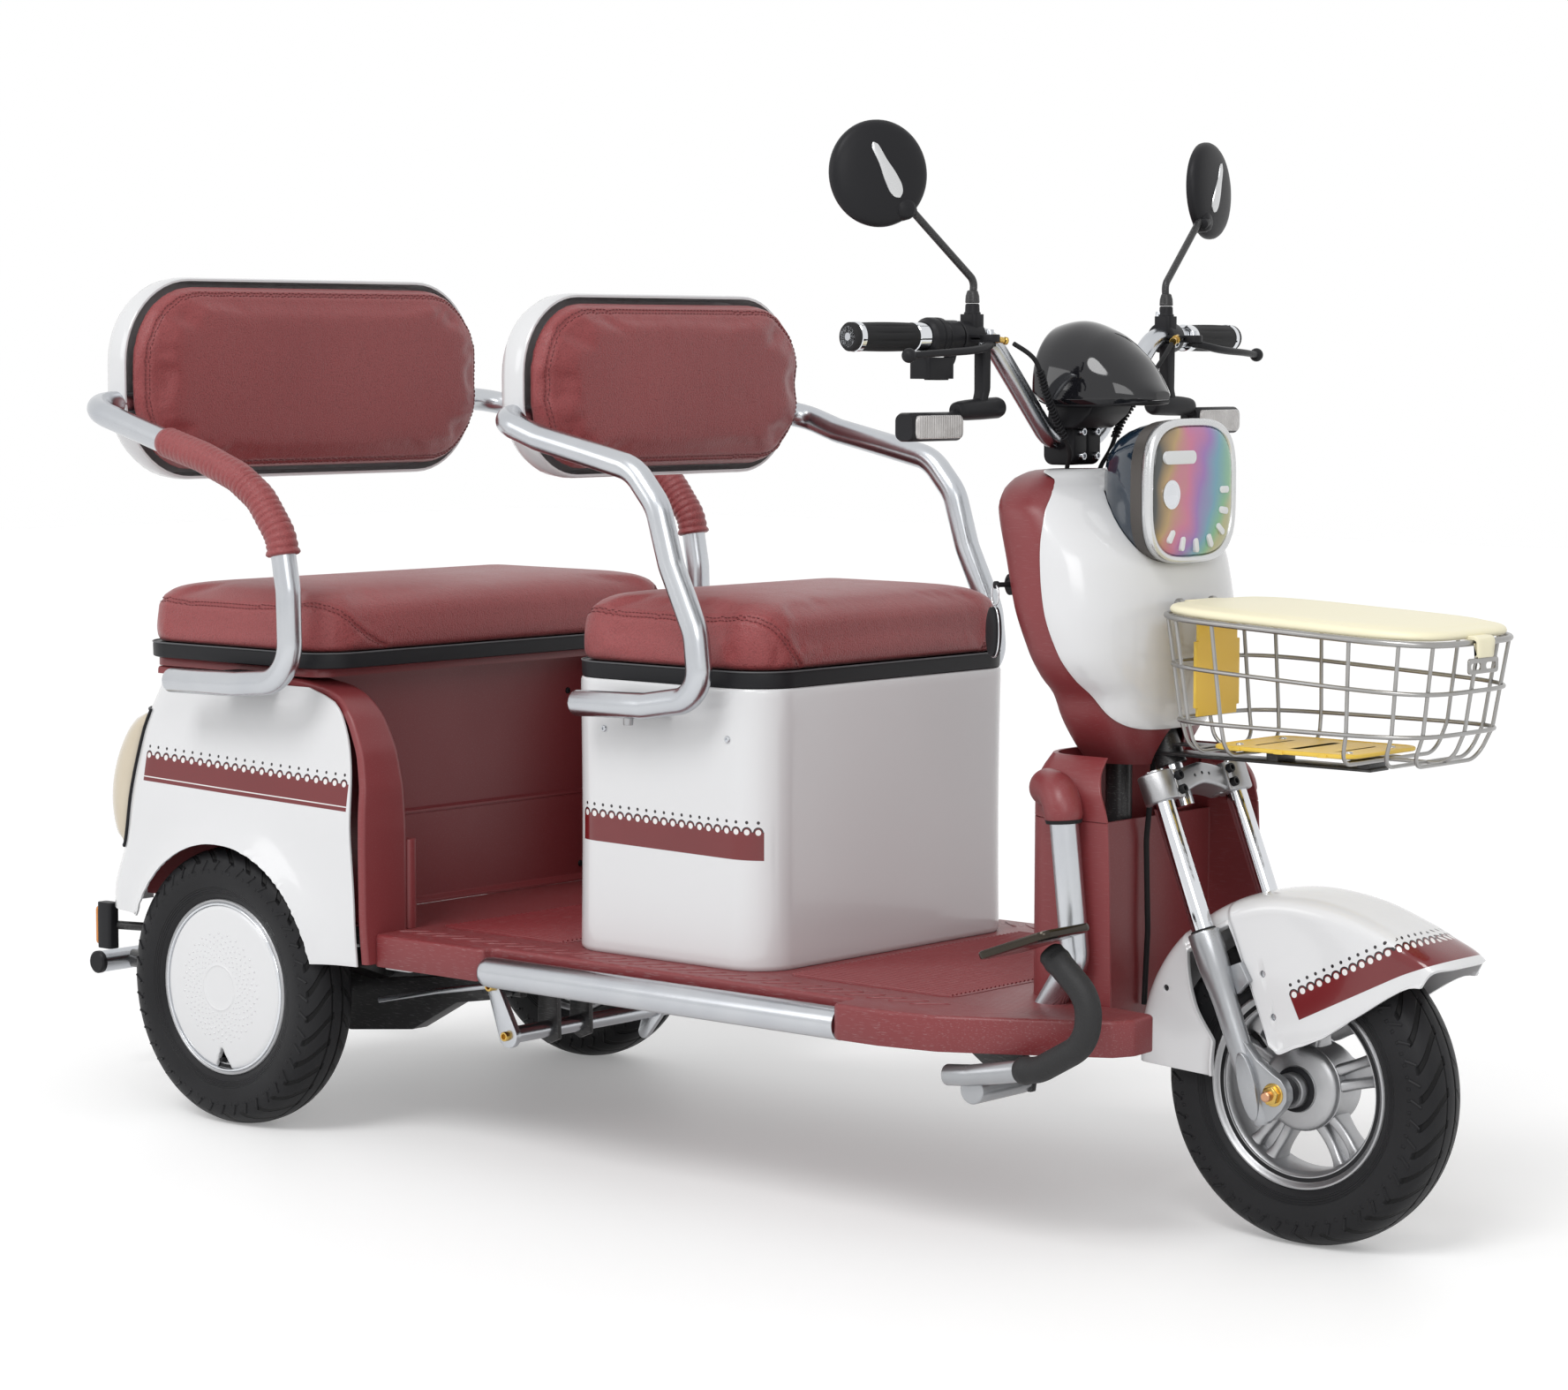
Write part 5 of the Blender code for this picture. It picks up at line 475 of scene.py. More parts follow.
def hardFinish(name, look):  # plastic, paint, lacquer and metal from one dictionary
    material, tree, shader, place = startMaterial(name, look.get("shader"))
    colour = look["colour"]
    aged = look.get("aged", tuple(c * 0.82 for c in colour))
    detail = useGroup(tree, mouldedFinish, {
        "Place": place, "Colour": (*colour, 1), "Aged Colour": (*aged, 1), "Patch Scale": look.get("patchScale", 9.0),
        "Patch Amount": look.get("patch", 0.35), "Roughness": look["rough"],
        "Roughness Shift": look.get("roughShift", 0.08),
        "Grain Scale": look.get("grainScale", 1100.0), "Scuff Amount": look.get("scuff", 0.0)})
    feed(tree, shader.inputs["Base Color"], detail.outputs["Colour"])
    feed(tree, shader.inputs["Roughness"], detail.outputs["Roughness"])
    emboss(tree, shader, detail.outputs["Height"], look.get("grain", 0.00004))
    material.diffuse_color = (*colour, 1)
    return material


finishes = {
    "whitePanel": {"colour": (0.715, 0.718, 0.728), "aged": (0.66, 0.665, 0.68), "rough": 0.17, "roughShift": 0.04,
                   "grain": 0.00002,
                   "patchScale": 3.0, "shader": {"Coat Weight": 0.35, "Coat Roughness": 0.05}},
    "redMoulding": {"colour": (0.215, 0.034, 0.038), "aged": (0.165, 0.024, 0.028), "rough": 0.38, "roughShift": 0.1,
                    "grain": 0.00006, "grainScale": 1500.0, "scuff": 0.04},
    "blackTrim": {"colour": (0.013, 0.013, 0.015), "aged": (0.03, 0.03, 0.032), "rough": 0.42, "grain": 0.00008,
                  "shader": {"Specular IOR Level": 0.16}},
    "blackGloss": {"colour": (0.008, 0.008, 0.01), "rough": 0.07, "roughShift": 0.02, "grain": 0.00001,
                   "shader": {"Coat Weight": 0.35, "Coat Roughness": 0.03, "Specular IOR Level": 0.35}},
    "framePaint": {"colour": (0.018, 0.018, 0.02), "aged": (0.05, 0.048, 0.046), "rough": 0.36, "patch": 0.55,
                   "grain": 0.00008,
                   "scuff": 0.1, "shader": {"Coat Weight": 0.1, "Specular IOR Level": 0.35}},
    "satinSteel": {"colour": (0.6, 0.615, 0.635), "aged": (0.42, 0.44, 0.48), "rough": 0.24, "roughShift": 0.07,
                   "patchScale": 14.0,
                   "patch": 0.75, "grain": 0.00003, "grainScale": 2200.0, "shader": {"Metallic": 1.0}},
    "chromeTube": {"colour": (0.72, 0.74, 0.77), "aged": (0.5, 0.5, 0.5), "rough": 0.06, "roughShift": 0.02,
                   "patch": 0.25,
                   "grain": 0.00001, "shader": {"Metallic": 1.0}},
    "castMetal": {"colour": (0.47, 0.475, 0.485), "aged": (0.33, 0.33, 0.34), "rough": 0.4, "roughShift": 0.16,
                  "patchScale": 30.0,
                  "patch": 0.8, "grain": 0.00022, "grainScale": 620.0, "shader": {"Metallic": 1.0}},
    "wireSteel": {"colour": (0.46, 0.455, 0.43), "aged": (0.3, 0.28, 0.24), "rough": 0.28, "patchScale": 34.0,
                  "patch": 0.7,
                  "grain": 0.00003, "shader": {"Metallic": 1.0}},
    "brass": {"colour": (0.62, 0.42, 0.12), "aged": (0.4, 0.25, 0.07), "rough": 0.24, "grain": 0.00003,
              "shader": {"Metallic": 1.0}},
    "yellowSheet": {"colour": (0.9, 0.62, 0.09), "aged": (0.84, 0.52, 0.06), "rough": 0.42, "grain": 0.00006},
    "paleLid": {"colour": (0.89, 0.84, 0.62), "aged": (0.87, 0.79, 0.52), "rough": 0.4, "grain": 0.00005},
    "softBlack": {"colour": (0.016, 0.016, 0.017), "aged": (0.034, 0.034, 0.035), "rough": 0.62, "patch": 0.5,
                  "grain": 0.00018,
                  "grainScale": 700.0, "shader": {"Specular IOR Level": 0.14}},
    "creamLamp": {"colour": (0.62, 0.555, 0.44), "aged": (0.5, 0.4, 0.27), "rough": 0.14, "patch": 0.5,
                  "grain": 0.00002,
                  "shader": {"Coat Weight": 0.6, "Coat Roughness": 0.04}},
    "amberGlass": {"colour": (0.62, 0.22, 0.03), "rough": 0.12, "grain": 0.00003, "shader": {"Coat Weight": 0.7}},
    "caseGrey": {"colour": (0.075, 0.078, 0.083), "rough": 0.5, "grain": 0.00012, "grainScale": 800.0},
    "bandBronze": {"colour": (0.085, 0.076, 0.07), "rough": 0.34, "grain": 0.00004, "shader": {"Metallic": 0.4}},
    "blueBlack": {"colour": (0.012, 0.03, 0.055), "aged": (0.006, 0.008, 0.012), "rough": 0.12, "patch": 0.8,
                  "patchScale": 12.0,
                  "grain": 0.00001, "shader": {"Coat Weight": 0.8, "Coat Roughness": 0.04}},
    "ringSilver": {"colour": (0.66, 0.665, 0.67), "aged": (0.52, 0.53, 0.54), "rough": 0.26, "patch": 0.5,
                   "patchScale": 20.0,
                   "grain": 0.00002, "shader": {"Metallic": 0.85}},
    "lampWhite": {"colour": (0.72, 0.74, 0.76), "rough": 0.16, "grain": 0.00002, "shader": {"Coat Weight": 0.5}},
    "legSilver": {"colour": (0.4, 0.41, 0.425), "aged": (0.3, 0.31, 0.33), "rough": 0.3, "roughShift": 0.1,
                  "patchScale": 26.0,
                  "patch": 0.7, "grain": 0.00008, "grainScale": 900.0,
                  "shader": {"Metallic": 0.75, "Coat Weight": 0.3}},
    "copperEnd": {"colour": (0.6, 0.33, 0.2), "aged": (0.35, 0.2, 0.12), "rough": 0.3, "grain": 0.00006,
                  "shader": {"Metallic": 1.0}},
    "mirrorGlass": {"colour": (0.85, 0.86, 0.87), "rough": 0.02, "roughShift": 0.01, "patch": 0.1, "grain": 0.000002,
                    "shader": {"Metallic": 1.0}},
    "pedalBronze": {"colour": (0.05, 0.04, 0.028), "aged": (0.02, 0.018, 0.016), "rough": 0.16, "patch": 0.7,
                    "patchScale": 22.0,
                    "grain": 0.00002, "shader": {"Metallic": 0.7}},
    "redThread": {"colour": (0.135, 0.022, 0.025), "rough": 0.6, "grain": 0.00006},
    "pedalSleeve": {"colour": (0.014, 0.014, 0.015), "aged": (0.03, 0.03, 0.031), "rough": 0.58, "patch": 0.6,
                    "grain": 0.0006,
                    "grainScale": 420.0, "shader": {"Specular IOR Level": 0.35}},
    "basketSteel": {"colour": (0.4, 0.4, 0.4), "aged": (0.24, 0.22, 0.19), "rough": 0.3, "patchScale": 30.0,
                    "patch": 0.6,
                    "grain": 0.00003, "shader": {"Metallic": 0.9}}}
looks = {name: hardFinish(name, look) for name, look in finishes.items()}


def makeRedLeather():
    sizes = {"colour": (0.255, 0.04, 0.043), "worn": (0.335, 0.072, 0.074), "paintedCreaseShade": (0.12, 0.016, 0.018),
             "rough": 0.4, "bump": 0.0011}
    material, tree, shader, place = startMaterial("redLeather", {"Sheen Weight": 0.12, "Specular IOR Level": 0.42})
    grain = useGroup(tree, leatherGrain, {"Place": place})
    colour = tint(tree, grain.outputs["Patches"], sizes["colour"], sizes["worn"])
    # darker colour in the pebble crevices is painted shade
    colour = tint(tree, calc(tree, "MULTIPLY", grain.outputs["Creases"], 0.55), colour, sizes["paintedCreaseShade"])
    feed(tree, shader.inputs["Base Color"], colour)
    feed(tree, shader.inputs["Roughness"], calc(tree, "MULTIPLY_ADD", grain.outputs["Patches"], 0.16,
                                                sizes["rough"] - 0.08))
    emboss(tree, shader, grain.outputs["Height"], sizes["bump"])
    material.diffuse_color = (*sizes["colour"], 1)
    return material


def makeStripedPanel(name, length, width, pitch, lowerLine):
    material, tree, shader, place = startMaterial(name, {"Coat Weight": 0.35, "Coat Roughness": 0.05})
    look = finishes["whitePanel"]
    detail = useGroup(tree, mouldedFinish, {"Place": place, "Colour": (*look["colour"], 1),
                                            "Aged Colour": (*look["aged"], 1),
                                            "Patch Scale": 3.0, "Patch Amount": 0.35, "Roughness": look["rough"],
                                            "Roughness Shift": 0.04, "Grain Scale": 1100.0})
    lengths = add(tree, "ShaderNodeUVMap", uv_map="UVMap").outputs[0]
    band = useGroup(tree, stripeBand, {"Place": lengths, "Panel Colour": detail.outputs["Colour"],
                                       "Band Colour": (0.17, 0.01, 0.013, 1), "Length": length, "Width": width,
                                       "Pitch": pitch, "Lower Line": lowerLine})
    feed(tree, shader.inputs["Base Color"], band.outputs["Colour"])
    feed(tree, shader.inputs["Roughness"], detail.outputs["Roughness"])
    step = calc(tree, "MULTIPLY", band.outputs["Band"], 0.6)
    emboss(tree, shader, calc(tree, "ADD", step, calc(tree, "MULTIPLY", detail.outputs["Height"], 0.1)), 0.0002)
    return material


def makeTyreRubber(name, centre):  # rings on the side wall and curved slashes on the tread, about the wheel's own axle
    sizes = {"slash": 0.0365, "sweepBack": 0.052, "grooveDepth": 0.0048}
    material, tree, shader, place = startMaterial(name, {"Specular IOR Level": 0.14})
    local = add(tree, "ShaderNodeVectorMath", {0: place, 1: tuple(centre + rearAxle)}, operation="SUBTRACT").outputs[0]
    split = add(tree, "ShaderNodeSeparateXYZ", {"Vector": local})
    x, y, z = split.outputs
    radius = calc(tree, "SQRT", calc(tree, "ADD", calc(tree, "MULTIPLY", x, x), calc(tree, "MULTIPLY", z, z)))
    turn = calc(tree, "MULTIPLY", calc(tree, "ARCTAN2", z, x), 0.186)
    across = calc(tree, "ABSOLUTE", y)
    bend = calc(tree, "MULTIPLY", calc(tree, "POWER", calc(tree, "DIVIDE", across, 0.042), 1.6), sizes["sweepBack"])
    lag = calc(tree, "ADD", turn, bend)
    cell = calc(tree, "FRACT", calc(tree, "DIVIDE", lag, sizes["slash"]))
    slash = within(tree, calc(tree, "ABSOLUTE", calc(tree, "SUBTRACT", cell, 0.5)), 0.13, 0.05)
    slash = both(tree, both(tree, slash, within(tree, 0.006, across, 0.001)), within(tree, across, 0.0385, 0.002))
    slash = both(tree, slash, within(tree, 0.1595, radius, 0.001))
    middle = within(tree, calc(tree, "ABSOLUTE", calc(tree, "SUBTRACT", across, 0.0095)), 0.0012, 0.0006)
    groove = either(tree, slash, both(tree, middle, within(tree, 0.17, radius, 0.001)))
    ringWave = calc(tree, "SINE", calc(tree, "MULTIPLY", radius, 2300.0))
    wall = both(tree, within(tree, radius, 0.158, 0.002), within(tree, 0.122, radius, 0.002))
    ringMask = both(tree, wall, within(tree, calc(tree, "ABSOLUTE", calc(tree, "SUBTRACT", radius, 0.13)), 0.005,
                                       0.001))
    tick = within(tree, calc(tree, "ABSOLUTE", calc(tree, "SUBTRACT",
                                                    calc(tree, "FRACT", calc(tree, "MULTIPLY", turn, 62.0)), 0.5)),
                  0.12, 0.06)
    tickMask = both(tree, tick, within(tree, calc(tree, "ABSOLUTE", calc(tree, "SUBTRACT", radius, 0.1555)), 0.0022,
                                       0.0006))
    grain = noise(tree, place, 900.0, 3.0)
    smear = noise(tree, place, 11.0, 4.0)
    height = calc(tree, "SUBTRACT", calc(tree, "MULTIPLY", grain, 0.035), groove)
    height = calc(tree, "ADD", height, calc(tree, "MULTIPLY", both(tree, ringWave, ringMask), 0.1))
    height = calc(tree, "ADD", height, calc(tree, "MULTIPLY", tickMask, 0.22))
    colour = tint(tree, smear, (0.011, 0.011, 0.012), (0.026, 0.026, 0.028))
    # the grooves are darkened in the colour: painted shade
    colour = tint(tree, calc(tree, "MULTIPLY", groove, 0.8), colour, (0.004, 0.004, 0.004))
    feed(tree, shader.inputs["Base Color"], colour)
    feed(tree, shader.inputs["Roughness"], calc(tree, "MULTIPLY_ADD", smear, 0.22, 0.34))
    emboss(tree, shader, height, sizes["grooveDepth"])
    material.diffuse_color = (0.015, 0.015, 0.015, 1)
    return material


def makeFloorMat():  # fine ribs along the floor with a row of slanted oval pads down each edge
    sizes = {"rib": 0.0062, "pad": 0.03, "depth": 0.0011}
    material, tree, shader, place = startMaterial("floorMoulding")
    look = finishes["redMoulding"]
    detail = useGroup(tree, mouldedFinish, {"Place": place, "Colour": (*look["colour"], 1),
                                            "Aged Colour": (*look["aged"], 1),
                                            "Patch Scale": 7.0, "Patch Amount": 0.5, "Roughness": 0.42,
                                            "Roughness Shift": 0.12,
                                            "Grain Scale": 1300.0, "Scuff Amount": 0.1})
    split = add(tree, "ShaderNodeSeparateXYZ", {"Vector": place})
    x, y, z = split.outputs
    side = calc(tree, "ABSOLUTE", y)
    ribCell = calc(tree, "ABSOLUTE", calc(tree, "SUBTRACT", calc(tree, "FRACT", calc(tree, "DIVIDE", y, sizes["rib"])),
                                          0.5))
    rib = within(tree, ribCell, 0.28, 0.14)
    ribZone = both(tree, within(tree, side, 0.262, 0.001), both(tree, within(tree, 0.2768, z, 0.0001),
                                                                within(tree, z, 0.2776, 0.0001)))
    slant = calc(tree, "ADD", x, calc(tree, "MULTIPLY", side, 0.8))
    padCell = calc(tree, "SUBTRACT", calc(tree, "FRACT", calc(tree, "DIVIDE", slant, sizes["pad"])), 0.5)
    padLength = calc(tree, "MULTIPLY", padCell, sizes["pad"] / 0.0042)
    padAcross = calc(tree, "DIVIDE", calc(tree, "SUBTRACT", side, 0.287), 0.0145)
    padReach = calc(tree, "ADD", calc(tree, "MULTIPLY", padLength, padLength),
                    calc(tree, "MULTIPLY", padAcross, padAcross))
    pad = both(tree, within(tree, padReach, 1.0, 0.3), within(tree, 0.2768, z, 0.0001))
    relief = calc(tree, "ADD", both(tree, rib, ribZone), pad)
    # the raised ribs and pads are tinted lighter: painted highlight
    colour = tint(tree, calc(tree, "MULTIPLY", relief, 0.1, clamp=True), detail.outputs["Colour"], (0.34, 0.1, 0.1))
    feed(tree, shader.inputs["Base Color"], colour)
    feed(tree, shader.inputs["Roughness"], detail.outputs["Roughness"])
    emboss(tree, shader, calc(tree, "ADD", relief, calc(tree, "MULTIPLY", detail.outputs["Height"], 0.05)),
           sizes["depth"])
    material.diffuse_color = (*look["colour"], 1)
    return material


def makeRainbowLens():  # colours painted across the lens from a dark corner through soft tints: painted reflection
    material, tree, shader, place = startMaterial("rainbowLens", {"Coat Weight": 0.6, "Coat Roughness": 0.02,
                                                                  "Specular IOR Level": 0.4})
    split = add(tree, "ShaderNodeSeparateXYZ", {"Vector": place})
    drift = noise(tree, place, 9.0, 2.0)
    lean = calc(tree, "ADD", calc(tree, "MULTIPLY", split.outputs[1], 5.0),
                calc(tree, "MULTIPLY", split.outputs[2], -2.0))
    spot = calc(tree, "ADD", calc(tree, "ADD", lean, 2.04), calc(tree, "MULTIPLY", drift, 0.55), clamp=True)
    # the ramp paints reflections into the lens colour by place
    ramp = add(tree, "ShaderNodeValToRGB", {"Fac": spot})
    stops = ((0.0, (0.025, 0.03, 0.032)), (0.2, (0.06, 0.065, 0.062)), (0.34, (0.44, 0.29, 0.12)),
             (0.46, (0.55, 0.15, 0.27)),
             (0.58, (0.3, 0.14, 0.43)), (0.72, (0.12, 0.32, 0.43)), (0.86, (0.18, 0.43, 0.22)),
             (1.0, (0.42, 0.41, 0.18)))
    band = ramp.color_ramp
    band.elements[0].position, band.elements[0].color = stops[0][0], (*stops[0][1], 1)
    band.elements[1].position, band.elements[1].color = stops[-1][0], (*stops[-1][1], 1)
    for position, colour in stops[1:-1]:
        band.elements.new(position).color = (*colour, 1)
    feed(tree, shader.inputs["Base Color"], ramp.outputs[0])
    feed(tree, shader.inputs["Roughness"], calc(tree, "MULTIPLY_ADD", drift, 0.05, 0.05))
    material.diffuse_color = (0.5, 0.5, 0.5, 1)
    return material


def makeClearLens():
    material, tree, shader, place = startMaterial("clearLens", {"Coat Weight": 0.8, "Coat Roughness": 0.04,
                                                                "Specular IOR Level": 0.6})
    split = add(tree, "ShaderNodeSeparateXYZ", {"Vector": place})
    flute = calc(tree, "SINE", calc(tree, "MULTIPLY", split.outputs[1], 1500.0))
    shadeMask = noise(tree, place, 60.0, 2.0)
    feed(tree, shader.inputs["Base Color"], tint(tree, shadeMask, (0.34, 0.32, 0.31), (0.66, 0.64, 0.63)))
    feed(tree, shader.inputs["Roughness"], calc(tree, "MULTIPLY_ADD", shadeMask, 0.12, 0.06))
    emboss(tree, shader, flute, 0.0003)
    return material


looks["redLeather"] = makeRedLeather()
looks["floorMoulding"] = makeFloorMat()
looks["rainbowLens"] = makeRainbowLens()
looks["clearLens"] = makeClearLens()
looks["boxStripe"] = makeStripedPanel("boxStripe", 0.294, 0.0395, 0.0147, 0.0)
looks["sideStripe"] = makeStripedPanel("sideStripe", 0.4, 0.0395, 0.0175, 1.0)
looks["fenderStripe"] = makeStripedPanel("fenderStripe", 0.46, 0.034, 0.0125, 0.0)
print("finishes made:", len(looks))


# Geometry Nodes trees for what repeats: a tube along a path, a row of stamps along a path, stamps on points


def geometryTree(name, inputs):
    return openGroup(name, "GeometryNodeTree", (("Geometry", "Geometry", None), *inputs), (("Geometry", "Geometry"),))


def makeTubeTree():
    tree, a, b = geometryTree("tubeAlongPath", (("Radius", "Float", 0.004), ("Sides", "Int", 12),
                                                ("Material", "Material", None)))
    curve = add(tree, "GeometryNodeMeshToCurve", {"Mesh": a.outputs["Geometry"]})
    ring = add(tree, "GeometryNodeCurvePrimitiveCircle", {"Resolution": a.outputs["Sides"],
                                                          "Radius": a.outputs["Radius"]})
    tube = add(tree, "GeometryNodeCurveToMesh", {"Curve": curve.outputs[0], "Profile Curve": ring.outputs[0],
                                                 "Fill Caps": True})
    real = add(tree, "GeometryNodeRealizeInstances", {"Geometry": tube.outputs[0]})
    paint = add(tree, "GeometryNodeSetMaterial", {"Geometry": real.outputs[0], "Material": a.outputs["Material"]})
    feed(tree, b.inputs["Geometry"], paint.outputs[0])
    return tree


def makeStampTree(alongPath):
    name = "stampsAlongPath" if alongPath else "stampsOnPoints"
    tree, a, b = geometryTree(name, (("Stamp", "Object", None), ("Spacing", "Float", 0.01), ("Size", "Float", 1.0),
                                     ("Material", "Material", None)))
    source = a.outputs["Geometry"]
    up = add(tree, "GeometryNodeInputNamedAttribute", {"Name": "up"}, data_type="FLOAT_VECTOR").outputs["Attribute"]
    if alongPath:
        curve = add(tree, "GeometryNodeMeshToCurve", {"Mesh": source})
        source = add(tree, "GeometryNodeResampleCurve", {"Curve": curve.outputs[0], "Length": a.outputs["Spacing"]},
                     mode="LENGTH").outputs[0]
        ahead = add(tree, "GeometryNodeInputTangent").outputs[0]
    else:
        ahead = add(tree, "GeometryNodeInputNamedAttribute", {"Name": "ahead"},
                    data_type="FLOAT_VECTOR").outputs["Attribute"]
    first = add(tree, "FunctionNodeAlignRotationToVector", {"Vector": ahead}, axis="X")
    second = add(tree, "FunctionNodeAlignRotationToVector", {"Rotation": first.outputs[0], "Vector": up}, axis="Z",
                 pivot_axis="X")
    stamp = add(tree, "GeometryNodeObjectInfo", {"Object": a.outputs["Stamp"]})
    rows = add(tree, "GeometryNodeInstanceOnPoints", {"Points": source, "Instance": stamp.outputs["Geometry"],
                                                      "Rotation": second.outputs[0]})
    size = add(tree, "ShaderNodeCombineXYZ", {0: a.outputs["Size"], 1: a.outputs["Size"], 2: a.outputs["Size"]})
    feed(tree, rows.inputs["Scale"], size.outputs[0])
    real = add(tree, "GeometryNodeRealizeInstances", {"Geometry": rows.outputs[0]})
    paint = add(tree, "GeometryNodeSetMaterial", {"Geometry": real.outputs[0], "Material": a.outputs["Material"]})
    feed(tree, b.inputs["Geometry"], paint.outputs[0])
    return tree


tubeTree = makeTubeTree()
rowTree = makeStampTree(True)
spotTree = makeStampTree(False)


def runTree(name, tree, mesh, values, look, body):
    obj = bpy.data.objects.new(name, mesh)
    scene.collection.objects.link(obj)
    modifier = obj.modifiers.new("tree", "NODES")
    modifier.node_group = tree
    sockets = {item.name: item.identifier for item in tree.interface.items_tree if item.in_out == "INPUT"}
    for key, value in {**values, "Material": looks[look]}.items():
        modifier[sockets[key]] = value
    bake(obj)
    shade(obj, 40)
    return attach(obj, body)


def pathMesh(name, paths, ups=None):
    points, edges, up = [], [], []
    for k, path in enumerate(paths):
        start = len(points)
        points += [Vector(p) + rearAxle for p in path]
        edges += [(start + i, start + i + 1) for i in range(len(path) - 1)]
        up += [Vector(ups[k][i] if ups else (0, 0, 1)) for i in range(len(path))]
    mesh = bpy.data.meshes.new(name)
    mesh.from_pydata([tuple(p) for p in points], edges, [])
    layer = mesh.attributes.new("up", "FLOAT_VECTOR", "POINT")
    layer.data.foreach_set("vector", [c for u in up for c in u])
    return mesh


def tubes(name, paths, radius, look, body, sides=12):
    return runTree(name, tubeTree, pathMesh(name, paths), {"Radius": radius, "Sides": sides}, look, body)


def stampObject(name, shape):
    mesh = bpy.data.meshes.new(name)
    mesh.from_pydata([tuple(p) for p in shape[0]], [], shape[1])
    obj = bpy.data.objects.new(name, mesh)
    scene.collection.objects.link(obj)
    return obj


stitchStamp = stampObject("stitchStamp", sweep([(-0.0021, 0, 0), (-0.0012, 0, 0.0006), (0.0012, 0, 0.0006),
                                                (0.0021, 0, 0)],
                                               [0.0003, 0.00055, 0.00055, 0.0003], 6))
screwStamp = stampObject("screwStamp",
                         loft([[(math.cos(2 * math.pi * i / 18) * r, math.sin(2 * math.pi * i / 18) * r, z)
                                for i in range(18)]
                               for r, z in ((1.0, -0.3), (1.0, 0.16), (0.86, 0.34), (0.46, 0.4), (0.42, 0.1))]))
socketStamp = stampObject("socketStamp", merge(
    loft([[(math.cos(2 * math.pi * i / 24) * r, math.sin(2 * math.pi * i / 24) * r, z) for i in range(24)]
          for r, z in ((1.0, -0.4), (1.0, 1.1), (0.92, 1.2), (0.58, 1.2), (0.56, 0.5))])))


def stitches(name, paths, ups, body):
    settings = {"Stamp": stitchStamp, "Spacing": 0.0062, "Size": 1.0}
    return runTree(name, rowTree, pathMesh(name, paths, ups), settings, "redThread", body)


def fasteners(name, spots, size, look, body, stamp=screwStamp):  # spots are (point, outward direction)
    mesh = bpy.data.meshes.new(name)
    mesh.from_pydata([tuple(Vector(p) + rearAxle) for p, out in spots], [], [])
    for label in ("up", "ahead"):
        layer = mesh.attributes.new(label, "FLOAT_VECTOR", "POINT")
        values = []
        for p, out in spots:
            up, ahead, _ = axes(out)
            values += list(up if label == "up" else ahead)
        layer.data.foreach_set("vector", values)
    return runTree(name, spotTree, mesh, {"Stamp": stamp, "Size": size}, look, body)


# Camera: the photograph's own place, level and lens


def placeCamera():
    view = {"place": (3.3255, -3.8479, 1.0421), "turn": 40.5, "down": 5.108, "roll": 0.151, "lens": 90.94}
    turn, down, roll = (math.radians(view[k]) for k in ("turn", "down", "roll"))
    ahead = Vector((-math.sin(turn) * math.cos(down), math.cos(turn) * math.cos(down), -math.sin(down)))
    right = Vector((math.cos(turn), math.sin(turn), 0))
    up = right.cross(ahead)
    rolledRight = right * math.cos(roll) + up * math.sin(roll)
    rolledUp = up * math.cos(roll) - right * math.sin(roll)
    data = bpy.data.cameras.new("studioCamera")
    data.sensor_width = 36
    data.lens = view["lens"]
    data.clip_end = 80
    camera = bpy.data.objects.new("studioCamera", data)
    camera.matrix_world = Matrix((rolledRight, rolledUp, -ahead)).transposed().to_4x4()
    camera.location = view["place"]
    scene.collection.objects.link(camera)
    scene.camera = camera


placeCamera()


# Rear body: the curves that its panels and lamps share


def panelHalf(z):
    return along(((0.235, 0.352), (0.3, 0.357), (0.4, 0.358), (0.5, 0.346), (0.59, 0.335)), z)


def panelBack(z):
    return along(((0.235, -0.285), (0.29, -0.281), (0.367, -0.253), (0.504, -0.233), (0.59, -0.196)), z)


def panelFront(z):
    return along(((0.235, 0.242), (0.3, 0.241), (0.409, 0.233), (0.47, 0.228), (0.514, 0.22), (0.555, 0.202),
                  (0.575, 0.182), (0.59, 0.134)), z)


def panelSpot(z, way, lift=0.0):  # way 0 is the front edge, 1 the start of the rear corner, 2 the rear seam
    corner, front, back, half = 0.075, panelFront(z), panelBack(z), panelHalf(z)
    cornerX = back + corner
    if way <= 1:
        x = front + (cornerX - front) * way
        away = math.hypot(x - 0.003, z - 0.199) - 0.178
        return Vector((x, half + 0.027 * math.exp(-max(away, 0) / 0.028) + lift, z))
    arc = math.pi / 2 * corner
    flat = half - corner - 0.2488
    walked = (way - 1) * (arc + flat)
    away = math.hypot(cornerX - 0.003, z - 0.199) - 0.178
    flare = 0.027 * math.exp(-max(away, 0) / 0.028) * max(0, 1 - walked / 0.05)
    if walked <= arc:
        angle = walked / corner
        return Vector((cornerX - (corner + lift) * math.sin(angle),
                       half - corner + (corner + lift) * math.cos(angle) + flare, z))
    return Vector((back - lift, half - corner - (walked - arc), z))


def cutWith(obj, shapes, operation="DIFFERENCE", solver="EXACT"):  # the piece keeps its own finish on the cut faces
    finish, guides = obj.data.materials[0], []
    for shape in shapes:
        mesh = bpy.data.meshes.new("guide")
        mesh.from_pydata([tuple(Vector(p) + rearAxle) for p in shape[0]], [], shape[1])
        bm = bmesh.new()
        bm.from_mesh(mesh)
        bmesh.ops.recalc_face_normals(bm, faces=bm.faces)
        bm.to_mesh(mesh)
        bm.free()
        guide = bpy.data.objects.new("guide", mesh)
        scene.collection.objects.link(guide)
        guides.append(guide)
        cut = obj.modifiers.new("cut", "BOOLEAN")
        cut.operation = operation
        cut.solver = solver
        cut.object = guide
    bake(obj)
    obj.data.materials.clear()
    obj.data.materials.append(finish)
    for guide in guides:
        bpy.data.objects.remove(guide, do_unlink=True)


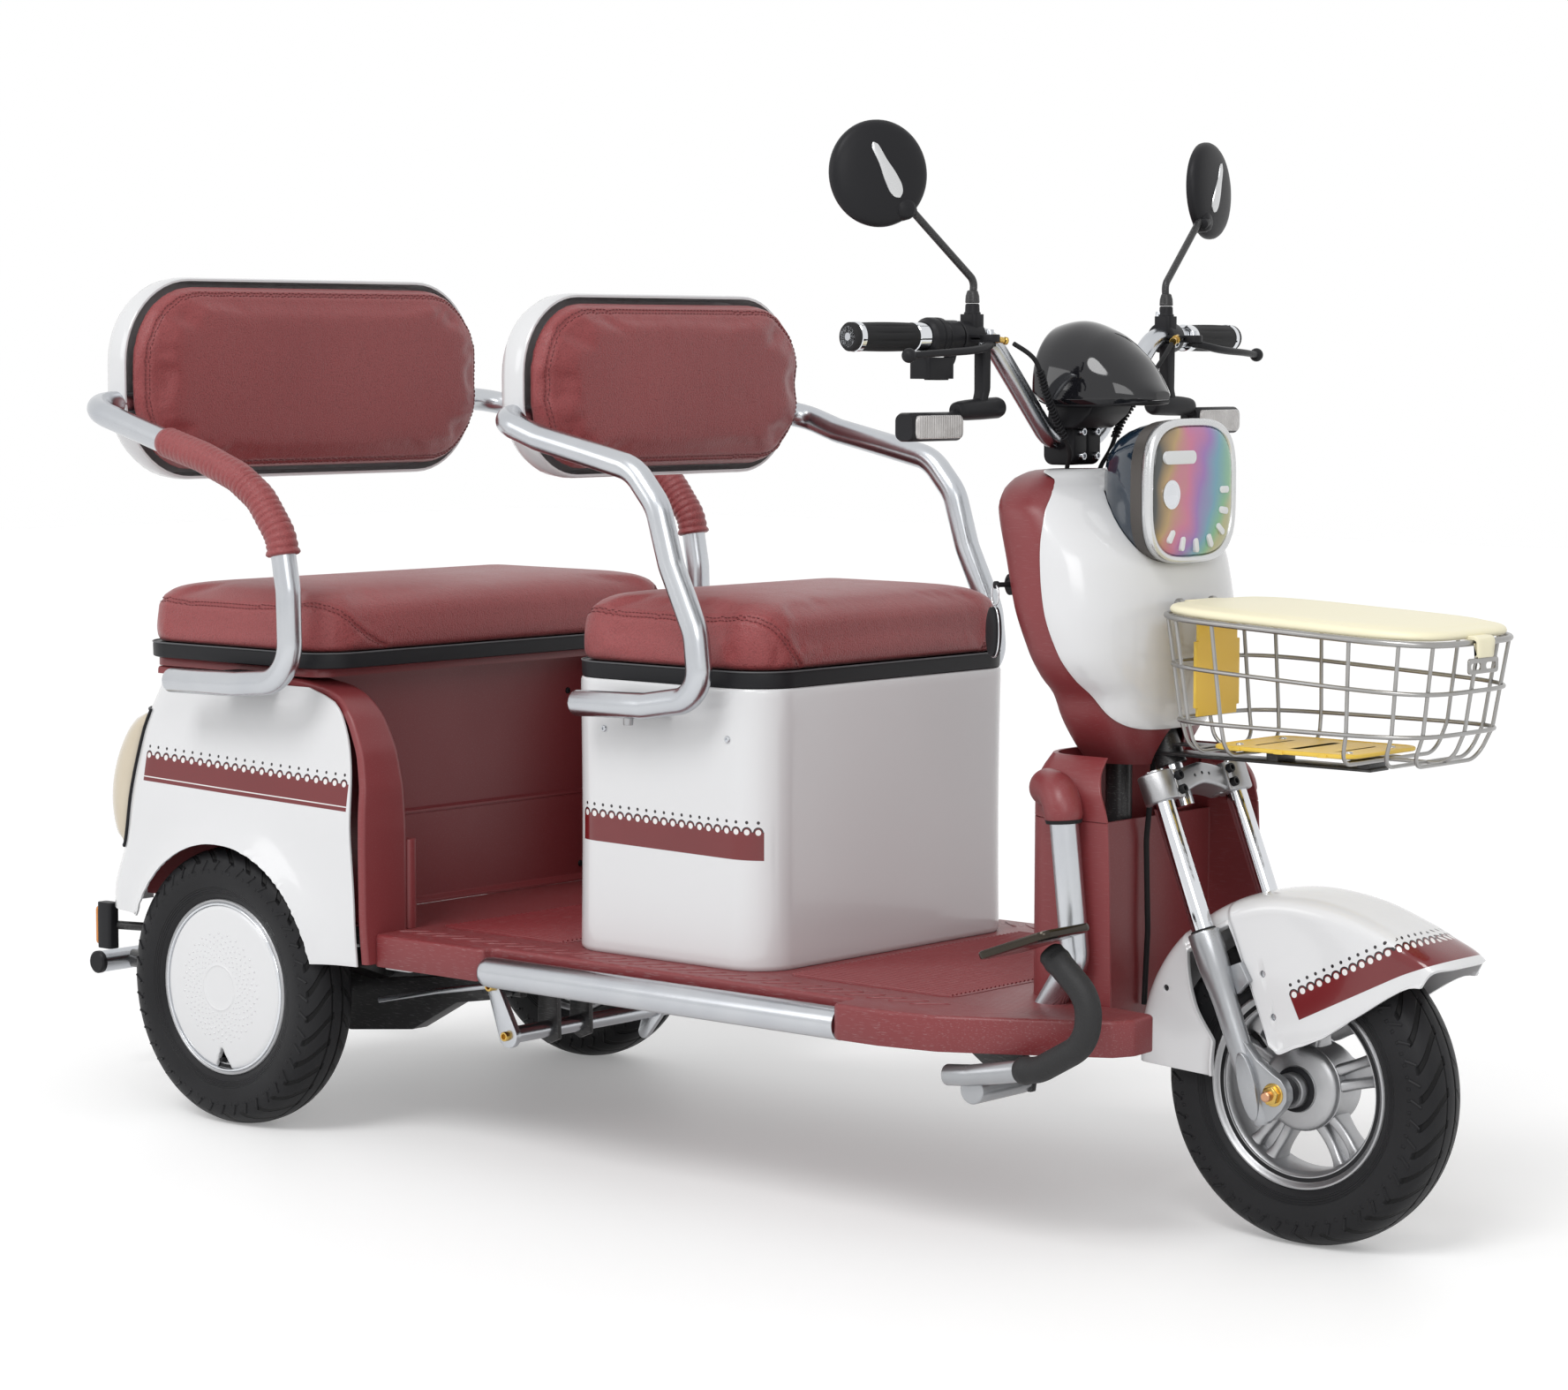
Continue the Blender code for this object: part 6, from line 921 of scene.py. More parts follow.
def shellOf(rowsOut, rowsIn):  # a closed plate between two grids of points
    count, columns = len(rowsOut), len(rowsOut[0])
    outer, faces = sheetOf(rowsOut)
    inner, _ = sheetOf(rowsIn)
    shift = len(outer)
    faces = list(faces) + [tuple(shift + i for i in reversed(face)) for face in faces]
    rim = list(range(columns)) + [i * columns + columns - 1 for i in range(1, count)]
    rim += [(count - 1) * columns + j for j in range(columns - 2, -1, -1)] + [i * columns
                                                                              for i in range(count - 2, 0, -1)]
    faces += [(a, shift + a, shift + b, b) for a, b in zip(rim, rim[1:] + rim[:1])]
    return outer + inner, faces


def layUv(obj, place):  # place turns a point of the piece, in the rear-axle frame, into lengths along a band
    mesh = obj.data
    layer = mesh.uv_layers.get("UVMap") or mesh.uv_layers.new(name="UVMap")
    spots = [place(v.co - rearAxle) for v in mesh.vertices]
    for loopItem in mesh.loops:
        layer.data[loopItem.index].uv = spots[loopItem.vertex_index]


def makeSidePanels():
    sizes = {"wall": 0.003, "rows": 46, "bandFront": 0.225, "bandLow": 0.4355, "bandDrop": 0.0115}
    heights = spread(0.235, 0.59, sizes["rows"])
    ways = spread(0, 1, 60) + spread(1, 2, 30)[1:]
    arch = lathe(((0.15, 0), (0.15, 0.178), (0.47, 0.178), (0.47, 0)), (0.003, 0, 0.199), steps=120)
    tail = block((-0.4, 0.1, 0.1), (-0.08, 0.45, 0.266))
    for side, name in ((1, "left"), (-1, "right")):
        def turnOver(shape):
            return shape if side > 0 else mirrorY(shape)

        shell = shellOf([[panelSpot(z, w) for w in ways] for z in heights],
                        [[panelSpot(z, w, -sizes["wall"]) for w in ways] for z in heights])
        obj = makePiece("sidePanel_" + name, turnOver(shell), "sideStripe", None, angle=30)
        cutWith(obj, [turnOver(arch), turnOver(tail)])

        def place(p):
            if abs(abs(p.y) - panelHalf(p.z)) > 0.05 and p.x < -0.12:
                return (-1, -1)
            reach = sizes["bandFront"] - p.x
            lift = p.z - sizes["bandLow"] - sizes["bandDrop"] * max(0, reach) / 0.4
            return (reach, lift)

        layUv(obj, place)
        bevelled(obj, 0.0009, 50)
        settle(obj, "chassis", "side_panel_" + name)
    print("side panels made")


def makeRearPanel():
    sizes = {"half": 0.2485, "low": 0.272, "high": 0.59, "wall": 0.003, "crown": 0.006}

    def spot(y, z, lift):
        ridge = 0.0035 * math.exp(-((z - 0.352) / 0.01) ** 2)
        return Vector((panelBack(z) - sizes["crown"] * (1 - (y / sizes["half"]) ** 2) + lift -
                       (ridge if lift == 0 else 0), y, z))

    columns = spread(-sizes["half"], sizes["half"], 40)
    rows = spread(sizes["low"], sizes["high"], 40)
    shell = shellOf([[spot(y, z, 0.0) for y in columns] for z in rows],
                    [[spot(y, z, sizes["wall"]) for y in columns] for z in rows])
    obj = makePiece("rearPanel", shell, "whitePanel", None, angle=30)
    bevelled(obj, 0.0008, 50)
    settle(obj, "chassis", "rear_panel")
    for side, name in ((1, "left"), (-1, "right")):
        heights = spread(0.36, 0.535, 22)
        ways = spread(1.3, 1.93, 22)
        outer, inner = [], []
        for i, z in enumerate(heights):
            a = math.sin(math.pi * i / 21) ** 0.45
            outer.append([panelSpot(z, w, 0.004 + 0.03 * a * math.sin(math.pi * j / 21) ** 0.55) for j,
                          w in enumerate(ways)])
            inner.append([panelSpot(z, w, 0.0012) for w in ways])
        shape = shellOf(outer, inner)
        lamp = makePiece("tailLamp_" + name, shape if side > 0 else mirrorY(shape), "creamLamp", None, angle=40)
        settle(lamp, "chassis", "tail_lamp_" + name)
        path = [panelSpot(0.353, w, 0.002) for w in spread(1.28, 1.95, 10)]
        path += [panelSpot(z, 1.95, 0.002) for z in spread(0.36, 0.535, 10)]
        path += [panelSpot(0.541, w, 0.002) for w in spread(1.95, 1.28, 10)]
        path += [panelSpot(z, 1.28, 0.002) for z in spread(0.535, 0.36, 10)] + [panelSpot(0.353, 1.285, 0.002)]
        path = [p if side > 0 else Vector((p.x, -p.y, p.z)) for p in path]
        tubes("lampSeal_" + name, [path], 0.0022, "blackTrim", "chassis", 8)
    print("rear panel and lamps made")


def makeDriverBox():
    sizes = {"rear": 0.514, "front": 0.848, "half": 0.2532, "corner": 0.056, "top": 0.622, "base": 0.2773,
             "skin": 0.004}

    def level(z, inset):
        corner = max(sizes["corner"] - inset, 0.01)
        outline = rounded(sizes["rear"] + inset, sizes["front"] - inset, -sizes["half"] + inset, sizes["half"] - inset,
                          corner, 14)
        return [(x, y, z) for x, y in outline]

    base, top, skin = sizes["base"], sizes["top"], sizes["skin"]
    loops = [level(base, 0.003), level(base + 0.003, 0.0005), level(base + 0.007, 0.0)]
    loops += [level(z, 0.0015 * math.sin(math.pi * (z - 0.284) / 0.32)) for z in spread(0.3, top - 0.012, 10)]
    loops += [level(top - 0.004, 0.0), level(top - 0.001, 0.001), level(top, 0.0022), level(top - 0.001, skin),
              level(top - 0.006, skin + 0.001)]
    loops += [level(base + 0.01, skin + 0.001), level(base + 0.005, skin + 0.006)]
    obj = makePiece("driverBox", loft(loops), "boxStripe", None, angle=35)
    corner = math.pi / 2 * sizes["corner"]

    def place(p):  # length runs from the rear of the side, round the front corner
        flatEnd = sizes["front"] - sizes["corner"]
        if abs(p.y) > sizes["half"] - sizes["corner"] - 0.001:
            if p.x <= flatEnd:
                reach = p.x - 0.545
            else:
                turn = math.atan2(p.x - flatEnd, abs(p.y) - (sizes["half"] - sizes["corner"]))
                reach = flatEnd - 0.545 + turn * sizes["corner"]
            return (reach, p.z - 0.4179 + 0.0168 * max(0, reach))
        return (-1, -1)

    layUv(obj, place)
    settle(obj, "chassis", "driver_box")
    spots = [((x, side * 0.2534, 0.56), (0, side, 0)) for side in (1, -1) for x in (0.585, 0.79)]
    fasteners("boxScrews", spots, 0.0042, "satinSteel", "chassis")
    print("driver's box made")


makeSidePanels()
makeRearPanel()
makeDriverBox()


# Chassis tubes: black frame with bright side bars, leg guards and bumper


def guardPath():
    lower = [(1.2035, 0.18, 0.24), (1.262, 0.18, 0.33), (1.24, 0.18, 0.524)]
    far = [(x, -y, z) for x, y, z in reversed(lower)]
    return fillet(lower + [(1.194, 0.15, 0.524), (1.194, -0.15, 0.524)] + far, 0.03, 6)


def steerSpot(s, d=0.0, y=0.0):  # s up the steering axis from the crown, d ahead of it
    return Vector((1.28 - s * math.sin(rake) + d * math.cos(rake), y, 0.515 + s * math.cos(rake) + d * math.sin(rake)))


def makeChassis():
    sizes = {"railY": 0.17, "railZ": 0.246, "railRadius": 0.0142, "highZ": 0.418, "sideBar": 0.0194, "guard": 0.0169,
             "bumper": 0.0153}
    parts = []
    y, low, high, r = sizes["railY"], sizes["railZ"], sizes["highZ"], sizes["railRadius"]
    for side in (1, -1):
        rail = [(1.188, side * y, low), (0.062, side * y, low), (0.006, side * y, high), (-0.208, side * y, high)]
        parts.append(sweep(fillet(rail, 0.05), r, 20))
        arm = [(-0.205, side * y, high - 0.002), (-0.205, side * y, 0.157), (-0.4275, side * y, 0.157)]
        parts.append(sweep(fillet(arm, 0.06), r * 0.9, 20))
        for x in (0.62, 0.885):
            parts.append(sweep([(x, side * y, 0.244), (x, side * 0.335, 0.244)], 0.0108, 16))
        parts.append(block((-0.054, min(side * 0.166, side * 0.214), 0.4003),
                           (-0.006, max(side * 0.166, side * 0.214), 0.422)))
        inner, outer = sorted((side * 0.163, side * 0.1755))
        parts.append(block((0.318, inner, 0.186), (0.362, outer, 0.246)))
        parts.append(sweep([(0.34, side * 0.168, 0.2), (0.34, side * 0.219, 0.2)], 0.008, 20))
    for x in (0.13, 0.4, 0.65, 0.9, 1.13):
        reach = 0.255 if x < 0.246 else 0.297
        parts.append(block((x - 0.012, -reach, 0.2427), (x + 0.012, reach, 0.2727)))
    parts.append(sweep([(1.188, -0.19, low), (1.188, 0.19, low)], r * 1.02, 20))
    for x in (-0.03, -0.196):
        parts.append(sweep([(x, -0.212, high), (x, 0.212, high)], r * 0.97, 20))
    parts.append(sweep(fillet([(1.192, 0, low), (1.192, 0, 0.56), (1.224, 0, 0.665)], 0.05), 0.016, 20))
    neckLow, neckHigh = steerSpot(0.03), steerSpot(0.22)
    parts.append(sweep([neckLow, steerSpot(0.034), steerSpot(0.215), neckHigh], [0.0195, 0.0182, 0.0182, 0.0195], 28))
    parts.append(block((1.252, -0.0195, 0.556), (1.556, 0.0195, 0.56)))
    for x in (1.422, 1.545):
        parts.append(block((x - 0.008, -0.019, 0.557), (x + 0.008, 0.019, 0.57075)))
    lug = steerSpot(0.165)
    parts.append(block((1.128, -0.009, lug.z - 0.011), (lug.x - 0.004, 0.009, lug.z + 0.011)))
    for at, top in ((-0.16, low), (-0.1, 0.2467)):
        outline = [(0.381, 0.136), (0.4, 0.128), (0.419, 0.136), (0.416, top), (0.384, top)]
        parts.append(slab(outline, at - 0.0035, at + 0.0035, "y"))
    plate = [(1.12, 0.2467), (1.12, 0.225), (1.195, 0.176), (1.228, 0.176), (1.232, 0.205), (1.205, 0.228),
             (1.142, 0.2467)]
    parts.append(slab(plate, -0.218, -0.208, "y"))
    parts.append(sweep([(1.213, -0.212, 0.19), (1.213, -0.288, 0.19)], 0.008, 20))
    makePiece("chassisFrame", merge(*parts), "framePaint", "chassis", "frame", angle=35, bevel=0.0012)
    guard = guardPath()
    parts.append(sweep([(1.194, -0.15, 0.524), (1.194, 0.15, 0.524)], sizes["guard"] * 0.85, 20))
    bright = [sweep([p for p in guard if side * p.y > 0.1495], sizes["guard"], 32) for side in (1, -1)]
    caps = []
    for side in (1, -1):
        bar = [(0.455, side * 0.335, 0.25), (0.457, side * 0.335, 0.25), (0.461, side * 0.335, 0.25),
               (0.468, side * 0.335, 0.25),
               (1.03, side * 0.335, 0.25), (1.04, side * 0.335, 0.25)]
        bright.append(sweep(bar, [0.013, 0.0165, 0.0186] + [sizes["sideBar"]] * 3, 36))
    bumper = [(-0.4275, -0.2305, 0.157), (-0.4275, -0.228, 0.157), (-0.4275, 0.228, 0.157), (-0.4275, 0.2305, 0.157)]
    bright.append(sweep(bumper, [0.0142, sizes["bumper"], sizes["bumper"], 0.0142], 36))
    makePiece("brightTubes", merge(*bright), "satinSteel", "chassis", (), angle=40)
    for side in (1, -1):
        caps.append(sweep([(-0.4275, side * 0.2235, 0.157), (-0.4275, side * 0.229, 0.157),
                           (-0.4275, side * 0.2312, 0.157)],
                          [0.016, 0.016, 0.0135], 32))
    makePiece("bumperPlugs", merge(*caps), "blackTrim", "chassis", ())
    welds = []
    for side in (1, -1):
        for x in (-0.03, -0.196):
            ring = [(x + 0.0158 * math.cos(t), side * 0.157, high + 0.0158 * math.sin(t))
                    for t in spread(0, 2 * math.pi, 25)]
            welds.append(ring)
    tubes("weldBeads", welds, 0.0021, "framePaint", "chassis", 6)
    print("chassis made")


makeChassis()


# Seats and backrests: each pad is inflated as cloth, then its seams are drawn in and stitched


def seatLevel(look, z, inset):
    corner = max(look["corner"] - inset, 0.012)
    outline = rounded(look["rear"] + inset, look["front"] - inset, -look["half"] + inset, look["half"] - inset, corner,
                      9)
    return [(x, y, z) for x, y in outline]


def padLoops(look):  # side walls that bulge a little, a rolled edge and a gentle crown
    low, top = look["base"] + look["trim"] + 0.0008, look["base"] + look["height"]
    roll, crown = look["roll"], look["crown"]
    slim = look["slim"]
    edge = top - crown - roll
    loops = [seatLevel(look, low, 0.01 + slim), seatLevel(look, low + 0.003, 0.002 + slim)]
    loops += [seatLevel(look, z, slim - 0.002 * math.sin(math.pi * (z - low) / (edge - low)))
              for z in spread(low + 0.01, edge, 6)]
    for i in range(1, 7):
        t = math.pi / 2 * i / 6
        loops.append(seatLevel(look, edge + roll * math.sin(t), slim + roll * (1 - math.cos(t))))
    for inset, drop in ((0.04, 0.62), (0.07, 0.32), (0.1, 0.12), (0.14, 0.0)):
        loops.append(seatLevel(look, top - crown * drop - slim, inset))
    return loops


def inflate(obj, look, held):  # held tells which points stay where they are
    finish = obj.data.materials[0]
    remesh = obj.modifiers.new("even", "REMESH")
    remesh.mode = "VOXEL"
    remesh.voxel_size = look["voxel"]
    bake(obj)
    mesh = obj.data
    start = [v.co.copy() for v in mesh.vertices]
    group = obj.vertex_groups.new(name="held")
    group.add([i for i, p in enumerate(start) if held(p - rearAxle)], 1.0, "REPLACE")
    swell = obj.modifiers.new("swell", "CLOTH")
    cloth = swell.settings
    cloth.quality = 4
    cloth.mass = 0.3
    cloth.use_pressure = True
    cloth.uniform_pressure_force = look["pressure"]
    cloth.effector_weights.gravity = 0
    cloth.vertex_group_mass = "held"
    swell.collision_settings.use_collision = False
    for number in range(1, 21):
        scene.frame_set(number)
    seen = obj.evaluated_get(bpy.context.evaluated_depsgraph_get()).data
    swollen = [v.co.copy() for v in seen.vertices]
    obj.modifiers.remove(swell)
    obj.vertex_groups.clear()
    scene.frame_set(1)
    moves = [(b - a).length for a, b in zip(start, swollen)]
    for vertex, a, b in zip(mesh.vertices, start, swollen):
        shift = b - a
        vertex.co = a + shift * min(1.0, look["cap"] / max(shift.length, 1e-9))
    print(obj.name, "swelled by up to", round(max(moves) * 1000, 1), "mm")
    ease = obj.modifiers.new("ease", "SMOOTH")
    ease.factor = 0.5
    ease.iterations = 5
    fine = obj.modifiers.new("fine", "SUBSURF")
    fine.levels = fine.render_levels = 1
    bake(obj)
    obj.data.materials.clear()
    obj.data.materials.append(finish)


def sew(obj, name, guides, body, look):  # pull each seam in, then lay a row of stitches on both sides of it
    mesh = obj.data

    def skin():
        return BVHTree.FromPolygons([v.co for v in mesh.vertices], [tuple(p.vertices) for p in mesh.polygons])

    tree = skin()
    lines = []
    for guide in guides:
        points = [Vector(p) for p in guide]
        dense = []
        for a, b in zip(points, points[1:]):
            count = max(1, int((b - a).length / 0.003))
            dense += [a.lerp(b, i / count) for i in range(count)]
        dense.append(points[-1])
        for _ in range(4):
            dense = [dense[0]] + [(a + b * 2 + c) / 4 for a, b, c in zip(dense, dense[1:], dense[2:])] + [dense[-1]]
        lines.append([tree.find_nearest(p + rearAxle)[0] for p in dense])
    finder = KDTree(sum(len(line) for line in lines))
    for i, p in enumerate(p for line in lines for p in line):
        finder.insert(p, i)
    finder.balance()
    normals = [v.normal.copy() for v in mesh.vertices]
    for vertex, normal in zip(mesh.vertices, normals):
        away = finder.find(vertex.co)[2]
        if away < 0.016:
            lift = look["puff"] * math.exp(-((away - 0.008) / 0.004) ** 2)
            vertex.co += normal * (lift - look["seamDepth"] * math.exp(-(away / look["seamWidth"]) ** 2))
    mesh.update()
    tree = skin()
    rows, ups = [], []
    for line in lines:
        for side in (look["rowGap"], -look["rowGap"]):
            row, up = [], []
            for i, p in enumerate(line):
                ahead = line[min(i + 1, len(line) - 1)] - line[max(i - 1, 0)]
                spot, normal, _, _ = tree.find_nearest(p)
                if ahead.length < 1e-7 or spot is None:
                    continue
                spot, normal, _, _ = tree.find_nearest(spot + ahead.normalized().cross(normal) * side)
                row.append(spot - rearAxle + normal * 0.0001)
                up.append(normal)
            rows.append(row)
            ups.append(up)
    stitches(name, rows, ups, body)


def makeSeat(name, look, seams, node, body):
    pad = makePiece(name + "Pad", loft(padLoops(look)), "redLeather", None)
    floor = look["base"] + look["trim"] + 0.004
    inflate(pad, look, lambda p: p.z < floor)
    guides = seams + [[(x, -y, z) for x, y, z in seam] for seam in seams]
    low = look["base"] + look["trim"] + 0.0004
    for vertex in pad.data.vertices:
        vertex.co.z = max(vertex.co.z, low)
    sew(pad, name + "Stitches", guides, body, look)
    shade(pad, 60)
    settle(pad, body, node)
    base, trim = look["base"], look["trim"]
    levels = [(base, 0.006), (base + 0.0012, 0.0032), (base + 0.003, 0.003), (base + trim - 0.003, 0.0026),
              (base + trim - 0.001, 0.0032), (base + trim, 0.0048), (base + trim, 0.014)]
    makePiece(name + "Pan", loft([seatLevel(look, z, inset) for z, inset in levels]), "blackTrim", body, node,
              angle=40)
    ring = seatLevel(look, base + trim + 0.0002, 0.0028)
    tubes(name + "Piping", [ring + ring[:1]], 0.0011, "caseGrey", body, 8)


seatLooks = {
    "driver": {"rear": 0.511, "front": 0.851, "half": 0.2562, "base": 0.6223, "height": 0.108, "corner": 0.062,
               "trim": 0.02,
               "roll": 0.026, "crown": 0.014, "slim": 0.004, "voxel": 0.0055, "pressure": 4.0, "cap": 0.007,
               "fill": 0.8,
               "seamDepth": 0.0018, "seamWidth": 0.0024, "puff": 0.0006, "rowGap": 0.0034},
    "rear": {"rear": -0.2, "front": 0.18, "half": 0.35, "base": 0.6148, "height": 0.102, "corner": 0.062, "trim": 0.02,
             "roll": 0.028, "crown": 0.013, "slim": 0.004, "voxel": 0.006, "pressure": 4.0, "cap": 0.007, "fill": 0.8,
             "seamDepth": 0.0018, "seamWidth": 0.0024, "puff": 0.0006, "rowGap": 0.0034}}
driverSeam = [(0.515, -0.215, 0.708), (0.535, -0.24, 0.71), (0.62, -0.248, 0.71), (0.72, -0.249, 0.71),
              (0.785, -0.245, 0.711),
              (0.822, -0.236, 0.708), (0.842, -0.224, 0.699), (0.85, -0.212, 0.686), (0.854, -0.198, 0.667),
              (0.852, -0.182, 0.646)]
rearSeam = [(-0.196, -0.305, 0.694), (-0.17, -0.336, 0.697), (-0.08, -0.343, 0.697), (0.02, -0.343, 0.698),
            (0.095, -0.337, 0.7),
            (0.14, -0.326, 0.699), (0.168, -0.311, 0.693), (0.18, -0.29, 0.676), (0.183, -0.262, 0.655),
            (0.181, -0.232, 0.638)]
makeSeat("driverSeat", seatLooks["driver"], [driverSeam], "driver_seat", "driver_seat")
makeSeat("rearSeat", seatLooks["rear"], [rearSeam], "rear_seat", "rear_seat")
print("seats made")


def backLevel(look, x, inset, extra=0.0):
    e = extra - inset
    return [(x, y, z) for y, z in rounded(-look["half"] - e, look["half"] + e, look["low"] - e, look["high"] + e,
                                          max(look["corner"] + e, 0.012), 12)]


def makeBackrest(name, look, nodes):
    base, slim = look["bar"] + 0.0169, look["slim"]
    rows = [(0.0, 0.01), (0.001, 0.003), (0.006, slim), (0.014, slim - 0.001), (0.019, slim), (0.0245, slim + 0.004),
            (0.029, slim + 0.011), (0.032, slim + 0.02), (0.0335, slim + 0.034), (0.0345, slim + 0.06), (0.035, 0.1)]
    pad = makePiece(name + "Pad", loft([backLevel(look, base + depth, inset) for depth, inset in rows]), "redLeather",
                    None)
    inflate(pad, look, lambda p: p.x < base + 0.004)
    for vertex in pad.data.vertices:
        vertex.co.x = max(vertex.co.x, base + rearAxle.x)
    ring = backLevel(look, base + 0.03, 0.009)
    sew(pad, name + "Stitches", [ring + ring[:1]], "chassis", look)
    shade(pad, 60)
    settle(pad, "chassis", nodes + "_cushion")
    front, rear, wall = look["bar"] + 0.0163, look["bar"] - 0.0397, 0.003
    outside = [(rear, 0.055), (rear + 0.0012, 0.036), (rear + 0.004, 0.022), (rear + 0.009, 0.0125),
               (rear + 0.016, 0.006),
               (rear + 0.026, 0.0015), (front - 0.014, 0.0), (front - 0.002, 0.0008), (front, 0.0022)]
    inside = [(front, 0.002 + wall), (front - 0.014, wall), (rear + 0.018, 0.006 + wall), (rear + 0.008, 0.024 + wall),
              (rear + 0.0042, 0.055)]
    shell = loft([backLevel(look, x, inset, 0.008) for x, inset in outside + inside])
    makePiece(name + "Shell", shell, "whitePanel", "chassis", nodes + "_shell", angle=45)
    spots = [((rear + 0.0004, y, z), (-1, 0, 0)) for y in (-look["half"] * 0.62, look["half"] * 0.62)
             for z in (look["low"] + 0.062, look["high"] - 0.062)]
    fasteners(name + "Screws", spots, 0.0052, "satinSteel", "chassis")


backLooks = {
    "rear": {"bar": -0.245, "half": 0.327, "low": 0.857, "high": 1.119, "corner": 0.11, "slim": 0.0035, "voxel": 0.005,
             "pressure": 4.0, "cap": 0.006, "seamDepth": 0.0016, "seamWidth": 0.0024, "puff": 0.0005, "rowGap": 0.0032},
    "driver": {"bar": 0.437, "half": 0.255, "low": 0.874, "high": 1.094, "corner": 0.095, "slim": 0.0035,
               "voxel": 0.005,
               "pressure": 4.0, "cap": 0.006, "seamDepth": 0.0016, "seamWidth": 0.0024, "puff": 0.0005,
               "rowGap": 0.0032}}
makeBackrest("rearBackrest", backLooks["rear"], "rear_back")
makeBackrest("driverBackrest", backLooks["driver"], "driver_back")
print("backrests made")


# Hoops: one bent tube each, from the seat bracket forward, up and round behind the backrest

rearRun = ((-0.07, 0.592), (0.062, 0.594), (0.166, 0.603), (0.163, 0.72), (0.15, 0.79), (0.112, 0.838), (0.07, 0.864),
           (0.0, 0.889), (-0.086, 0.911))
driverRun = ((0.572, 0.594), (0.69, 0.597), (0.782, 0.612), (0.773, 0.69), (0.733, 0.771), (0.711, 0.842),
             (0.672, 0.886),
             (0.6, 0.902), (0.51, 0.921))


def hoopPath(run, y, backX, backZ):
    right = [Vector((x, -y, z)) for x, z in run] + [Vector((backX, -y, backZ))]
    left = [Vector((p.x, -p.y, p.z)) for p in reversed(right)]
    return fillet(right + left, 0.06, 4)


def makeHoops():
    sizes = {"radius": 0.0164}
    for name, run, y, backX, backZ, bracket, low, high in (
            ("driver", driverRun, 0.2917, 0.437, 0.945, (0.62, 0.7), 0.2535, (0.585, 0.606)),
            ("rear", rearRun, 0.3955, -0.245, 0.955, (-0.01, 0.08), 0.3303, (0.5935, 0.606))):
        path = hoopPath(run, y, backX, backZ)
        makePiece(name + "HoopTube", sweep(path, sizes["radius"], 32, ends=0.0045), "satinSteel", "chassis",
                  name + "_hoop", angle=40)
        pads, bolts = [], []
        for side in (1, -1):
            a, b = sorted((side * low, side * (y - 0.009)))
            pads.append(slab(rounded(bracket[0], bracket[1], a, b, 0.006, 5), high[0], high[1]))
            bolts.append(((sum(bracket) / 2, side * (y - 0.002), high[0] - 0.006), (0, 0, -1)))
        makePiece(name + "HoopBrackets", merge(*pads), "blackTrim", "chassis", (), angle=35,
                  bevel=0.0016)
        fasteners(name + "HoopBolts", bolts, 0.0062, "castMetal", "chassis", socketStamp)


def makeSleeves():  # soft ribbed armrests; the ribs are rings whose radius follows a rule
    sizes = {"radius": 0.0212, "rib": 0.0088, "swell": 0.0009, "cuff": 0.0026, "ribbedShare": 0.62}
    for side, name in ((-1, "right"), (1, "left")):
        run = [Vector((x, side * 0.3955, z)) for x, z in rearRun[3:]]
        run[0] = run[0].lerp(run[1], 0.65)
        run[-1] = run[-2].lerp(run[-1], 0.88)
        rough = fillet(run, 0.06, 3)
        path, walked, total = [], [], sum((b - a).length for a, b in zip(rough, rough[1:]))
        reach = 0.0
        step = 0.0011
        for a, b in zip(rough, rough[1:]):
            count = max(1, round((b - a).length / step))
            for i in range(count):
                path.append(a.lerp(b, i / count))
                walked.append(reach + (b - a).length * i / count)
            reach += (b - a).length
        path.append(rough[-1])
        walked.append(total)
        for _ in range(12):
            path = [path[0]] + [(a + b * 2 + c) / 4 for a, b, c in zip(path, path[1:], path[2:])] + [path[-1]]
        radii = []
        for s in walked:
            strength = 0.42 + 0.58 * min(1, max(0, 1.25 - s / (total * sizes["ribbedShare"])))
            wave = abs(math.sin(math.pi * s / sizes["rib"])) ** 0.7
            cuff = sizes["cuff"] * math.exp(-(s / 0.006) ** 2)
            close = 0.0035 * math.exp(-((total - s) / 0.004) ** 2) + 0.0018 * math.exp(-(s / 0.0016) ** 2)
            radii.append(sizes["radius"] - 0.0011 + sizes["swell"] * strength * (wave * 2 - 1) + cuff - close)
        sleeve = makePiece("armrestSleeve_" + name, sweep(path, radii, 30), "redLeather", "chassis",
                           "armrest_sleeve_" + name, angle=50)


makeHoops()
makeSleeves()
print("hoops and armrests made")


# Floor: a pan with a turned-down skirt, two ribbed mats and a row of slanted pads down each side


def floorRow():
    rows = ((0.0955, 0.0, 0.27), (0.0955, 0.269, 0.27), (0.246, 0.269, 0.27), (0.246, 0.323, 0.235),
            (0.258, 0.335, 0.235),
            (0.449, 0.335, 0.235), (0.451, 0.318, 0.262), (0.461, 0.312, 0.262), (1.0303, 0.312, 0.262),
            (1.0403, 0.3145, 0.262),
            (1.0403, 0.356, 0.235), (1.11, 0.355, 0.235), (1.184, 0.341, 0.235), (1.262, 0.298, 0.235),
            (1.36, 0.24, 0.235),
            (1.372, 0.215, 0.235), (1.368, 0.169, 0.235), (1.307, 0.161, 0.235), (1.212, 0.161, 0.235),
            (1.212, 0.0, 0.235))
    return fillet(rows, 0.012, 15)


def floorLoop(half, inset, height):
    whole = half + [Vector((p.x, -p.y, p.z)) for p in reversed(half[1:-1])]
    count = len(whole)
    loop = []
    for i, p in enumerate(whole):
        ahead = whole[(i + 1) % count] - whole[i - 1]
        inward = Vector((ahead.y, -ahead.x, 0)).normalized()
        spot = p + inward * inset
        loop.append((spot.x, spot.y, height(p.z)))
    return loop


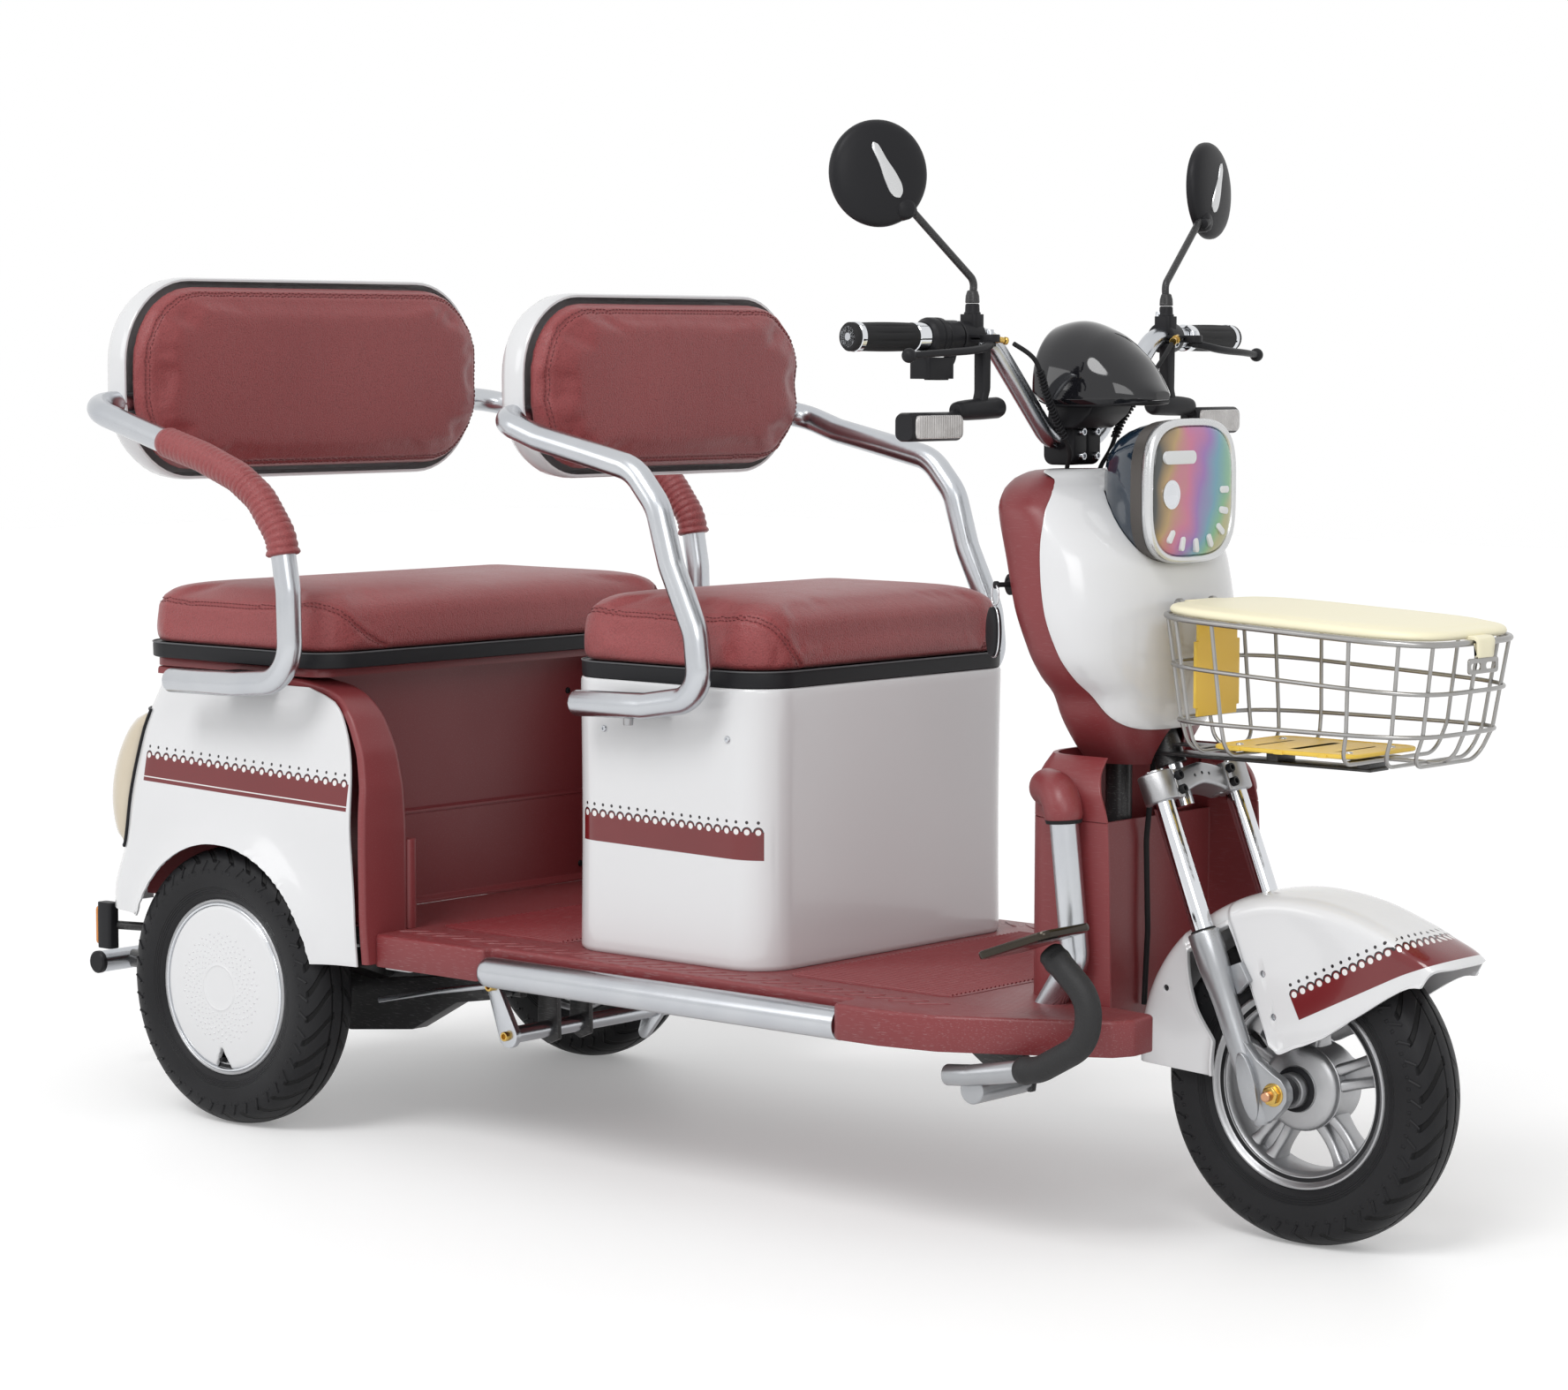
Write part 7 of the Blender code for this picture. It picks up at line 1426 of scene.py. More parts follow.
def makeFloor():
    sizes = {"top": 0.277, "skin": 0.0035, "roll": 0.0048, "matTop": 0.2782, "matHalf": 0.235, "ribGap": 0.0082,
             "rib": 0.002,
             "padGap": 0.031, "padY": 0.283}
    top, skin, roll = sizes["top"], sizes["skin"], sizes["roll"]
    half = floorRow()
    loops = [floorLoop(half, skin, lambda z: top - skin), floorLoop(half, skin, lambda z: z),
             floorLoop(half, 0.0008, lambda z: z),
             floorLoop(half, 0.0, lambda z: z + 0.001)]
    for i in range(6):
        t = math.pi / 2 * i / 5
        loops.append(floorLoop(half, roll * (1 - math.cos(t)), lambda z, t=t: top - roll * (1 - math.sin(t))))
    pan = makePiece("floorPan", loft(loops), "floorMoulding", "chassis", "floor_pan", angle=40)
    mats, ribs = [], []
    for rear, front in ((0.868, 1.125), (0.272, 0.495)):
        outline = rounded(rear, front, -sizes["matHalf"], sizes["matHalf"], 0.02, 8)
        smaller = rounded(rear + 0.001, front - 0.001, -sizes["matHalf"] + 0.001, sizes["matHalf"] - 0.001, 0.019, 8)
        mats.append(loft([[(x, y, top - 0.001) for x, y in outline], [(x, y, sizes["matTop"] - 0.0006) for x,
                                                                      y in outline],
                          [(x, y, sizes["matTop"]) for x, y in smaller]]))
        count = int(sizes["matHalf"] * 2 / sizes["ribGap"])
        for i in range(1, count):
            y = -sizes["matHalf"] + i * sizes["ribGap"]
            ribs.append([(rear + 0.006, y, sizes["matTop"] - 0.0002), (front - 0.006, y, sizes["matTop"] - 0.0002)])
    makePiece("floorMats", merge(*mats), "floorMoulding", "chassis", (), angle=40)
    tubes("floorRibs", ribs, sizes["rib"], "redMoulding", "chassis", 8)
    for side, name in ((1, "left"), (-1, "right")):
        lean = math.radians(38)
        outline = []
        for a, b in oval(0.024, 0.0036, 2.6, 14):
            outline.append((a * math.cos(lean) + side * b * math.sin(lean),
                            side * -a * math.sin(lean) + b * math.cos(lean)))
        pad = stampObject("padStamp", loft([[(a * s, b * s, z) for a, b in outline] for s,
                                            z in ((1, -0.001), (1, 0.0005), (0.9, 0.0011))]))
        paths = [[(x, side * sizes["padY"], top) for x in (rear, front)] for rear,
                 front in ((0.275, 0.5), (0.52, 0.85), (0.87, 1.13))]
        runTree("floorPads_" + name, rowTree, pathMesh("floorPads_" + name, paths),
                {"Stamp": pad, "Spacing": sizes["padGap"], "Size": 1.0}, "redMoulding", "chassis")
        bpy.data.objects.remove(pad, do_unlink=True)
    return pan


makeFloor()
print("floor made")


# Rear body in red: recessed front, two pillars with rounded shoulders and the deck under the seat


def makeRearBody():
    sizes = {"front": 0.0905, "arch": 0.275, "skin": 0.004, "near": 0.2725, "base": 0.2773, "deckHalf": 0.33}
    base, skin, parts = sizes["base"], sizes["skin"], []
    profile = [(0.256, 0.238), (0.256, base), (0.256, 0.41), (0.252, 0.465), (0.24, 0.513), (0.216, 0.557),
               (0.19, 0.579), (0.16, 0.592),
               (0.11, 0.599), (0.05, 0.6015), (-0.17, 0.6015)]
    fine = fillet([(x, 0, z) for x, z in profile], 0.09, 3)
    for _ in range(2):
        fine = [fine[0]] + [q for a, b in zip(fine, fine[1:]) for q in (a.lerp(b, 0.25), a.lerp(b, 0.75))] + [fine[-1]]
    for side in (1, -1):
        loops = []
        for i, here in enumerate(fine):
            run = (fine[min(i + 1, len(fine) - 1)] - fine[max(i - 1, 0)]).normalized()
            inward = Vector((-run.z, 0, run.x))
            near = sizes["near"] - 0.0012
            high = min(panelHalf(min(here.z, 0.59)) - 0.0033, 0.36)
            blend = min(1, max(0, (here.z - 0.565) / 0.015))
            high = high + (sizes["deckHalf"] - high) * blend
            r = 0.012
            section = [(near, 0.022)] + [(near + r - r * math.cos(t), r - r * math.sin(t))
                                         for t in spread(0, math.pi / 2, 7)]
            section += [(high - 0.005 + 0.005 * math.sin(t), 0.005 - 0.005 * math.cos(t))
                        for t in spread(0, math.pi / 2, 5)]
            section += [(high, 0.01), (high - skin * 0.5, 0.01), (high - skin, skin + 0.001),
                        (near + skin + 0.004, skin + 0.001),
                        (near + skin, skin + 0.005), (near + skin, 0.022)]
            loops.append([here + Vector((0, side * y, 0)) + inward * d for y, d in section])
        parts.append(loft(loops))
        wall = [(0.256 - 0.0012, base)] + [(x - 0.0012, z - 0.0012) for x, z in profile[2:]]
        wall += [(-0.182, 0.6), (-0.215, 0.5), (-0.238, 0.367), (-0.262, 0.29), (-0.262, base)]
        wall = [(x - 0.013 if x > 0.04 else x, z) for x, z in wall]
        a, b = sorted((side * (sizes["arch"] - skin), side * sizes["arch"]))
        parts.append(slab(wall, a, b, "y"))
        a, b = sorted((side * 0.255, side * 0.274))
        foot = rounded(0.0875, 0.2552, a, b, 0.008, 6)
        parts.append(loft([[(x, y, z) for x, y in foot] for z in (base, 0.3915)] +
                          [[(x * 0.996 + 0.0007, y - side * 0.001, 0.394) for x, y in foot]]))
    x = sizes["front"]
    recess = [(x + 0.0105, base), (x + 0.0105, base + 0.003), (x + 0.0085, base + 0.0052), (x + 0.003, base + 0.006),
              (x, base + 0.009), (x, 0.3995), (x - 0.0013, 0.4), (x - 0.0013, 0.4014), (x, 0.4018),
              (x - 0.0006, 0.4046), (x - 0.005, 0.408),
              (x - 0.005, 0.59), (x - 0.004, 0.6115), (x - 0.009, 0.6115), (x - 0.009, 0.406),
              (x - skin - 0.001, 0.402), (x - skin, base)]
    parts.append(slab(recess, -sizes["arch"] + 0.002, sizes["arch"] - 0.002, "y"))
    outer = rounded(-0.186, 0.15, -0.33, 0.33, 0.03, 10)
    inner = rounded(-0.16, 0.055, -0.235, 0.235, 0.03, 10)
    low, high = 0.6025, 0.6145
    ring = [[(a, b, low) for a, b in outer], [(a, b, high - 0.002) for a, b in outer],
            [(a * 0.995, b * 0.995, high) for a, b in outer],
            [(a, b, high) for a, b in inner], [(a, b, low) for a, b in inner]]
    parts.append(loft(ring, closed=True))
    makePiece("rearBody", merge(*parts), "redMoulding", "chassis", "rear_body", angle=40)
    spots = [((0.0862, y, 0.548), (1, 0, 0)) for y in (-0.205, 0.205)] + [((0.0908, y, 0.3), (1, 0, 0))
                                                                          for y in (-0.225, 0.225)]
    fasteners("bodyScrews", spots, 0.0045, "blackTrim", "chassis")


makeRearBody()
print("rear body made")


# Leg shield and cowl


def shieldHalf(z):
    return along(((0.2773, 0.157), (0.515, 0.157), (0.54, 0.146), (0.56, 0.122)), z)


def shieldLoop(z, inside, sink):
    skin, rear, web = 0.004, 1.155 + sink, 1.218
    half = shieldHalf(z) - sink
    front = along(((0.2773, 1.295), (0.48, 1.289), (0.56, 1.262)), z)
    if inside:
        rear, half = rear + skin, half - skin
    corner = 0.062
    points = [(rear, 0.0), (rear + 0.0015, (half - corner) * 0.5)]
    for t in spread(0, math.pi / 2, 10):
        points.append((rear + 0.003 + corner * 0.72 * (1 - math.cos(t)), half - corner + corner * math.sin(t)))
    if inside:
        points += [(web - skin - 0.0006, half), (web - skin, half - 0.0015)]
        points += [(web - skin, half * part) for part in (0.95, 0.9, 0.8, 0.7, 0.6, 0.5, 0.35, 0.2, 0.0)]
    else:
        points += [(web - 0.001, half), (front - 0.0016, half), (front - 0.0004, half - 0.0006), (front, half - 0.002),
                   (front - 0.0004, half - 0.0034), (front - 0.0016, half - 0.004), (web + 0.003, half - 0.004),
                   (web + 0.0006, half - 0.0052), (web, half - 0.008), (web, half * 0.5), (web, 0.0)]
    return points


def makeLegShield():
    sizes = {"base": 0.2773, "top": 0.56, "skirt": 0.235, "joint": 0.489, "jointDepth": 0.0014, "webTop": 0.475}
    heights = [sizes["base"], 0.285] + spread(0.3, 0.485, 12) + [sizes["joint"] - 0.0011, sizes["joint"] - 0.0007,
                                                                 sizes["joint"],
                                                                 sizes["joint"] + 0.0004] + spread(0.492, sizes["top"],
                                                                                                   12)

    def loop(z, inside):
        sink = sizes["jointDepth"] if not inside and abs(z - sizes["joint"] + 0.00035) < 0.0004 else 0.0
        half = shieldLoop(z, inside, sink)
        around = half + [(x, -y) for x, y in reversed(half[1:-1])]
        skirt = z == sizes["base"] and not inside
        return [(x, y, sizes["skirt"] if skirt and x > 1.2175 else z) for x, y in around]

    heightsIn = [z for z in heights if abs(z - sizes["joint"]) > 0.002]
    shape = loft([loop(z, False) for z in heights] + [loop(z, True) for z in reversed(heightsIn)], closed=True)
    mesh = makePiece("legShield", shape, "redMoulding", None, angle=40)
    window = []
    for z in (sizes["webTop"], 0.515, 0.54, sizes["top"], sizes["top"] + 0.03):
        reach = shieldHalf(z) - 0.0043 - 0.6 * max(z - sizes["top"], 0)
        low, high = 1.2132, 1.325
        window.append([(low, -reach, z), (high, -reach, z), (high, reach, z), (low, reach, z)])
    cutWith(mesh, [loft(window)], solver="MANIFOLD")
    shade(mesh, 40)
    settle(mesh, "chassis", "leg_shield")
    shoulders, rims = [], []
    for side in (1, -1):  # the guard tube leaves the shield through a rounded shoulder with a dark rim
        path = [p for p in guardPath() if side * p.y > 0.1495]
        path = path if side > 0 else list(reversed(path))
        low = Vector((1.2435, side * 0.18, 0.49))
        route = [low] + [p for p in path if p.z > 0.4925]
        radii = [0.0205] + [0.0226] * (len(route) - 1)
        shoulders.append(sweep(route, radii, 40))
        rims.append(lathe([(-0.0022, 0.0171), (-0.0022, 0.0206), (0.0022, 0.0218), (0.0022, 0.0171)], low,
                          route[1] - low, 44, closed=True))
    makePiece("guardShoulders", merge(*shoulders), "redMoulding", "chassis", (), angle=50)
    makePiece("guardRims", merge(*rims), "softBlack", "chassis", (), angle=50)


makeLegShield()


def cowlHalf(z):
    return along(((0.545, 0.054), (0.568, 0.081), (0.602, 0.108), (0.629, 0.12), (0.651, 0.143), (0.68, 0.16),
                  (0.735, 0.17),
                  (0.8, 0.168), (0.845, 0.164), (0.868, 0.146), (0.888, 0.1)), z)


def cowlFront(z):
    return along(((0.545, 1.258), (0.57, 1.27), (0.6, 1.278), (0.7, 1.286), (0.78, 1.276), (0.84, 1.236),
                  (0.868, 1.208),
                  (0.888, 1.176)), z)


def cowlRear(z):
    return along(((0.545, 1.168), (0.65, 1.15), (0.75, 1.12), (0.85, 1.1), (0.888, 1.098)), z)


def cowlSpot(z, turn, lift=0.0):  # turn runs from the middle of the front round to the left
    rear, front = cowlRear(z), cowlFront(z)
    middle = rear + (front - rear) * 0.42
    c, s = math.cos(turn), math.sin(turn)
    depth = front - middle if c >= 0 else middle - rear
    power = 2.5 if c >= 0 else 2.9
    return Vector((middle + math.copysign(abs(c) ** (2 / power), c) * (depth + lift),
                   math.copysign(abs(s) ** (2 / power), s) * (cowlHalf(z) + lift), z))


lampZ = 0.868


def lampLoop(x, halfY, halfZ):
    return [(x, y, z) for y, z in oval(halfY, halfZ, 3.4, 56, 0, lampZ)]


def lampBody(margin=0.0):
    rows = ((1.205, 0.05, 0.048), (1.21, 0.06, 0.057), (1.223, 0.071, 0.067), (1.236, 0.0778, 0.0735),
            (1.25, 0.0825, 0.078),
            (1.266, 0.0863, 0.0813), (1.282, 0.089, 0.084), (1.292, 0.09, 0.085))
    return [lampLoop(x - (margin if i == 0 else 0), y + margin, z + margin) for i, (x, y, z) in enumerate(rows)]


def makeCowl():
    sizes = {"steps": 96, "wall": 0.004, "mouth": 0.038, "top": 0.888, "overlay": 0.0024, "gap": 0.0015}
    heights = [0.545, 0.55] + spread(0.556, 0.87, 44) + [0.876, 0.8815]
    steps = sizes["steps"]

    def ring(z, lift):
        return [cowlSpot(z, 2 * math.pi * (i + 0.5) / steps, lift) for i in range(steps)]

    mouthX = steerSpot((sizes["top"] - 0.515) / math.cos(rake)).x

    def mouth(z, radius):
        return [Vector((mouthX + radius * math.cos(2 * math.pi * (i + 0.5) / steps),
                        radius * 1.1 * math.sin(2 * math.pi * (i + 0.5) / steps), z)) for i in range(steps)]

    edge, collar = ring(0.8815, 0.0), mouth(sizes["top"], sizes["mouth"])
    crown = [[a.lerp(b, t) + Vector((0, 0, 0.0042 * math.sin(math.pi * t))) for a, b in zip(edge, collar)]
             for t in (0.2, 0.4, 0.6, 0.8)]
    outer = [ring(z, 0.0) for z in heights] + crown + [collar, mouth(sizes["top"] + 0.0018, sizes["mouth"] - 0.001)]
    inner = [ring(z - sizes["wall"] * (z > 0.86), -sizes["wall"]) for z in reversed(heights[::3])]
    inner.insert(0, mouth(sizes["top"] - 0.0035, sizes["mouth"] - 0.001))
    lamp = loft(lampBody(0.0008) + [lampLoop(1.32, 0.0908, 0.0858)])
    body = makePiece("cowlBody", loft(outer + inner, closed=True), "redMoulding", None, angle=35)
    neck = sweep([steerSpot(-0.04), steerSpot(0.075)], 0.026, 40)
    cutWith(body, [lamp, neck])
    shade(body, 35)
    settle(body, "chassis", "cowl_rear")
    seam = [(1.12, 0.93), (1.138, 0.893), (1.168, 0.884), (1.19, 0.866), (1.1965, 0.838), (1.198, 0.8), (1.203, 0.75),
            (1.214, 0.7), (1.231, 0.65), (1.246, 0.612),
            (1.262, 0.593), (1.28, 0.587), (1.33, 0.587)]
    for _ in range(3):
        seam = [seam[0]] + [(a[0] + (b[0] - a[0]) * t, a[1] + (b[1] - a[1]) * t) for a,
                            b in zip(seam, seam[1:]) for t in (0.25, 0.75)] + [seam[-1]]
    turns = spread(-math.pi * 0.64, math.pi * 0.64, 76)
    levels = spread(0.568, 0.8815, 48)

    def shieldRows(lift):
        rows = [[cowlSpot(z, t, lift) for t in turns] for z in levels]
        for part in (0.08, 0.18, 0.3, 0.44):
            row = []
            for t, spot in zip(turns, rows[len(levels) - 1]):
                rim = Vector((mouthX + sizes["mouth"] * math.cos(t), sizes["mouth"] * 1.1 * math.sin(t), sizes["top"]))
                row.append(spot.lerp(rim, part) + Vector((0, 0,
                                                          0.0042 * math.sin(math.pi * part) + lift * min(1, part * 5))))
            rows.append(row)
        return rows

    shell = shellOf(shieldRows(sizes["gap"] + sizes["overlay"]), shieldRows(sizes["gap"]))
    front = makePiece("cowlShield", shell, "whitePanel", None, angle=35)
    cutWith(front, [slab(seam + [(1.33, 0.93)], -0.25, 0.25, "y")], "INTERSECT")
    cutWith(front, [lamp])
    bevelled(front, 0.0007, 50)
    settle(front, "chassis", "cowl_front")
    fasteners("cowlScrew", [(cowlSpot(0.6105, -0.02, 0.0036), (1, 0, 0))], 0.0036, "blackTrim", "chassis")


makeCowl()
print("leg shield and cowl made")


def makeHeadlight():
    sizes = {"ringInner": (0.0805, 0.0758)}
    back = lampBody()[:6]
    shell = back + [lampLoop(1.268, 0.0862, 0.0813), lampLoop(1.268, 0.06, 0.056)]
    makePiece("lampShell", loft(shell), "blueBlack", "chassis", "headlight_housing", angle=40)
    band = [lampLoop(1.2662, 0.0855, 0.0806), lampLoop(1.2668, 0.0874, 0.0824), lampLoop(1.275, 0.0884, 0.0834),
            lampLoop(1.2828, 0.0889, 0.0839),
            lampLoop(1.2834, 0.0878, 0.0828), lampLoop(1.2834, 0.07, 0.066)]
    makePiece("lampBand", loft(band), "bandBronze", "chassis", "headlight_housing", angle=40)
    y, z = sizes["ringInner"]
    ring = [lampLoop(1.2836, 0.076, 0.0712), lampLoop(1.2836, 0.0882, 0.0832), lampLoop(1.2842, 0.0893, 0.0843),
            lampLoop(1.291, 0.09, 0.085),
            lampLoop(1.2938, 0.0893, 0.0843), lampLoop(1.2956, 0.0879, 0.0829), lampLoop(1.2964, 0.0858, 0.0808),
            lampLoop(1.296, 0.0832, 0.0783), lampLoop(1.2945, y + 0.0004, z + 0.0004), lampLoop(1.289, y, z)]
    makePiece("lampRing", loft(ring, closed=True), "ringSilver", "chassis", "headlight_housing",
              angle=60)
    dome = [lampLoop(1.286, y - 0.0003, z - 0.0003), lampLoop(1.293, y - 0.0003, z - 0.0003),
            lampLoop(1.2948, y - 0.0012, z - 0.0012)]
    for inset, lift in ((0.004, 1.296), (0.01, 1.2972), (0.02, 1.2984), (0.034, 1.2994), (0.052, 1.2999), (0.07, 1.3)):
        dome.append(lampLoop(lift, y - inset, z - inset))
    makePiece("lampLens", loft(dome), "rainbowLens", "chassis", "headlight_lens", angle=60)
    # white pill-shaped strips laid on the lens are painted reflections
    parts = []
    for spotY, spotZ, length, lean, wide in (
            (-0.034, 0.908, 0.064, 0, 0.0078), (0.057, 0.8685, 0.018, 0, 0.004), (0.056, 0.844, 0.018, 8, 0.004),
            (0.05, 0.822, 0.018, 38, 0.0038), (0.029, 0.809, 0.017, 62, 0.0038), (0.001, 0.8045, 0.017, 78, 0.0038),
            (-0.027, 0.807, 0.017, 102, 0.0038), (-0.05, 0.816, 0.017, 124, 0.0038)):
        turn = math.radians(-lean)
        outline = rounded(-length / 2, length / 2, -wide, wide, wide * 0.96, 5)
        loops = []
        for x, s in ((1.2955, 1.0), (1.3004, 1.0), (1.3009, 0.8)):
            loops.append([(x, spotY + (a * math.cos(turn) - b * math.sin(turn)) * s,
                           spotZ + (a * math.sin(turn) + b * math.cos(turn)) * s)
                          for a, b in outline])
        parts.append(loft(loops))
    makePiece("lampMarks", merge(*parts), "lampWhite", "chassis", (), angle=40)
    bulb = [(1.2948, 0.0), (1.2948, 0.017), (1.2996, 0.017), (1.3003, 0.0155), (1.2999, 0.0146), (1.2999, 0.0118),
            (1.3006, 0.0095),
            (1.3014, 0.0055), (1.3017, 0.0)]
    makePiece("lampBulb", lathe([(a - 1.2948, r) for a, r in bulb], (1.2948, -0.05, 0.865), (1, 0, 0), 40),
              "chromeTube",
              "chassis", (), angle=50)


makeHeadlight()


def makeBattery():
    sizes = {"low": 0.4326, "lid": 0.1096, "high": 0.13}
    base = sizes["low"]
    box = rounded(-0.18, 0.05, -0.166, 0.166, 0.012, 5)
    lid = rounded(-0.176, 0.046, -0.162, 0.162, 0.01, 5)
    levels = [[(x, y, base) for x, y in box], [(x, y, base + sizes["lid"]) for x, y in box],
              [(x, y, base + sizes["lid"] + 0.0004) for x, y in lid],
              [(x, y, base + sizes["high"]) for x, y in lid]]
    handle = sweep(fillet([(-0.065, -0.06, base + 0.128), (-0.065, -0.06, base + 0.152), (-0.065, 0.06, base + 0.152),
                           (-0.065, 0.06, base + 0.128)], 0.012, 15), 0.006, 14)
    makePiece("batteryPack", merge(loft(levels), handle), "caseGrey", "chassis", "battery_pack",
              bevel=0.0015)


makeBattery()
print("headlight and battery made")


# Steering: crown, fork, fender, handlebar, hood and mirrors


def makeCrown():
    sizes = {"legY": 0.075, "legAhead": 0.0246, "half": 0.0175, "collar": 0.021, "hole": 0.0021}
    parts, bolts = [], []
    loops = []
    for y in spread(-0.06, 0.06, 25):
        t = min(1, abs(y) / 0.052)
        high = 0.0225 * math.sqrt(max(0, 1 - (y / 0.075) ** 2)) - 0.0045 * t
        low = -0.004 - 0.0135 * t ** 1.6
        rear, front = 0.0 - 0.02 * (1 - t) ** 2, 0.038 - 0.003 * t
        loops.append([steerSpot(s, d, y) for d, s in rounded(rear, front, low, high, 0.0045, 4)])
    bridge = makePiece("forkBridge", loft(loops), "castMetal", None, angle=40)
    cutWith(bridge, [lathe([(0, 0), (0, sizes["hole"]), (0.014, sizes["hole"]), (0.014, 0)],
                           steerSpot(0.0085 - abs(y) * 0.12, 0.0335, y),
                           steerSpot(0, 1) - steerSpot(0), 18) for y in (-0.0145, 0.0, 0.0145)])
    shade(bridge, 40)
    settle(bridge, "steering", "fork_crown")
    for side in (1, -1):
        base = steerSpot(0, sizes["legAhead"], side * sizes["legY"])
        half, r = sizes["half"], sizes["collar"]
        profile = [(-half, 0.0134), (-half, r - 0.0016), (-half + 0.0008, r - 0.0005), (-half + 0.002, r),
                   (half - 0.002, r), (half - 0.0008, r - 0.0005),
                   (half, r - 0.0016), (half, 0.0134)]
        parts.append(lathe(profile, base, steerUp, 56))
        a, b = sorted((side * 0.0465, side * 0.059))
        for front, back in ((0.0395, 0.0262), (0.024, 0.008)):
            lug = rounded(back, front, a, b, 0.0028, 4)
            parts.append(loft([[steerSpot(s, d, y) for d, y in lug] for s in (-half + 0.0005, half - 0.0005)]))
        ahead = steerSpot(0, 1) - steerSpot(0)
        bolts += [(steerSpot(s, 0.039, side * 0.053), ahead) for s in (-0.0085, 0.0085)]
    makePiece("forkCollars", merge(*parts), "castMetal", "steering", (), angle=40, bevel=0.0008)
    fasteners("crownBolts", bolts, 0.0056, "blackTrim", "steering", socketStamp)
    stem = [lathe([(-0.0215, 0), (-0.0215, 0.0125), (0.375, 0.0125), (0.375, 0)], steerSpot(0), steerUp, 40),
            lathe([(0.0165, 0.0), (0.0165, 0.0168), (0.0172, 0.0175), (0.0208, 0.0175), (0.0214, 0.0168), (0.0214, 0)],
                  steerSpot(0), steerUp, 48)]
    makePiece("steererTube", merge(*stem), "chromeTube", "steering", (), angle=40)
    clamp = rounded(1.095, 1.141, 0.895, 0.946, 0.012, 6)
    post = [(1.112, 0.94), (1.136, 0.94), (1.165, 0.9665), (1.122, 0.9665)]
    makePiece("barClamp", merge(slab(clamp, -0.027, -0.0008, "y"), slab(clamp, 0.0008, 0.027, "y"),
                                slab(post, -0.016, 0.016, "y")),
              "blackTrim", "steering", (), bevel=0.0022, angle=30)
    fasteners("clampBolts", [((1.1415, y, z), (1, 0, 0)) for y in (-0.014, 0.014) for z in (0.906, 0.935)], 0.0046,
              "satinSteel",
              "steering", socketStamp)


makeCrown()


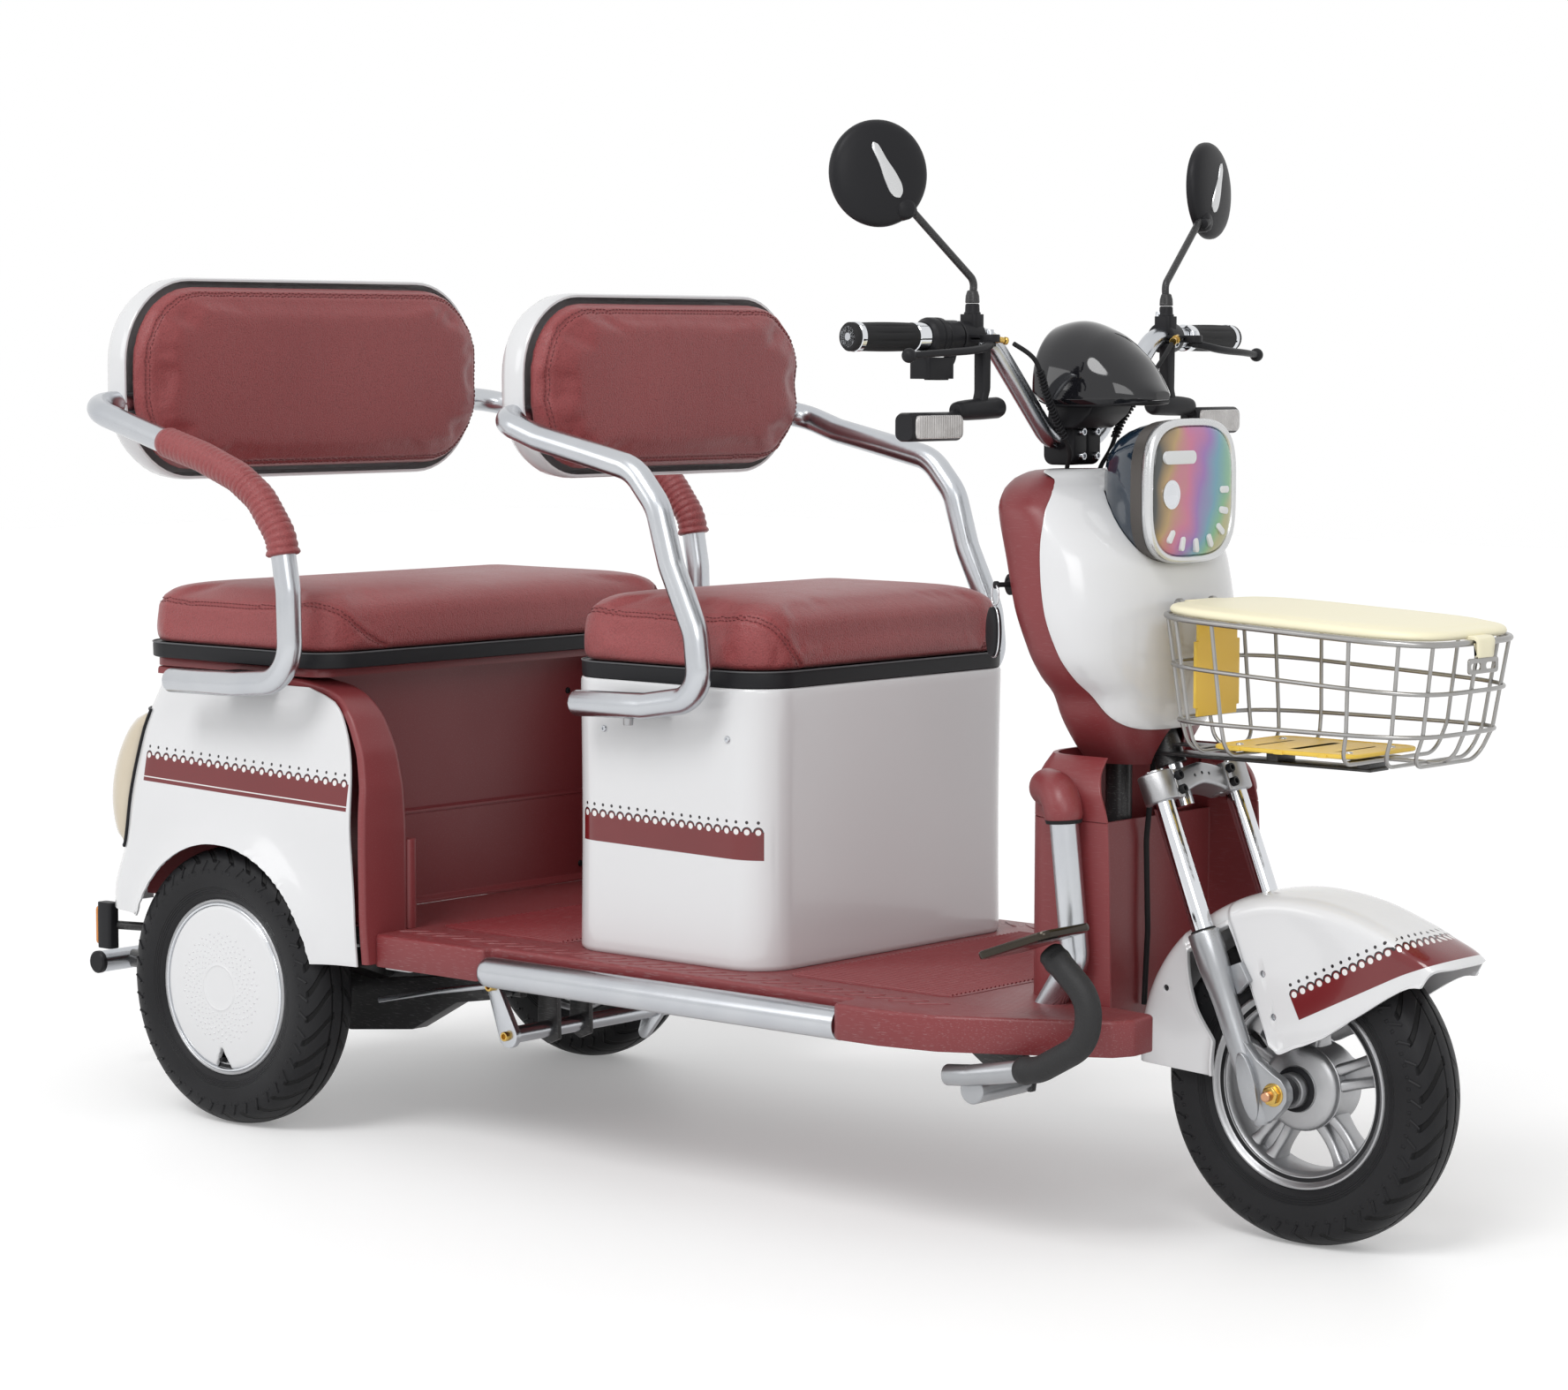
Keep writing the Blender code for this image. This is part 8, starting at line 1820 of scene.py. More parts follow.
def makeForkLegs():
    sizes = {"legY": 0.075, "legAhead": 0.0246, "axleUp": -0.3784, "axleAhead": 0.0542}
    rearPlates, nuts = [], []
    for side, name in ((1, "left"), (-1, "right")):
        base = steerSpot(0, sizes["legAhead"], side * sizes["legY"])
        tube = [(-0.23, 0), (-0.23, 0.013), (0.019, 0.013), (0.0202, 0.0122), (0.0205, 0.011), (0.0205, 0.0072),
                (0.018, 0.0066), (0.018, 0)]
        makePiece("stanchion_" + name, lathe(tube, base, steerUp, 48), "chromeTube", "steering", "stanchion_" + name,
                  angle=30)
        foot = -0.4074
        leg = [(foot, 0), (foot, 0.0092), (foot + 0.003, 0.0112), (foot + 0.01, 0.0128), (-0.372, 0.0136),
               (-0.335, 0.0139), (-0.29, 0.0143),
               (-0.262, 0.0147), (-0.244, 0.0158), (-0.226, 0.0176), (-0.214, 0.0187), (-0.2, 0.019), (-0.1768, 0.019),
               (-0.1756, 0.0186),
               (-0.175, 0.0178), (-0.175, 0.0155), (-0.1765, 0.015), (-0.1765, 0.0134)]
        makePiece("forkSlider_" + name, lathe(leg, base, steerUp, 56), "legSilver", "fork",
                  "fork_lower" if side < 0 else (),
                  angle=40)
        seal = [(-0.1763, 0.0134), (-0.1763, 0.0152), (-0.1732, 0.015), (-0.1722, 0.0138), (-0.1722, 0.0134)]
        makePiece("forkSeal_" + name, lathe(seal, base, steerUp, 48, closed=True), "softBlack", "fork", ())
        up, ahead = sizes["axleUp"], sizes["axleAhead"]
        outline = [(foot + 0.004, 0.015), (foot + 0.001, 0.03), (foot + 0.002, 0.042), (up - 0.02, ahead + 0.004),
                   (up - 0.012, ahead + 0.015),
                   (up, ahead + 0.019), (up + 0.012, ahead + 0.0165), (up + 0.024, ahead + 0.006), (up + 0.044, 0.046),
                   (up + 0.07, 0.0365),
                   (up + 0.11, 0.034), (up + 0.11, 0.018), (up + 0.05, 0.012)]
        outline = [(p.x, p.y) for p in fillet([(a, b, 0) for a, b in outline], 0.01, 12)]
        a, b = side * 0.0682, side * 0.0828
        plate = loft([[steerSpot(s, d, y) for s, d in outline] for y in (a, b)])
        disc = oval(0.04, 0.0115, 2.0, 40)
        mound = loft([[steerSpot(up + 0.018 + p * k, 0.0265 + p * 0.1 + q * k, y) for p, q in disc]
                      for k, y in ((1, side * 0.082), (1, side * 0.0886), (0.96, side * 0.0893), (0.9, side * 0.0896))])
        makePiece("dropout_" + name, merge(plate, mound), "legSilver", "fork", (), angle=35,
                  bevel=0.0016)
        tab = [(-0.222, 0.0392), (-0.222, 0.056), (-0.246, 0.06), (-0.256, 0.0392)]
        low, high = sorted((side * 0.0603, side * 0.07))
        rearPlates.append(loft([[steerSpot(s, d, y) for s, d in tab] for y in (low, high)]))
    makePiece("fenderTabs", merge(*rearPlates), "legSilver", "fork", (), bevel=0.001)
    centre = (1.472, 0, wheelZ)
    stub = [(-0.101, 0), (-0.101, 0.0046), (-0.0996, 0.006), (0.0996, 0.006), (0.101, 0.0046), (0.101, 0)]
    makePiece("axleBolt", lathe(stub, centre, (0, 1, 0), 32), "copperEnd", "fork", ())
    for side in (1, -1):
        nut = [[(1.472 + r * math.cos(math.radians(60 * i + 14)), side * y,
                 wheelZ + r * math.sin(math.radians(60 * i + 14))) for i in range(6)]
               for y, r in ((0.0835, 0.0105), (0.0835, 0.0112), (0.0912, 0.0112), (0.0918, 0.01))]
        nuts.append(loft(nut))
        nuts.append(lathe([(side * 0.0826, 0), (side * 0.0826, 0.0136), (side * 0.084, 0.0136), (side * 0.0842, 0.013),
                           (side * 0.0842, 0)],
                          centre, (0, 1, 0), 36))
    makePiece("axleNuts", merge(*nuts), "brass", "fork", (), angle=30, bevel=0.0005)
    spacers = [lathe([(side * 0.0672, 0.0062), (side * 0.0672, 0.011), (side * 0.0684, 0.011), (side * 0.0684, 0.0062)],
                     centre, (0, 1, 0), 36,
                     closed=True) for side in (1, -1)]
    makePiece("axleSpacers", merge(*spacers), "satinSteel", "fork", ())


makeForkLegs()


def fenderRadius(degrees):
    return along(((34, 0.264), (40, 0.26), (50, 0.247), (65, 0.235), (85, 0.23), (130, 0.23), (160, 0.224),
                  (180, 0.218)), degrees)


def fenderSkirt(degrees):
    short = 0.204
    low = along(((37, 0.232), (40, 0.215), (45, 0.14), (53, 0.085), (70, 0.058), (99, 0.0436), (111.9, 0.055)), degrees)
    if degrees >= 131.5:
        low = along(((131.5, 0.204), (133.5, 0.196), (145, 0.15), (155, 0.108), (180, 0.102)), degrees)
    elif degrees > 111.6:
        rise = min(1, (degrees - 111.6) / 2.4) if degrees < 122 else 1
        low = low + (short - low) * (3 * rise * rise - 2 * rise ** 3)
    return low


def stripeLengths(p):
    corners = [Vector((1.4955, 0.2608)), Vector((1.6289, 0.3262)), Vector((1.6785, 0.3457))]
    spot, best, run = Vector((p.x, p.z)), None, 0.0
    for a, b in zip(corners, corners[1:]):
        edge = b - a
        t = (spot - a).dot(edge) / edge.length_squared
        t = max(t, -1.0) if a == corners[0] else max(t, 0.0)
        t = t if b == corners[-1] else min(t, 1.0)
        gap = (spot - a - edge * t)
        if best is None or gap.length < best[0]:
            over = edge.x * gap.y - edge.y * gap.x
            best = (gap.length, run + edge.length * t, math.copysign(gap.length, over))
        run += edge.length
    return best[1], best[2]


def makeFender():
    sizes = {"half": 0.06, "wall": 0.003, "crown": 0.026, "power": 2.7, "bead": 0.0028, "bandLift": 0.0105}
    angles = spread(38, 111.0, 74) + spread(111.6, 114.2, 8) + spread(115, 130.6,
                                                                      14) + spread(131.4, 134.0, 6) + spread(135, 177,
                                                                                                             34)

    def section(degrees, wall):
        turn = math.radians(degrees)
        r = fenderRadius(degrees) - wall
        low = min(fenderSkirt(degrees), r - sizes["crown"] - 0.001)
        half = sizes["half"] - 0.006 * max(degrees - 150, 0) / 30 - wall
        half -= 0.006 * max(0, min(1, (degrees - 111.6) / 2, (132 - degrees) / 1.5))
        flare = sizes["bead"]
        points = [(half + flare, low), (half + flare, low + 0.003), (half + flare * 0.4, low + 0.005),
                  (half, low + 0.006)]
        if wall:
            points = [(half, low), (half, low + 0.0022), (half, low + 0.0042), (half, low + 0.006)]
        side = r - sizes["crown"] - low - 0.006
        points += [(half, low + 0.006 + side * t) for t in (0.12, 0.25, 0.4, 0.55, 0.7, 0.85)]
        for t in spread(0, math.pi / 2, 15):
            points.append((half * math.cos(t) ** (2 / sizes["power"]) if t < math.pi / 2 - 1e-6 else 0.0,
                           r - sizes["crown"] + sizes["crown"] * math.sin(t) ** (2 / sizes["power"])))
        whole = points + [(-y, q) for y, q in reversed(points[:-1])]
        spots = []
        for y, q in whole:
            lag = turn + math.radians(3.4) * (abs(y) / 0.06) ** 4 * max(0, (48 - degrees) / 10) * (q - low) / (r - low)
            spots.append(Vector((1.472 + q * math.cos(lag), y, wheelZ + q * math.sin(lag))))
        return spots

    shape = shellOf([section(a, 0.0) for a in angles], [section(a, sizes["wall"]) for a in angles])
    fender = makePiece("frontFender", shape, "fenderStripe", None, angle=35)
    holes = []
    for x, z in ((1.4404, 0.3181), (1.4557, 0.2695)):
        holes.append(lathe([(0.05, 0), (0.05, 0.0042), (0.07, 0.0042), (0.07, 0)], (x, 0, z), (0, -1, 0), 24))
        holes.append(lathe([(0.05, 0), (0.05, 0.0042), (0.07, 0.0042), (0.07, 0)], (x, 0, z), (0, 1, 0), 24))
    holes.append(lathe([(0.045, 0), (0.045, 0.004), (0.07, 0.004), (0.07, 0)], (1.306, 0, 0.2875), (0, -1, 0), 24))
    cutWith(fender, holes)
    bevelled(fender, 0.0006, 50)

    def place(p):
        run, lift = stripeLengths(p)
        return run + max(0, 0.058 - abs(p.y)) * (1 if run > 0.15 else 0), lift - sizes["bandLift"]

    layUv(fender, place)
    settle(fender, "fork", "front_fender")
    plugs = [lathe([(0.0548, 0), (0.0548, 0.0052), (0.0562, 0.0046), (0.0562, 0)], (x, 0, z), (0, side, 0), 24)
             for x, z in ((1.4404, 0.3181), (1.4557, 0.2695)) for side in (1, -1)]
    makePiece("fenderPlugs", merge(*plugs), "satinSteel", "fork", ())


makeFender()
print("fork and fender made")


def barDirection(side):
    return unit(Vector((1.085 - 1.118, side * (0.384 - 0.165), 0)))


def onBar(side, y):
    return Vector((1.118, side * 0.165, 1.047)) + barDirection(side) * ((y - 0.165) / abs(barDirection(side).y))


def barPath(side):
    return [(1.085, side * 0.384, 1.047), (1.118, side * 0.165, 1.047), (1.118, side * 0.045, 0.925)]


def makeGrip(side, inner, node, body):
    sizes = {"radius": 0.0165, "flutes": 11, "depth": 0.0012}
    out = barDirection(side)
    tip = (0.384 - inner) / abs(out.y)
    start = onBar(side, inner)
    d, a, b = axes(out)
    low = 0.0 if side > 0 else 0.026

    def ring(s, radius, depth=0.0):
        points = []
        for i in range(110):
            t = 2 * math.pi * i / 110
            flute = max(0, math.cos(t * sizes["flutes"])) ** 2
            points.append(start + d * s + (a * math.cos(t) + b * math.sin(t)) * (radius - depth * flute))
        return points

    body0, body1 = low + 0.018, tip - 0.0165
    loops = [ring(body0, 0.0125), ring(body0, 0.0158), ring(body0 + 0.0008, 0.0165)]
    for t in spread(0.0, 1.0, 26):
        s = body0 + 0.002 + (body1 - body0 - 0.004) * t
        swell = math.sin(math.pi * min(1, max(0, (t - 0.05) / 0.9))) ** 0.6 if 0.05 < t < 0.95 else 0.0
        loops.append(ring(s, sizes["radius"] - 0.0003 + 0.0006 * math.sin(math.pi * t), sizes["depth"] * swell))
    loops += [ring(body1 - 0.0008, 0.0165), ring(body1, 0.0158), ring(body1, 0.0125)]
    cap = lathe([(tip - 0.0085, 0.0125), (tip - 0.0085, 0.0164), (tip - 0.003, 0.0166), (tip - 0.0008, 0.015),
                 (tip, 0.0128), (tip, 0.0045),
                 (tip - 0.003, 0.004), (tip - 0.003, 0)], start, out, 56)
    makePiece("gripRubber_" + node, merge(loft(loops), cap), "softBlack", body, node, angle=40)
    rings = []
    for s0, s1, r in ((low, low + 0.0175, 0.0166), (tip - 0.0165, tip - 0.0085, 0.0172)):
        rings.append(lathe([(s0, 0.0125), (s0, r - 0.001), (s0 + 0.001, r), (s1 - 0.001, r), (s1, r - 0.001),
                            (s1, 0.0125)], start, out, 56,
                           closed=True))
    makePiece("gripRings_" + node, merge(*rings), "chromeTube", body, (), angle=40)
    if low:
        drum = [(0.0, 0.0125), (0.0, 0.0205), (0.0014, 0.0222), (0.004, 0.0225), (0.0085, 0.0225), (0.009, 0.0216),
                (0.0106, 0.0216),
                (0.0111, 0.0225), (0.0195, 0.0225), (0.0218, 0.0218), (0.0235, 0.0195), (0.0258, 0.0178),
                (0.0258, 0.0125)]
        makePiece("throttleDrum", lathe(drum, start, out, 56, closed=True), "blackTrim", body, (),
                  angle=40)


def makeHandlebar():
    sizes = {"radius": 0.012, "bend": 0.045}
    path = fillet(barPath(-1) + list(reversed(barPath(1))), sizes["bend"], 5)
    tubes("barTube", [path], sizes["radius"], "satinSteel", "steering", 32)
    settle(bpy.data.objects["barTube"], "steering", "handlebar")
    makeGrip(-1, 0.243, "throttle_grip", "throttle")
    makeGrip(1, 0.246, "grip_left", "steering")


makeHandlebar()


def makePerch(side, name):
    y0 = 0.195
    here = onBar(side, y0)

    def box(low, high, corner=0.003):
        a, b = sorted((side * low[1], side * high[1]))
        outline = rounded(low[0], high[0], a, b, min(corner, (high[0] - low[0]) * 0.45, (b - a) * 0.45), 5)
        return loft([[(x, y, z) for x, y in outline] for z in (low[2], high[2])])

    parts = [lathe([(-0.0095, 0.0123), (-0.0095, 0.0172), (-0.0082, 0.0185), (0.0207, 0.0185), (0.022, 0.0172),
                    (0.022, 0.0123)], here,
                   barDirection(side), 48, closed=True)]
    parts.append(box((1.118, y0 - 0.012, 1.0412), (1.146, y0 + 0.02, 1.044)))
    parts.append(box((1.118, y0 - 0.012, 1.0462), (1.146, y0 + 0.02, 1.05)))
    parts.append(lathe([(1.0412, 0), (1.0412, 0.0118), (1.0496, 0.0118), (1.0502, 0.011), (1.0502, 0)],
                       (1.15, side * 0.205, 0), (0, 0, 1), 40))
    parts.append(box((1.104, y0 - 0.01, 1.052), (1.128, y0 + 0.01, 1.0735), 0.005))
    parts.append(lathe([(1.07, 0), (1.07, 0.0098), (1.0755, 0.0098), (1.0762, 0.0086), (1.0845, 0.0082),
                        (1.0858, 0.007), (1.0858, 0)],
                       (1.1165, side * y0, 0), (0, 0, 1), 36))
    hanger = fillet([(1.125, side * 0.186, 1.04), (1.125, side * 0.186, 0.985), (1.125, side * 0.193, 0.966)], 0.02, 12)
    levels = []
    for i, p in enumerate(hanger):
        w = 0.0072 + 0.0018 * (1 - i / (len(hanger) - 1))
        levels.append([(p.x + a, p.y + b, p.z) for a, b in rounded(-0.008, 0.008, -w * 0.82, w * 0.82, 0.003, 4)])
    parts.append(loft(levels))
    foot = [(1.125, side * y, 0.9652 - 0.0032 * (y - 0.152) / 0.086) for y in (0.152, 0.1545, 0.159, 0.19, 0.215, 0.23,
                                                                               0.2355, 0.238)]
    parts.append(sweep(foot, [0.0085, 0.0112, 0.0125, 0.0125, 0.012, 0.011, 0.01, 0.008], 36))
    parts.append(sweep([(1.125, side * 0.228, 0.962), (1.125, side * 0.24, 0.954), (1.125, side * 0.25, 0.948)], 0.0075,
                       24))
    if side < 0:
        parts.append(lathe([(0.0245, 0.0123), (0.0245, 0.018), (0.026, 0.0195), (0.0445, 0.0195), (0.046, 0.018),
                            (0.046, 0.0123)], here,
                           barDirection(side), 48, closed=True))
        parts.append(lathe([(0.0215, 0.0123), (0.0215, 0.0155), (0.025, 0.0155), (0.025, 0.0123)], here,
                           barDirection(side), 40, closed=True))
        parts.append(sweep(fillet([(1.111, -0.226, 1.033), (1.111, -0.231, 1.02), (1.111, -0.24, 1.014)], 0.01, 20),
                           0.0072, 24))
        parts.append(box((1.094, 0.236, 0.999), (1.124, 0.285, 1.0236), 0.005))
        parts.append(box((1.0975, 0.242, 0.9975), (1.1205, 0.262, 0.9995), 0.003))
    makePiece("perchBody_" + name, merge(*parts), "blackTrim", "steering", "perch_" + name,
              bevel=0.0009)
    low, high = sorted((side * 0.236, side * 0.33))
    lamp = rounded(1.11, 1.1375, 0.928, 0.961, 0.0085, 6)
    shell = loft([[(x if i not in (0, 3) else 1.1238 + (x - 1.1238) * 0.9, y,
                    z if i not in (0, 3) else 0.9445 + (z - 0.9445) * 0.9)
                   for x, z in lamp] for i, y in enumerate((low, low + 0.004, high - 0.004, high))])
    makePiece("indicatorShell_" + name, shell, "blackTrim", "steering", (), angle=50)
    a, b = sorted((side * 0.24, side * 0.3255))
    face = rounded(a, b, 0.9312, 0.9578, 0.0075, 6)
    middle = ((a + b) / 2, 0.9445)
    window = loft([[(x, middle[0] + (y - middle[0]) * k, middle[1] + (z - middle[1]) * k) for y, z in face]
                   for x, k in ((1.136, 1.0), (1.1392, 1.0), (1.1404, 0.97), (1.1408, 0.9))])
    makePiece("indicatorLens_" + name, window, "clearLens", "steering", (), angle=50)
    adjuster = []
    start, run = Vector((1.1398, side * 0.1845, 1.0455)), unit(Vector((0.012, side * -0.03, -0.0055)))
    for low_, high_, r in ((-0.004, 0.004, 0.0052), (0.005, 0.0072, 0.0046), (0.0075, 0.014, 0.0036),
                           (0.0145, 0.0185, 0.0046)):
        adjuster.append(lathe([(low_, 0), (low_, r * 0.9), (low_ + 0.0005, r), (high_ - 0.0005, r), (high_, r * 0.9),
                               (high_, 0)], start, run, 24))
    makePiece("adjuster_" + name, merge(*adjuster), "brass", "steering", ())
    fasteners("perchBolts_" + name, [((1.15, side * 0.205, 1.0502), (0, 0, 1)),
                                     (here + Vector((0.0155, 0, -0.006)), (1, 0, -0.4)),
                                     ((1.109, side * (y0 - 0.004), 1.0735), (0, 0, 1))], 0.0046, "satinSteel",
              "steering", socketStamp)


def makeLever(side, name):
    y = side * 0.205
    root = lathe([(1.0437, 0), (1.0437, 0.0096), (1.0461, 0.0096), (1.0461, 0)], (1.15, y, 0), (0, 0, 1), 36)
    tip = Vector((1.147, side * 0.35, 1.026))
    route = [Vector(p) for p in ((1.151, y, 1.04), (1.16, side * 0.222, 1.0365), (1.163, side * 0.24, 1.033),
                                 (1.162, side * 0.27, 1.0305),
                                 (1.159, side * 0.3, 1.0292), (1.153, side * 0.328, 1.0275), tip)]
    for _ in range(2):
        route = [route[0]] + [q for a, b in zip(route, route[1:]) for q in (a.lerp(b, 0.25),
                                                                            a.lerp(b, 0.75))] + [route[-1]]
    loops, count = [], len(route)
    for i, p in enumerate(route):
        run = (route[min(i + 1, count - 1)] - route[max(i - 1, 0)]).normalized()
        out = run.cross(Vector((0, 0, 1))).normalized()
        t = i / (count - 1)
        wide = 0.0056 + 0.0012 * math.sin(math.pi * t) - 0.0014 * t
        tall = 0.005 - 0.0012 * t
        loops.append([p + out * a + Vector((0, 0, b)) for a, b in oval(wide, tall, 2.6, 24)])
    ball = lathe([(0.0085 * -math.cos(t), 0.0085 * math.sin(t)) for t in spread(0, math.pi, 19)], tip, (0, 0, 1), 32)
    pin = lathe([(1.0362, 0), (1.0362, 0.0074), (1.0407, 0.0074), (1.0407, 0)], (1.15, y, 0), (0, 0, 1), 30)
    makePiece("leverBlade_" + name, merge(root, pin, loft(loops), ball), "blackTrim", "lever_" + name, "lever_" + name,
              angle=40)


def makeMirror(side, name, degrees):
    turn = math.radians(degrees)
    facing = Vector((math.cos(turn), side * math.sin(turn), 0.05)).normalized()
    centre = Vector((1.085, side * 0.33, 1.232))
    footZ = 1.0863
    stalk = fillet([(1.1165, side * 0.195, footZ + 0.002), (1.1165, side * 0.192, 1.112), (1.096, side * 0.308, 1.208)],
                   0.014, 8)
    collar = lathe([(footZ, 0), (footZ, 0.0078), (footZ + 0.001, 0.0084), (footZ + 0.008, 0.008),
                    (footZ + 0.014, 0.0062), (footZ + 0.015, 0.0045),
                    (footZ + 0.015, 0)], (1.1165, side * 0.195, 0), (0, 0, 1), 36)
    makePiece("mirrorStalk_" + name, merge(sweep(stalk, 0.0045, 24), collar), "framePaint", "mirror_" + name,
              "mirror_" + name)
    profile = [(-0.0045, 0.0), (-0.0045, 0.0555), (-0.006, 0.0562), (-0.006, 0.0588), (-0.0048, 0.0604),
               (-0.002, 0.061), (0.002, 0.0606),
               (0.0052, 0.0588), (0.0078, 0.0556), (0.0098, 0.0508), (0.0116, 0.044), (0.013, 0.035), (0.014, 0.025),
               (0.0146, 0.014),
               (0.0148, 0.0)]
    makePiece("mirrorShell_" + name, lathe(profile, centre, facing, 72), "blackTrim", "mirror_" + name, (),
              angle=50)
    makePiece("mirrorGlass_" + name, lathe([(-0.0052, 0), (-0.0052, 0.055), (-0.0046, 0.0556), (-0.004, 0.0556),
                                            (-0.004, 0)], centre, facing,
                                           72), "mirrorGlass", "mirror_" + name, ())
    across = Vector((0, 0, 1)).cross(facing).normalized()
    rise = facing.cross(across).normalized()

    def dome(u, v):  # a point on the shell's back, u across and v up
        r = math.hypot(u, v)
        return along(sorted((q, p) for p, q in profile[6:]), r)

    boss = centre + across * (side * -0.03) + rise * -0.04
    makePiece("mirrorBoss_" + name, merge(
        lathe([(-0.004, 0), (-0.004, 0.0135), (0.008, 0.013), (0.0125, 0.011), (0.0145, 0.008), (0.015, 0.0)],
              boss - facing * 0.001, facing, 36),
        sweep([boss + facing * 0.006, boss + facing * 0.006 + (Vector((1.1005, side * 0.283,
                                                                       1.1873)) - boss).normalized() * 0.014],
              [0.0085, 0.0068],
              24, 0.001)), "blackTrim", "mirror_" + name, (), angle=50)
    # a tapering silver sliver laid on the back of the shell is a painted highlight
    lean = math.radians(62)
    dirU, dirV = Vector((side * -math.cos(lean), -math.sin(lean))), Vector((math.sin(lean), side * -math.cos(lean)))
    loops = []
    for t in spread(0, 1, 30):
        s = -0.036 + 0.07 * t
        half = along(((0.0, 0.0006), (0.03, 0.003), (0.1, 0.0048), (0.32, 0.0054), (0.62, 0.0085), (0.8, 0.0092),
                      (0.92, 0.0072), (0.98, 0.0036),
                      (1.0, 0.0008)), t)
        row = []
        for q, lift in ((-1, 0.0002), (-0.96, 0.0012), (-0.5, 0.0017), (0, 0.0019), (0.5, 0.0017), (0.96, 0.0012),
                        (1, 0.0002)):
            uv = dirU * s + dirV * (half * q) + Vector((side * -0.004, 0.002))
            row.append(centre + across * uv.x + rise * uv.y + facing * (dome(uv.x, uv.y) + lift))
        under = [p - facing * 0.003 for p in reversed(row)]
        loops.append(row + under)
    makePiece("mirrorInsert_" + name, loft(loops), "ringSilver", "mirror_" + name, (), angle=50)


for side, name, degrees in ((-1, "right", 25), (1, "left", 12)):
    makePerch(side, name)
    makeLever(side, name)
    makeMirror(side, name, degrees)
print("handlebar controls and mirrors made")


def makeHood():
    rows = ((1.1, 0.055, 0.02, 1.052), (1.106, 0.064, 0.008, 1.062), (1.135, 0.07, 0.0, 1.067),
            (1.175, 0.067, 0.0, 1.056),
            (1.21, 0.055, 0.001, 1.03), (1.236, 0.034, 0.003, 0.998), (1.25, 0.014, 0.006, 0.984))
    halves, lifts, tops = ([(r[0], r[k]) for r in rows] for k in (1, 2, 3))
    xs = [1.1, 1.1012, 1.1035, 1.106] + spread(1.11, 1.24, 30) + [1.243, 1.246, 1.2485, 1.25]
    loops = []
    for x in xs:
        half, low, top = along(halves, x), 0.968 + along(lifts, x), along(tops, x)
        loop = [(x, -half * 0.9, low), (x, half * 0.9, low)]
        for i in range(33):
            angle = math.pi * i / 32
            loop.append((x, half * math.cos(angle), low + 0.006 + (top - low - 0.006) * math.sin(angle) ** 0.88))
        loops.append(loop)
    makePiece("dashHood", loft(loops), "blackGloss", "steering", "dash_hood", angle=34, bevel=0.0016)
    screen = rounded(-0.034, 0.034, 1.002, 1.036, 0.006, 6)
    makePiece("dashScreen", slab(screen, 1.0985, 1.1015, "x"), "blackGloss",
              "steering", (), bevel=0.0006)
    lip = []
    for x in spread(1.112, 1.242, 24):
        half = along(halves, x) * 0.86
        lip.append((x, half, 0.968 + along(lifts, x) - 0.0002))
    path = lip + [(x, -y, z) for x, y, z in reversed(lip)]
    tubes("hoodLip", [path], 0.0021, "blackTrim", "steering", 12)
    lower = [(1.108, 0.939), (1.15, 0.939), (1.172, 0.956), (1.178, 0.9668), (1.112, 0.9668)]
    makePiece("dashBlock", slab(lower, -0.04, 0.04, "y"), "blackTrim", "steering", (), bevel=0.003)


makeHood()


def cableRoute(side):
    route = [Vector(p) for p in ((1.1502, side * 0.1593, 1.0395), (1.158, side * 0.128, 1.02),
                                 (1.15, side * 0.096, 0.982),
                                 (1.144, side * 0.064, 0.945), (1.145, side * 0.042, 0.914),
                                 (1.136, side * 0.034, 0.892), (1.134, side * 0.03, 0.872))]
    path = []
    for i in range(len(route) - 1):
        before, a, b, after = route[max(i - 1, 0)], route[i], route[i + 1], route[min(i + 2, len(route) - 1)]
        for k in range(10):
            t = k / 10
            path.append(0.5 * (2 * a + (b - before) * t + (2 * before - 5 * a + 4 * b - after) * t * t +
                               (3 * a - before - 3 * b + after) * t ** 3))
    return path + [route[-1]]


def makeCables():
    sizes = {"cable": 0.0028, "wrap": 0.0013, "wrapPitch": 0.0052, "wrapReach": 0.0042}
    for side, name in ((-1, "right"), (1, "left")):
        path = cableRoute(side)
        tubes("brakeCable_" + name, [path], sizes["cable"], "softBlack", "steering", 16)
        settle(bpy.data.objects["brakeCable_" + name], "steering", "cable_" + name)
        lengths = [0.0]
        for a, b in zip(path, path[1:]):
            lengths.append(lengths[-1] + (b - a).length)
        first, last = 0.24 * lengths[-1], 0.72 * lengths[-1]
        wrap, count = [], int((last - first) / sizes["wrapPitch"] * 12)
        sideways = Vector((1, 0, 0))
        for k in range(count + 1):
            s = first + (last - first) * k / count
            i = min(max(j for j in range(len(lengths)) if lengths[j] <= s), len(path) - 2)
            t = (s - lengths[i]) / (lengths[i + 1] - lengths[i])
            spot, run = path[i].lerp(path[i + 1], t), (path[i + 1] - path[i]).normalized()
            sideways = (sideways - run * sideways.dot(run)).normalized()
            up = run.cross(sideways)
            turn = 2 * math.pi * (s - first) / sizes["wrapPitch"]
            wrap.append(spot + (sideways * math.cos(turn) + up * math.sin(turn)) * sizes["wrapReach"])
        tubes("spiralWrap_" + name, [wrap], sizes["wrap"], "blackTrim", "steering", 8)


makeCables()
print("hood and cables made")


# Wheels


def wheelRing(profile, x, y, side=1, steps=120):  # rows are (outward across the wheel, radius)
    return lathe([(side * a, r) for a, r in profile], (x, y, wheelZ), (0, 1, 0), steps, closed=True)


